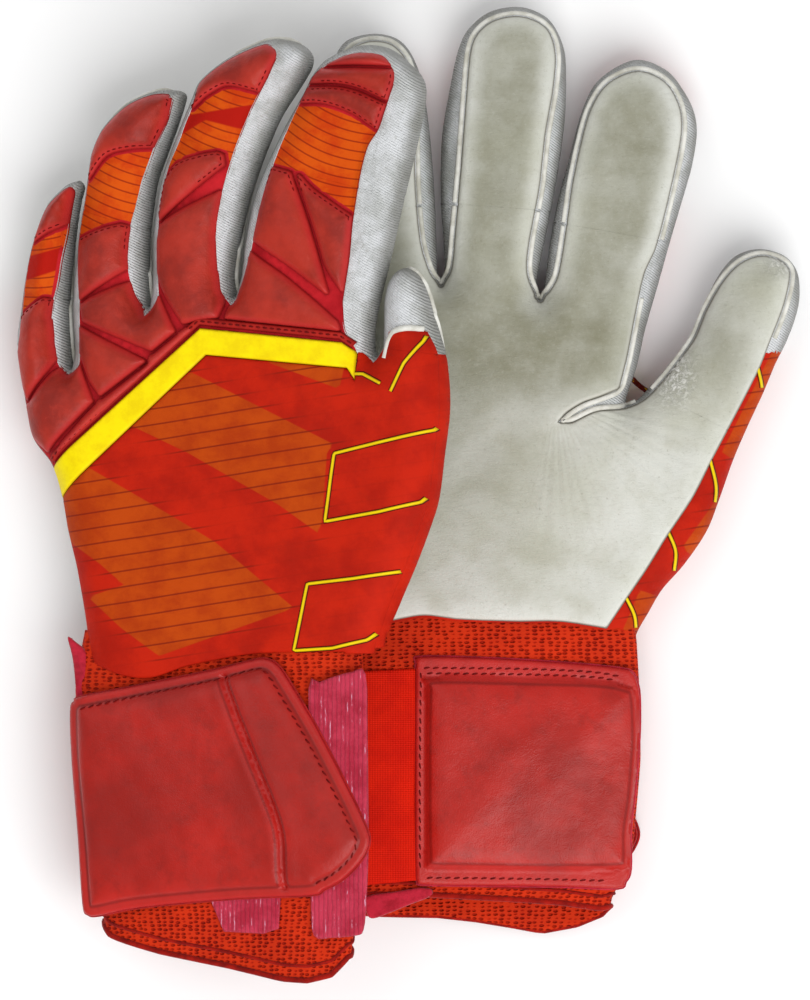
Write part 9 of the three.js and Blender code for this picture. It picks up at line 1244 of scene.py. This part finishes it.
            # side walls and finger webs
            groups = {k: ([], []) for k in SEEDS[side]}
            for i, key in enumerate(("gt", "gb")):
                for c in Z.get(key, []):
                    groups[nearest_node(side, c)][i].append(c)
            last, pending = None, []
            for k, (tt, bb) in groups.items():
                g = gusset(side, tt, bb)
                if g is None:
                    pending.append(side + "_" + k)
                    continue
                V2, F2, at = g
                fabric = k == "side_gusset_thumb"
                o = mesh(f"{side}_{k}_skin", V2, F2, MAT["print"] if fabric else MAT["gusset"], at)
                bind(o, side, "hand", side + "_" + k)
                last = o
            for p in pending:
                print("no region for", p)
                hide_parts(p)
        else:
            V2, F2, at = gusset(side, Z.get("gt", []), Z.get("gb", []))
            o = mesh(pre + "gusset_skin", V2, F2, MAT["gusset"], at)
            if zone == "thumb" and side == "right":
                o.data.materials.append(MAT["print"])
                co = V2[F2].mean(1)
                u = sheet_units(co)
                axis = np.array([728.0, 385.0]), np.array([0.455, -0.89])
                across = (u[:, 0] - axis[0][0]) * -axis[1][1] + (u[:, 1] - axis[0][1]) * axis[1][0]
                sel = ((across > 6) & (u[:, 1] > 352)).astype(np.int32)
                if len(o.data.polygons) == len(sel):
                    o.data.polygons.foreach_set("material_index", sel)
            bind(o, side, zone, pre + "gusset")


for s in ("right", "left"):
    build_glove(s)


# ---------------------------------------------------------------- trim lines and thread
TO_RIGHT = tps([a for a, b in LMK], [b for a, b in LMK])


def from_left(side, pts):
    """Plan line of a design drawn for the left glove."""
    p = spline(pts, 6)
    return plan("left", p) if side == "left" else plan("right", TO_RIGHT(p))


def poly_line(side, pts):
    p = np.concatenate([resample_open(np.array(q), 3.0)[:-1] for q in zip(pts[:-1], pts[1:])] + [np.array(pts[-1:], float)])
    return plan("left", p) if side == "left" else plan("right", TO_RIGHT(p))


def over_back(side):
    R, G = SIDES[side], REG[side]
    pe = panel_e(side)

    def f(P):
        d = np.where(inside(P, G["PANEL"]), dist(P, G["PANEL"]), 0)
        return np.where(d > 0, pe(P, d), back_cap(side, R.base(P) - 0.15))

    return f


def trims(side):
    R, G = SIDES[side], REG[side]
    top = over_back(side)
    for key, pts in LINES_LEFT.items():
        L = poly_line(side, pts)
        L = L[inside(L, [R.c]) & (R.ds(L) > 1.4)]
        if len(L) < 3:
            continue
        zone = "hand"
        for w, lift, m, nm in ((1.55, 0.06, "outline", "edge"), (0.98, 0.24, "yellow", "line")):
            V, F, at = ribbon(side, L, w, top, 1, lift)
            if side == "right":
                V[:, 2] = np.maximum(V[:, 2], 0.00002)
            o = mesh(f"{side}_{key}_{nm}", V, F, MAT[m], at)
            bind(o, side, zone, None)
    # stitched rim over the band
    L = poly_line(side, [(41, 464), (197, 321), (338, 335.5), (350, 345)])
    L = L[inside(L, [R.c]) & (R.ds(L) > 1.9)]
    fe = floor_e(side)
    rim = lambda P: back_cap(side, R.base(P) + 0.25)
    V, F, at = ribbon(side, L, 2.3, rim, 1, 0.2, 0.7, 0.9)
    if side == "right":
        V[:, 2] = np.maximum(V[:, 2], 0.00002)
    bind(mesh(side + "_band_rim", V, F, MAT["rim"], at), side, "hand", None)
    heap = Heap()
    stitches(heap, side, L, lambda P: rim(P) + 0.9, 1, 2.2, 1.5, 0.24)
    if side == "right":
        for v in heap.v:
            v[:, 2] = np.maximum(v[:, 2], 0.00002)
    bind(heap.make(side + "_band_stitches", MAT["thread_red"]), side, "hand", None)
    if side == "right":
        under = lambda P: -(R.base(P) + 0.1)
        for i, pts in enumerate(LINES_RIGHT_SIDE):
            L = plan("right", resample_open(spline(pts, 8), 1.5))
            L = L[inside(L, [R.c]) & (R.ds(L) > 0.95)]
            for w, lift, m, nm in ((1.6, 0.06, "outline", "edge"), (1.0, 0.24, "yellow", "line")):
                V, F, at = ribbon(side, L, w, under, -1, lift)
                o = mesh(f"right_side_line_{i + 1}_{nm}", V, F, MAT[m], at)
                bind(o, side, "thumb" if i == 0 else "hand", None)


for s in ("right", "left"):
    trims(s)


# ---------------------------------------------------------------- wrist
def tube3(C, r, n=10, closed=True, flat=None):
    """A round roll along a line in the row frame, metres."""
    C = np.asarray(C, float)
    t = np.roll(C, -1, 0) - np.roll(C, 1, 0)
    if not closed:
        t[0], t[-1] = C[1] - C[0], C[-1] - C[-2]
    t /= np.maximum(np.linalg.norm(t, axis=1)[:, None], 1e-12)
    up = np.array([0, 1.0, 0])
    a1 = np.cross(t, up)
    a1 /= np.maximum(np.linalg.norm(a1, axis=1)[:, None], 1e-9)
    a2 = np.cross(t, a1)
    k = np.arange(n) * 2 * math.pi / n
    V = (C[:, None] + r * (np.cos(k)[None, :, None] * a1[:, None] + np.sin(k)[None, :, None] * a2[:, None])).reshape(-1, 3)
    m = len(C)
    F = []
    for i in range(m if closed else m - 1):
        j = (i + 1) % m
        for q in range(n):
            z = (q + 1) % n
            F += [(i * n + q, j * n + q, j * n + z), (i * n + q, j * n + z, i * n + z)]
    if not closed:
        V = np.concatenate([V, C[:1], C[-1:]])
        for q in range(n):
            z = (q + 1) % n
            F += [(m * n, q, z), (m * n + 1, (m - 1) * n + z, (m - 1) * n + q)]
    F = np.array(F)
    cen = V.mean(0)
    if ((V[F[:, 0]] - cen) * np.cross(V[F[:, 1]] - cen, V[F[:, 2]] - cen)).sum() < 0:
        F = F[:, ::-1]
    return V, F


CUFF = {
    "left": dict(L=[(610, 88), (650, 82), (690, 78), (850, 90), (918, 104), (960, 108)], R=[(610, 362), (690, 362), (850, 362), (935, 353), (981, 349)], ec=0.55,
                 back=[(104, 930), (110, 938), (161, 952), (234, 967), (282, 979), (307, 981), (331, 976), (348, 960)],
                 palm=[(104, 916), (161, 936), (234, 950), (282, 960), (307, 962), (331, 958), (348, 944)]),
    "right": dict(L=[(600, 341), (930, 342)], R=[(600, 631), (640, 636), (690, 637), (760, 637), (860, 630), (900, 612), (930, 610)], ec=-0.75,
                  back=[(342, 912), (364, 917), (445, 918), (491, 924), (543, 934), (578, 928), (603, 918), (612, 908)],
                  palm=[(342, 893), (364, 894), (445, 896), (500, 899), (562, 903), (601, 908), (612, 906)]),
}


def interp(pts, q):
    p = np.array(sorted(pts), float)
    return np.interp(q, p[:, 0], p[:, 1])


def cuff(side):
    K = CUFF[side]
    n, m, pw = 120, 74, 0.42
    ph = np.arange(n) * 2 * math.pi / n
    cx = np.sign(np.cos(ph)) * np.abs(np.cos(ph)) ** pw
    se = np.sign(np.sin(ph)) * np.abs(np.sin(ph)) ** pw
    t = np.linspace(0, 1, m)[:, None]
    fx = 0.5 + 0.5 * cx[None]
    y = np.full((m, n), 700.0)
    ytop = 612.0 if side == "right" else 630.0
    for _ in range(4):
        xl, xr = interp(K["L"], y), interp(K["R"], y)
        x = xl + (xr - xl) * fx
        yb = interp(K["palm"], x) + (interp(K["back"], x) - interp(K["palm"], x)) * (0.5 + 0.5 * se[None])
        y = ytop + (yb - ytop) * t
    mid_x = 0.5 * (xl + xr)
    e = K["ec"] + 7.3 * se[None] * (1 + 0 * t) + 0.45 * np.sin(y * 0.075 + x * 0.012) * np.abs(se[None]) + 0.35 * np.sin(x * 0.05 + y * 0.02) * np.abs(se[None]) * t
    flare = 1 + 0.03 * np.sin(t * math.pi)
    px = np.stack([(mid_x + (x - mid_x) * flare).ravel(), y.ravel()], -1)
    P = plan(side, px, (MID + e).ravel()) if side == "left" else plan(side, px)
    E = e.ravel()
    V = place(side, P[:, 0], P[:, 1], E)
    F = []
    for j in range(m - 1):
        for k in range(n):
            q = (k + 1) % n
            a, b, c, d = j * n + k, j * n + q, (j + 1) * n + q, (j + 1) * n + k
            F += [(a, b, c), (a, c, d)]
    F = np.array(F)
    if ((V[F[:, 0]] - V.mean(0)) * np.cross(V[F[:, 1]] - V[F[:, 0]], V[F[:, 2]] - V[F[:, 0]])).sum() < 0:
        F = F[:, ::-1]
    arc = np.concatenate([[0], np.cumsum(np.hypot(np.diff(cx * 43), np.diff(se * 8)))])
    cp = np.stack([np.tile(arc, m), P[:, 1], np.zeros(len(P))], -1) / 10
    at = attrs_of(side, P, V, np.full(len(P), 3.0), E, cp=cp)
    V2, F2, at2 = thicken(V, F, 0.0011, at)
    o = mesh(side + "_cuff", V2, F2, MAT["mesh"], at2)
    bind(o, side, "hand", side + "_cuff_sleeve")
    declare_sheet(o, V2, F2)
    # hem: two rolled rows
    heap = Heap()
    G3 = V.reshape(m, n, 3)
    for row, r in ((m - 1, 0.00085), (m - 4, 0.0005)):
        Vt, Ft = tube3(G3[row] + 0.0, r, 8)
        heap.add(Vt, Ft, {"lp": Vt * 100, "ed": np.full(len(Vt), 1.0)})
    bind(heap.make(side + "_cuff_hem", MAT["hem"]), side, "hand", None)


FLAP = [(69, 702), (76, 697), (137, 685), (210, 670), (250, 660), (262, 659), (273, 664), (285, 680), (314, 729), (343, 785), (359, 819), (366, 838), (363, 852), (353, 867), (338, 881), (321, 890), (307, 896), (234, 899), (137, 908), (96, 916), (84, 915), (79, 904), (74, 838), (67, 765), (65, 712)]
FLAP_GROOVE = [(221, 676), (236, 714), (251, 752), (266, 790), (277, 820), (281, 840), (281.5, 862), (282, 892)]
FLAP_STITCH = [(78, 709), (137, 696), (210, 681), (250, 670), (261, 670), (268, 676), (278, 692), (305, 738), (333, 792), (349, 826), (355, 840), (351, 854), (340, 867), (322, 880), (306, 886)]
LOOPS = [(307, 688), (318, 682), (334, 676), (350, 672), (364, 674), (366, 740), (367, 840), (365, 900), (362, 930), (354, 936), (330, 938), (312, 936), (309, 900), (308, 800)]
PAD = [(420, 657), (480, 658), (537, 661), (590, 665), (624, 669), (633, 673), (638, 684), (640, 699), (640, 730), (638, 761), (635, 795), (631, 830), (631, 869), (626, 882), (617, 889), (560, 887), (480, 886), (424, 885), (417, 881), (415, 860), (415, 700), (416, 664)]
PAD_IN = [(427, 677), (520, 678), (594, 680), (626, 685), (636, 693), (638.5, 730), (637, 765), (634, 800), (629.5, 832), (629, 862), (621, 870), (540, 871), (470, 870), (431, 869), (425, 862), (424, 760), (425, 690)]


def shift_to(src, dst, P):
    """The same wrist piece on the other glove."""
    x = {"left": 24.2, "right": -19.5}
    return P + np.array([x[dst] - x[src], 0.0])


def flap(side):
    w = 25.2
    f = lambda pts: plan("left", pts, w) if side == "left" else shift_to("left", "right", plan("left", pts, w))
    C = f(spline(FLAP, 4, True))
    groove, st = f(spline(FLAP_GROOVE, 6)), f(spline(FLAP_STITCH, 5))
    e0 = 10.25 if side == "left" else 9.0
    A, B = groove[:-1], groove[1:]

    def height(P, d):
        g = seg_dist(P, A, B)[0]
        second = ease((P[:, 0] - np.interp(P[:, 1], groove[::-1, 1], groove[::-1, 0])) / 1.5)
        puff = prof((d - 2.9) / 5.5) * ease((d - 2.7) / 0.8)
        e = e0 + 1.25 * prof(d / 0.9) + 2.1 * puff + 0.9 * ease((d - 3.0) / 26) + 0.35 * second * puff - 1.9 * np.exp(-((g / 0.95) ** 2)) * ease((d - 1.5) / 2.0)
        e = e + 0.35 * np.exp(-((g - 3.2) ** 2) / 3.0) * puff + wob(P, 0.34, 0.7) * puff + 0.5 * np.sin((P[:, 0] - C[:, 0].min()) / 24.0) * puff
        lay = -1.6 * ease((7 - (P[:, 0] - C[:, 0].min())) / 7) ** 2
        e = e + lay
        return np.minimum(e, 11.66) if side == "right" else e

    P, F = triangulate([C], 1.5, (0.15, 0.45, 0.9, 1.5, 2.2, 2.9, 3.5, 4.2, 5.2), 0.9, extra=np.concatenate([groove + np.array([k, 0.0]) for k in (-1.6, -0.8, 0, 0.8, 1.6)]))
    d = dist(P, [C])
    e = height(P, d)
    V = place(side, P[:, 0], P[:, 1], e)
    F = oriented(V, F, SIDES[side].up)
    g = seg_dist(P, A, B)[0]
    V2, F2, at = thicken(V, F, 0.0011, attrs_of(side, P, V, np.minimum(d, 0.6 + g * 1.3), e))
    o = mesh(side + "_strap_flap_pad", V2, F2, MAT["strap"], at)
    bind(o, side, "strap", side + "_strap_flap")
    heap = Heap()
    top = lambda q: height(q, dist(q, [C]))
    stitches(heap, side, st, top, 1, 2.7, 1.9, 0.27, lean=0.25)
    if side == "right":
        for v in heap.v:
            v[:, 2] = np.maximum(v[:, 2], 0.00002)
    bind(heap.make(side + "_flap_stitches", MAT["thread_red"]), side, "strap", None)
    # bound edge
    L = resample(C, 1.2)
    V, F, at = tube(side, L, top(L) - 0.45 if side == "left" else np.minimum(top(L) - 0.2, 11.1), 0.36, 8, True)
    bind(mesh(side + "_flap_binding", V, F, MAT["binding"], at), side, "strap", None)


def loops(side):
    w = 22.0
    f = lambda pts: plan("left", pts, w) if side == "left" else shift_to("left", "right", plan("left", pts, w))
    C = f(spline(LOOPS, 3, True))
    if side == "right":
        C = C * np.array([1.0, 0.86]) + np.array([-9.5, -9.0])
    e0 = 8.65 if side == "left" else 7.5
    P, F = triangulate([C], 1.4, (0.2, 0.6, 1.1), 0.9)
    d = dist(P, [C])
    e = e0 + 0.9 * prof(d / 0.8) + wob(P, 0.18, 1.1) + 0.12 * np.sin(P[:, 0] * math.pi) * ease(d / 1.5)
    V = place(side, P[:, 0], P[:, 1], e)
    F = oriented(V, F, SIDES[side].up)
    V2, F2, at = thicken(V, F, 0.0008, attrs_of(side, P, V, d, e))
    o = mesh(side + "_loop_tape", V2, F2, MAT["loop"], at)
    bind(o, side, "hand", side + "_loop_patch")
    declare_sheet(o, V2, F2)
    if side == "left":
        C = f([(205, 892), (277, 890), (279, 899), (277, 929), (262, 934), (222, 932)])
        P, F = triangulate([C], 1.4, (0.2, 0.6, 1.1), 0.9)
        d = dist(P, [C])
        e = 8.6 + 0.7 * prof(d / 0.8)
        V = place(side, P[:, 0], P[:, 1], e)
        F = oriented(V, F, SIDES[side].up)
        V2, F2, at = thicken(V, F, 0.0008, attrs_of(side, P, V, d, e))
        bind(mesh("left_small_loop_tape", V2, F2, MAT["loop"], at), side, "hand", None)


def band(side):
    def f(pts):
        q = plan("right", pts)
        if side == "right":
            return q
        q = shift_to("right", "left", q)
        return q * np.array([0.9, 1.0]) + np.array([0.1 * 60.0 - 2.5, 0.0])

    C, IN = f(spline(PAD, 4, True)), f(spline(PAD_IN, 4, True))
    e0 = -9.15 if side == "right" else -7.9

    def height(P, d):
        ins = inside(P, [IN])
        di = np.where(ins, dist(P, [IN]), 0)
        return e0 - (1.2 * prof(d / 0.9) + 2.9 * prof(di / 7.0) * ease(di / 0.7) + 1.5 * ease(di / 26) + wob(P, 0.30, 2.6) * ease(di / 3) - 0.5 * ease((1.2 - np.abs(np.where(ins, di, -9))) / 1.2))

    P, F = triangulate([C], 1.6, (0.15, 0.45, 0.9, 1.5, 2.2, 2.9, 3.7, 4.6, 5.6, 6.8), 0.9)
    d = dist(P, [C])
    e = height(P, d)
    V = place(side, P[:, 0], P[:, 1], e)
    F = oriented(V, F, -SIDES[side].up)
    di = np.where(inside(P, [IN]), dist(P, [IN]), 0)
    V2, F2, at = thicken(V, F, 0.0011, attrs_of(side, P, V, np.where(di > 0, 1.0 + di, np.minimum(d, 1.0)), e))
    o = mesh(side + "_strap_pad", V2, F2, MAT["strap"], at)
    bind(o, side, "hand", side + "_strap_band")
    heap = Heap()
    top = lambda q: height(q, dist(q, [C]))
    for L in ([(423, 668), (520, 669), (590, 672), (622, 677)], [(426, 673.5), (520, 674.5), (590, 677), (618, 681)], [(421, 672), (420, 760), (420, 872)], [(426, 878), (520, 879), (608, 881)]):
        stitches(heap, side, f(spline(L, 8)), top, -1, 2.7, 1.9, 0.25, lean=0.2)
    bind(heap.make(side + "_strap_pad_stitches", MAT["thread_red"]), side, "hand", None)
    L = resample(C, 1.2)
    V, F, at = tube(side, L, top(L) + 0.45, 0.42, 8, True)
    bind(mesh(side + "_strap_pad_binding", V, F, MAT["pink"], at), side, "hand", None)
    # elastic
    C2 = f([(330, 673), (419, 668), (419, 700), (418, 760), (418, 881), (330, 889), (329, 780)])
    P, F = triangulate([C2], 1.7, (0.2, 0.6, 1.1), 0.9)
    d = dist(P, [C2])
    e = (e0 + 0.45) - (0.7 * prof(d / 0.8) + 0.22 * np.sin(P[:, 1] * 0.16) + wob(P, 0.2, 0.2))
    e = e + 2.0 * ease((4.5 - (P[:, 0] - C2[:, 0].min())) / 4.5) ** 2
    V = place(side, P[:, 0], P[:, 1], e)
    F = oriented(V, F, -SIDES[side].up)
    V2, F2, at = thicken(V, F, 0.0009, attrs_of(side, P, V, d, e))
    o = mesh(side + "_strap_elastic", V2, F2, MAT["elastic"], at)
    bind(o, side, "hand", None)
    declare_sheet(o, V2, F2)


def tab(name, side, pts, e0, way, m, body="hand", thick=1.4):
    C = plan(side, spline(pts, 4, True), MID + e0) if side == "left" else plan(side, spline(pts, 4, True))
    P, F = triangulate([C], 1.2, (0.2, 0.5, 0.9), 0.7)
    d = dist(P, [C])
    e = e0 + way * (0.8 * prof(d / 0.8) + 0.25 * np.sin(P[:, 0] * 0.9 + P[:, 1] * 0.5))
    V = place(side, P[:, 0], P[:, 1], e)
    F = oriented(V, F, SIDES[side].up * way)
    V2, F2, at = thicken(V, F, thick / 1000, attrs_of(side, P, V, d, e))
    o = mesh(name, V2, F2, MAT[m], at)
    bind(o, side, body, None)
    declare_sheet(o, V2, F2)


for s in ("right", "left"):
    cuff(s)
    flap(s)
    loops(s)
    band(s)
tab("left_pull_tab", "left", [(68, 637), (76, 642), (86, 652), (88, 670), (86, 700), (78, 701), (75, 680), (72, 655)], 5.2, 1, "pink")
tab("right_pull_tab", "right", [(366, 897), (395, 892), (420, 888), (432, 890), (430, 897), (410, 905), (388, 914), (372, 919), (366, 912)], -8.6, -1, "pink")

# rolled rim of the left thumb's latex cap
L = plan("left", spline([(383, 358), (385, 347), (389, 337), (395, 331), (407, 328), (421, 329)], 8), 21.0)
L = L[inside(L, [SIDES["left"].c]) & (SIDES["left"].ds(L) > 0.8)]
V, F, at = tube("left", L, SIDES["left"].base(L) + 0.1, 0.95, 10)
bind(mesh("left_thumb_cap_roll", V, F, MAT["piping"], at), "left", "thumb", None)


# ---------------------------------------------------------------- floor, light and camera
def box_floor():
    me = bpy.data.meshes.new("floor")
    s = 3.0
    me.from_pydata([(-s, -s, -0.0006), (s, -s, -0.0006), (s, s, -0.0006), (-s, s, -0.0006)], [], [(0, 1, 2, 3)])
    o = bpy.data.objects.new("floor", me)
    bpy.context.scene.collection.objects.link(o)
    m = bpy.data.materials.new("floor_paper")
    m.use_nodes = True
    b = m.node_tree.nodes["Principled BSDF"]
    b.inputs["Base Color"].default_value = (0.93, 0.93, 0.93, 1)
    b.inputs["Roughness"].default_value = 0.9
    me.materials.append(m)


def lamp(name, loc, at, size, power, color=(1, 1, 1)):
    d = bpy.data.lights.new(name, "AREA")
    d.shape, d.size, d.energy, d.color = "SQUARE", size, power, color
    o = bpy.data.objects.new(name, d)
    bpy.context.scene.collection.objects.link(o)
    o.location = loc
    o.rotation_euler = (Vector(at) - Vector(loc)).to_track_quat("-Z", "Y").to_euler()


box_floor()
lamp("key", (0.45, -0.75, 1.3), (0, 0, 0.02), 1.4, 22.0)
lamp("fill", (-0.8, 0.7, 1.5), (0, 0, 0), 1.4, 6.0)
w = bpy.data.worlds.new("world")
bpy.context.scene.world = w
w.use_nodes = True
w.node_tree.nodes["Background"].inputs[0].default_value = (1, 1, 1, 1)
w.node_tree.nodes["Background"].inputs[1].default_value = 0.5
bpy.context.scene.view_settings.view_transform = "Standard"

cam = bpy.data.cameras.new("camera")
cam.lens, cam.sensor_width, cam.clip_end = 357.6, 36.0, 20.0
co = bpy.data.objects.new("camera", cam)
co.location = (SX / 1000, SY / 1000, DIST / 1000)
bpy.context.scene.collection.objects.link(co)
bpy.context.scene.camera = co
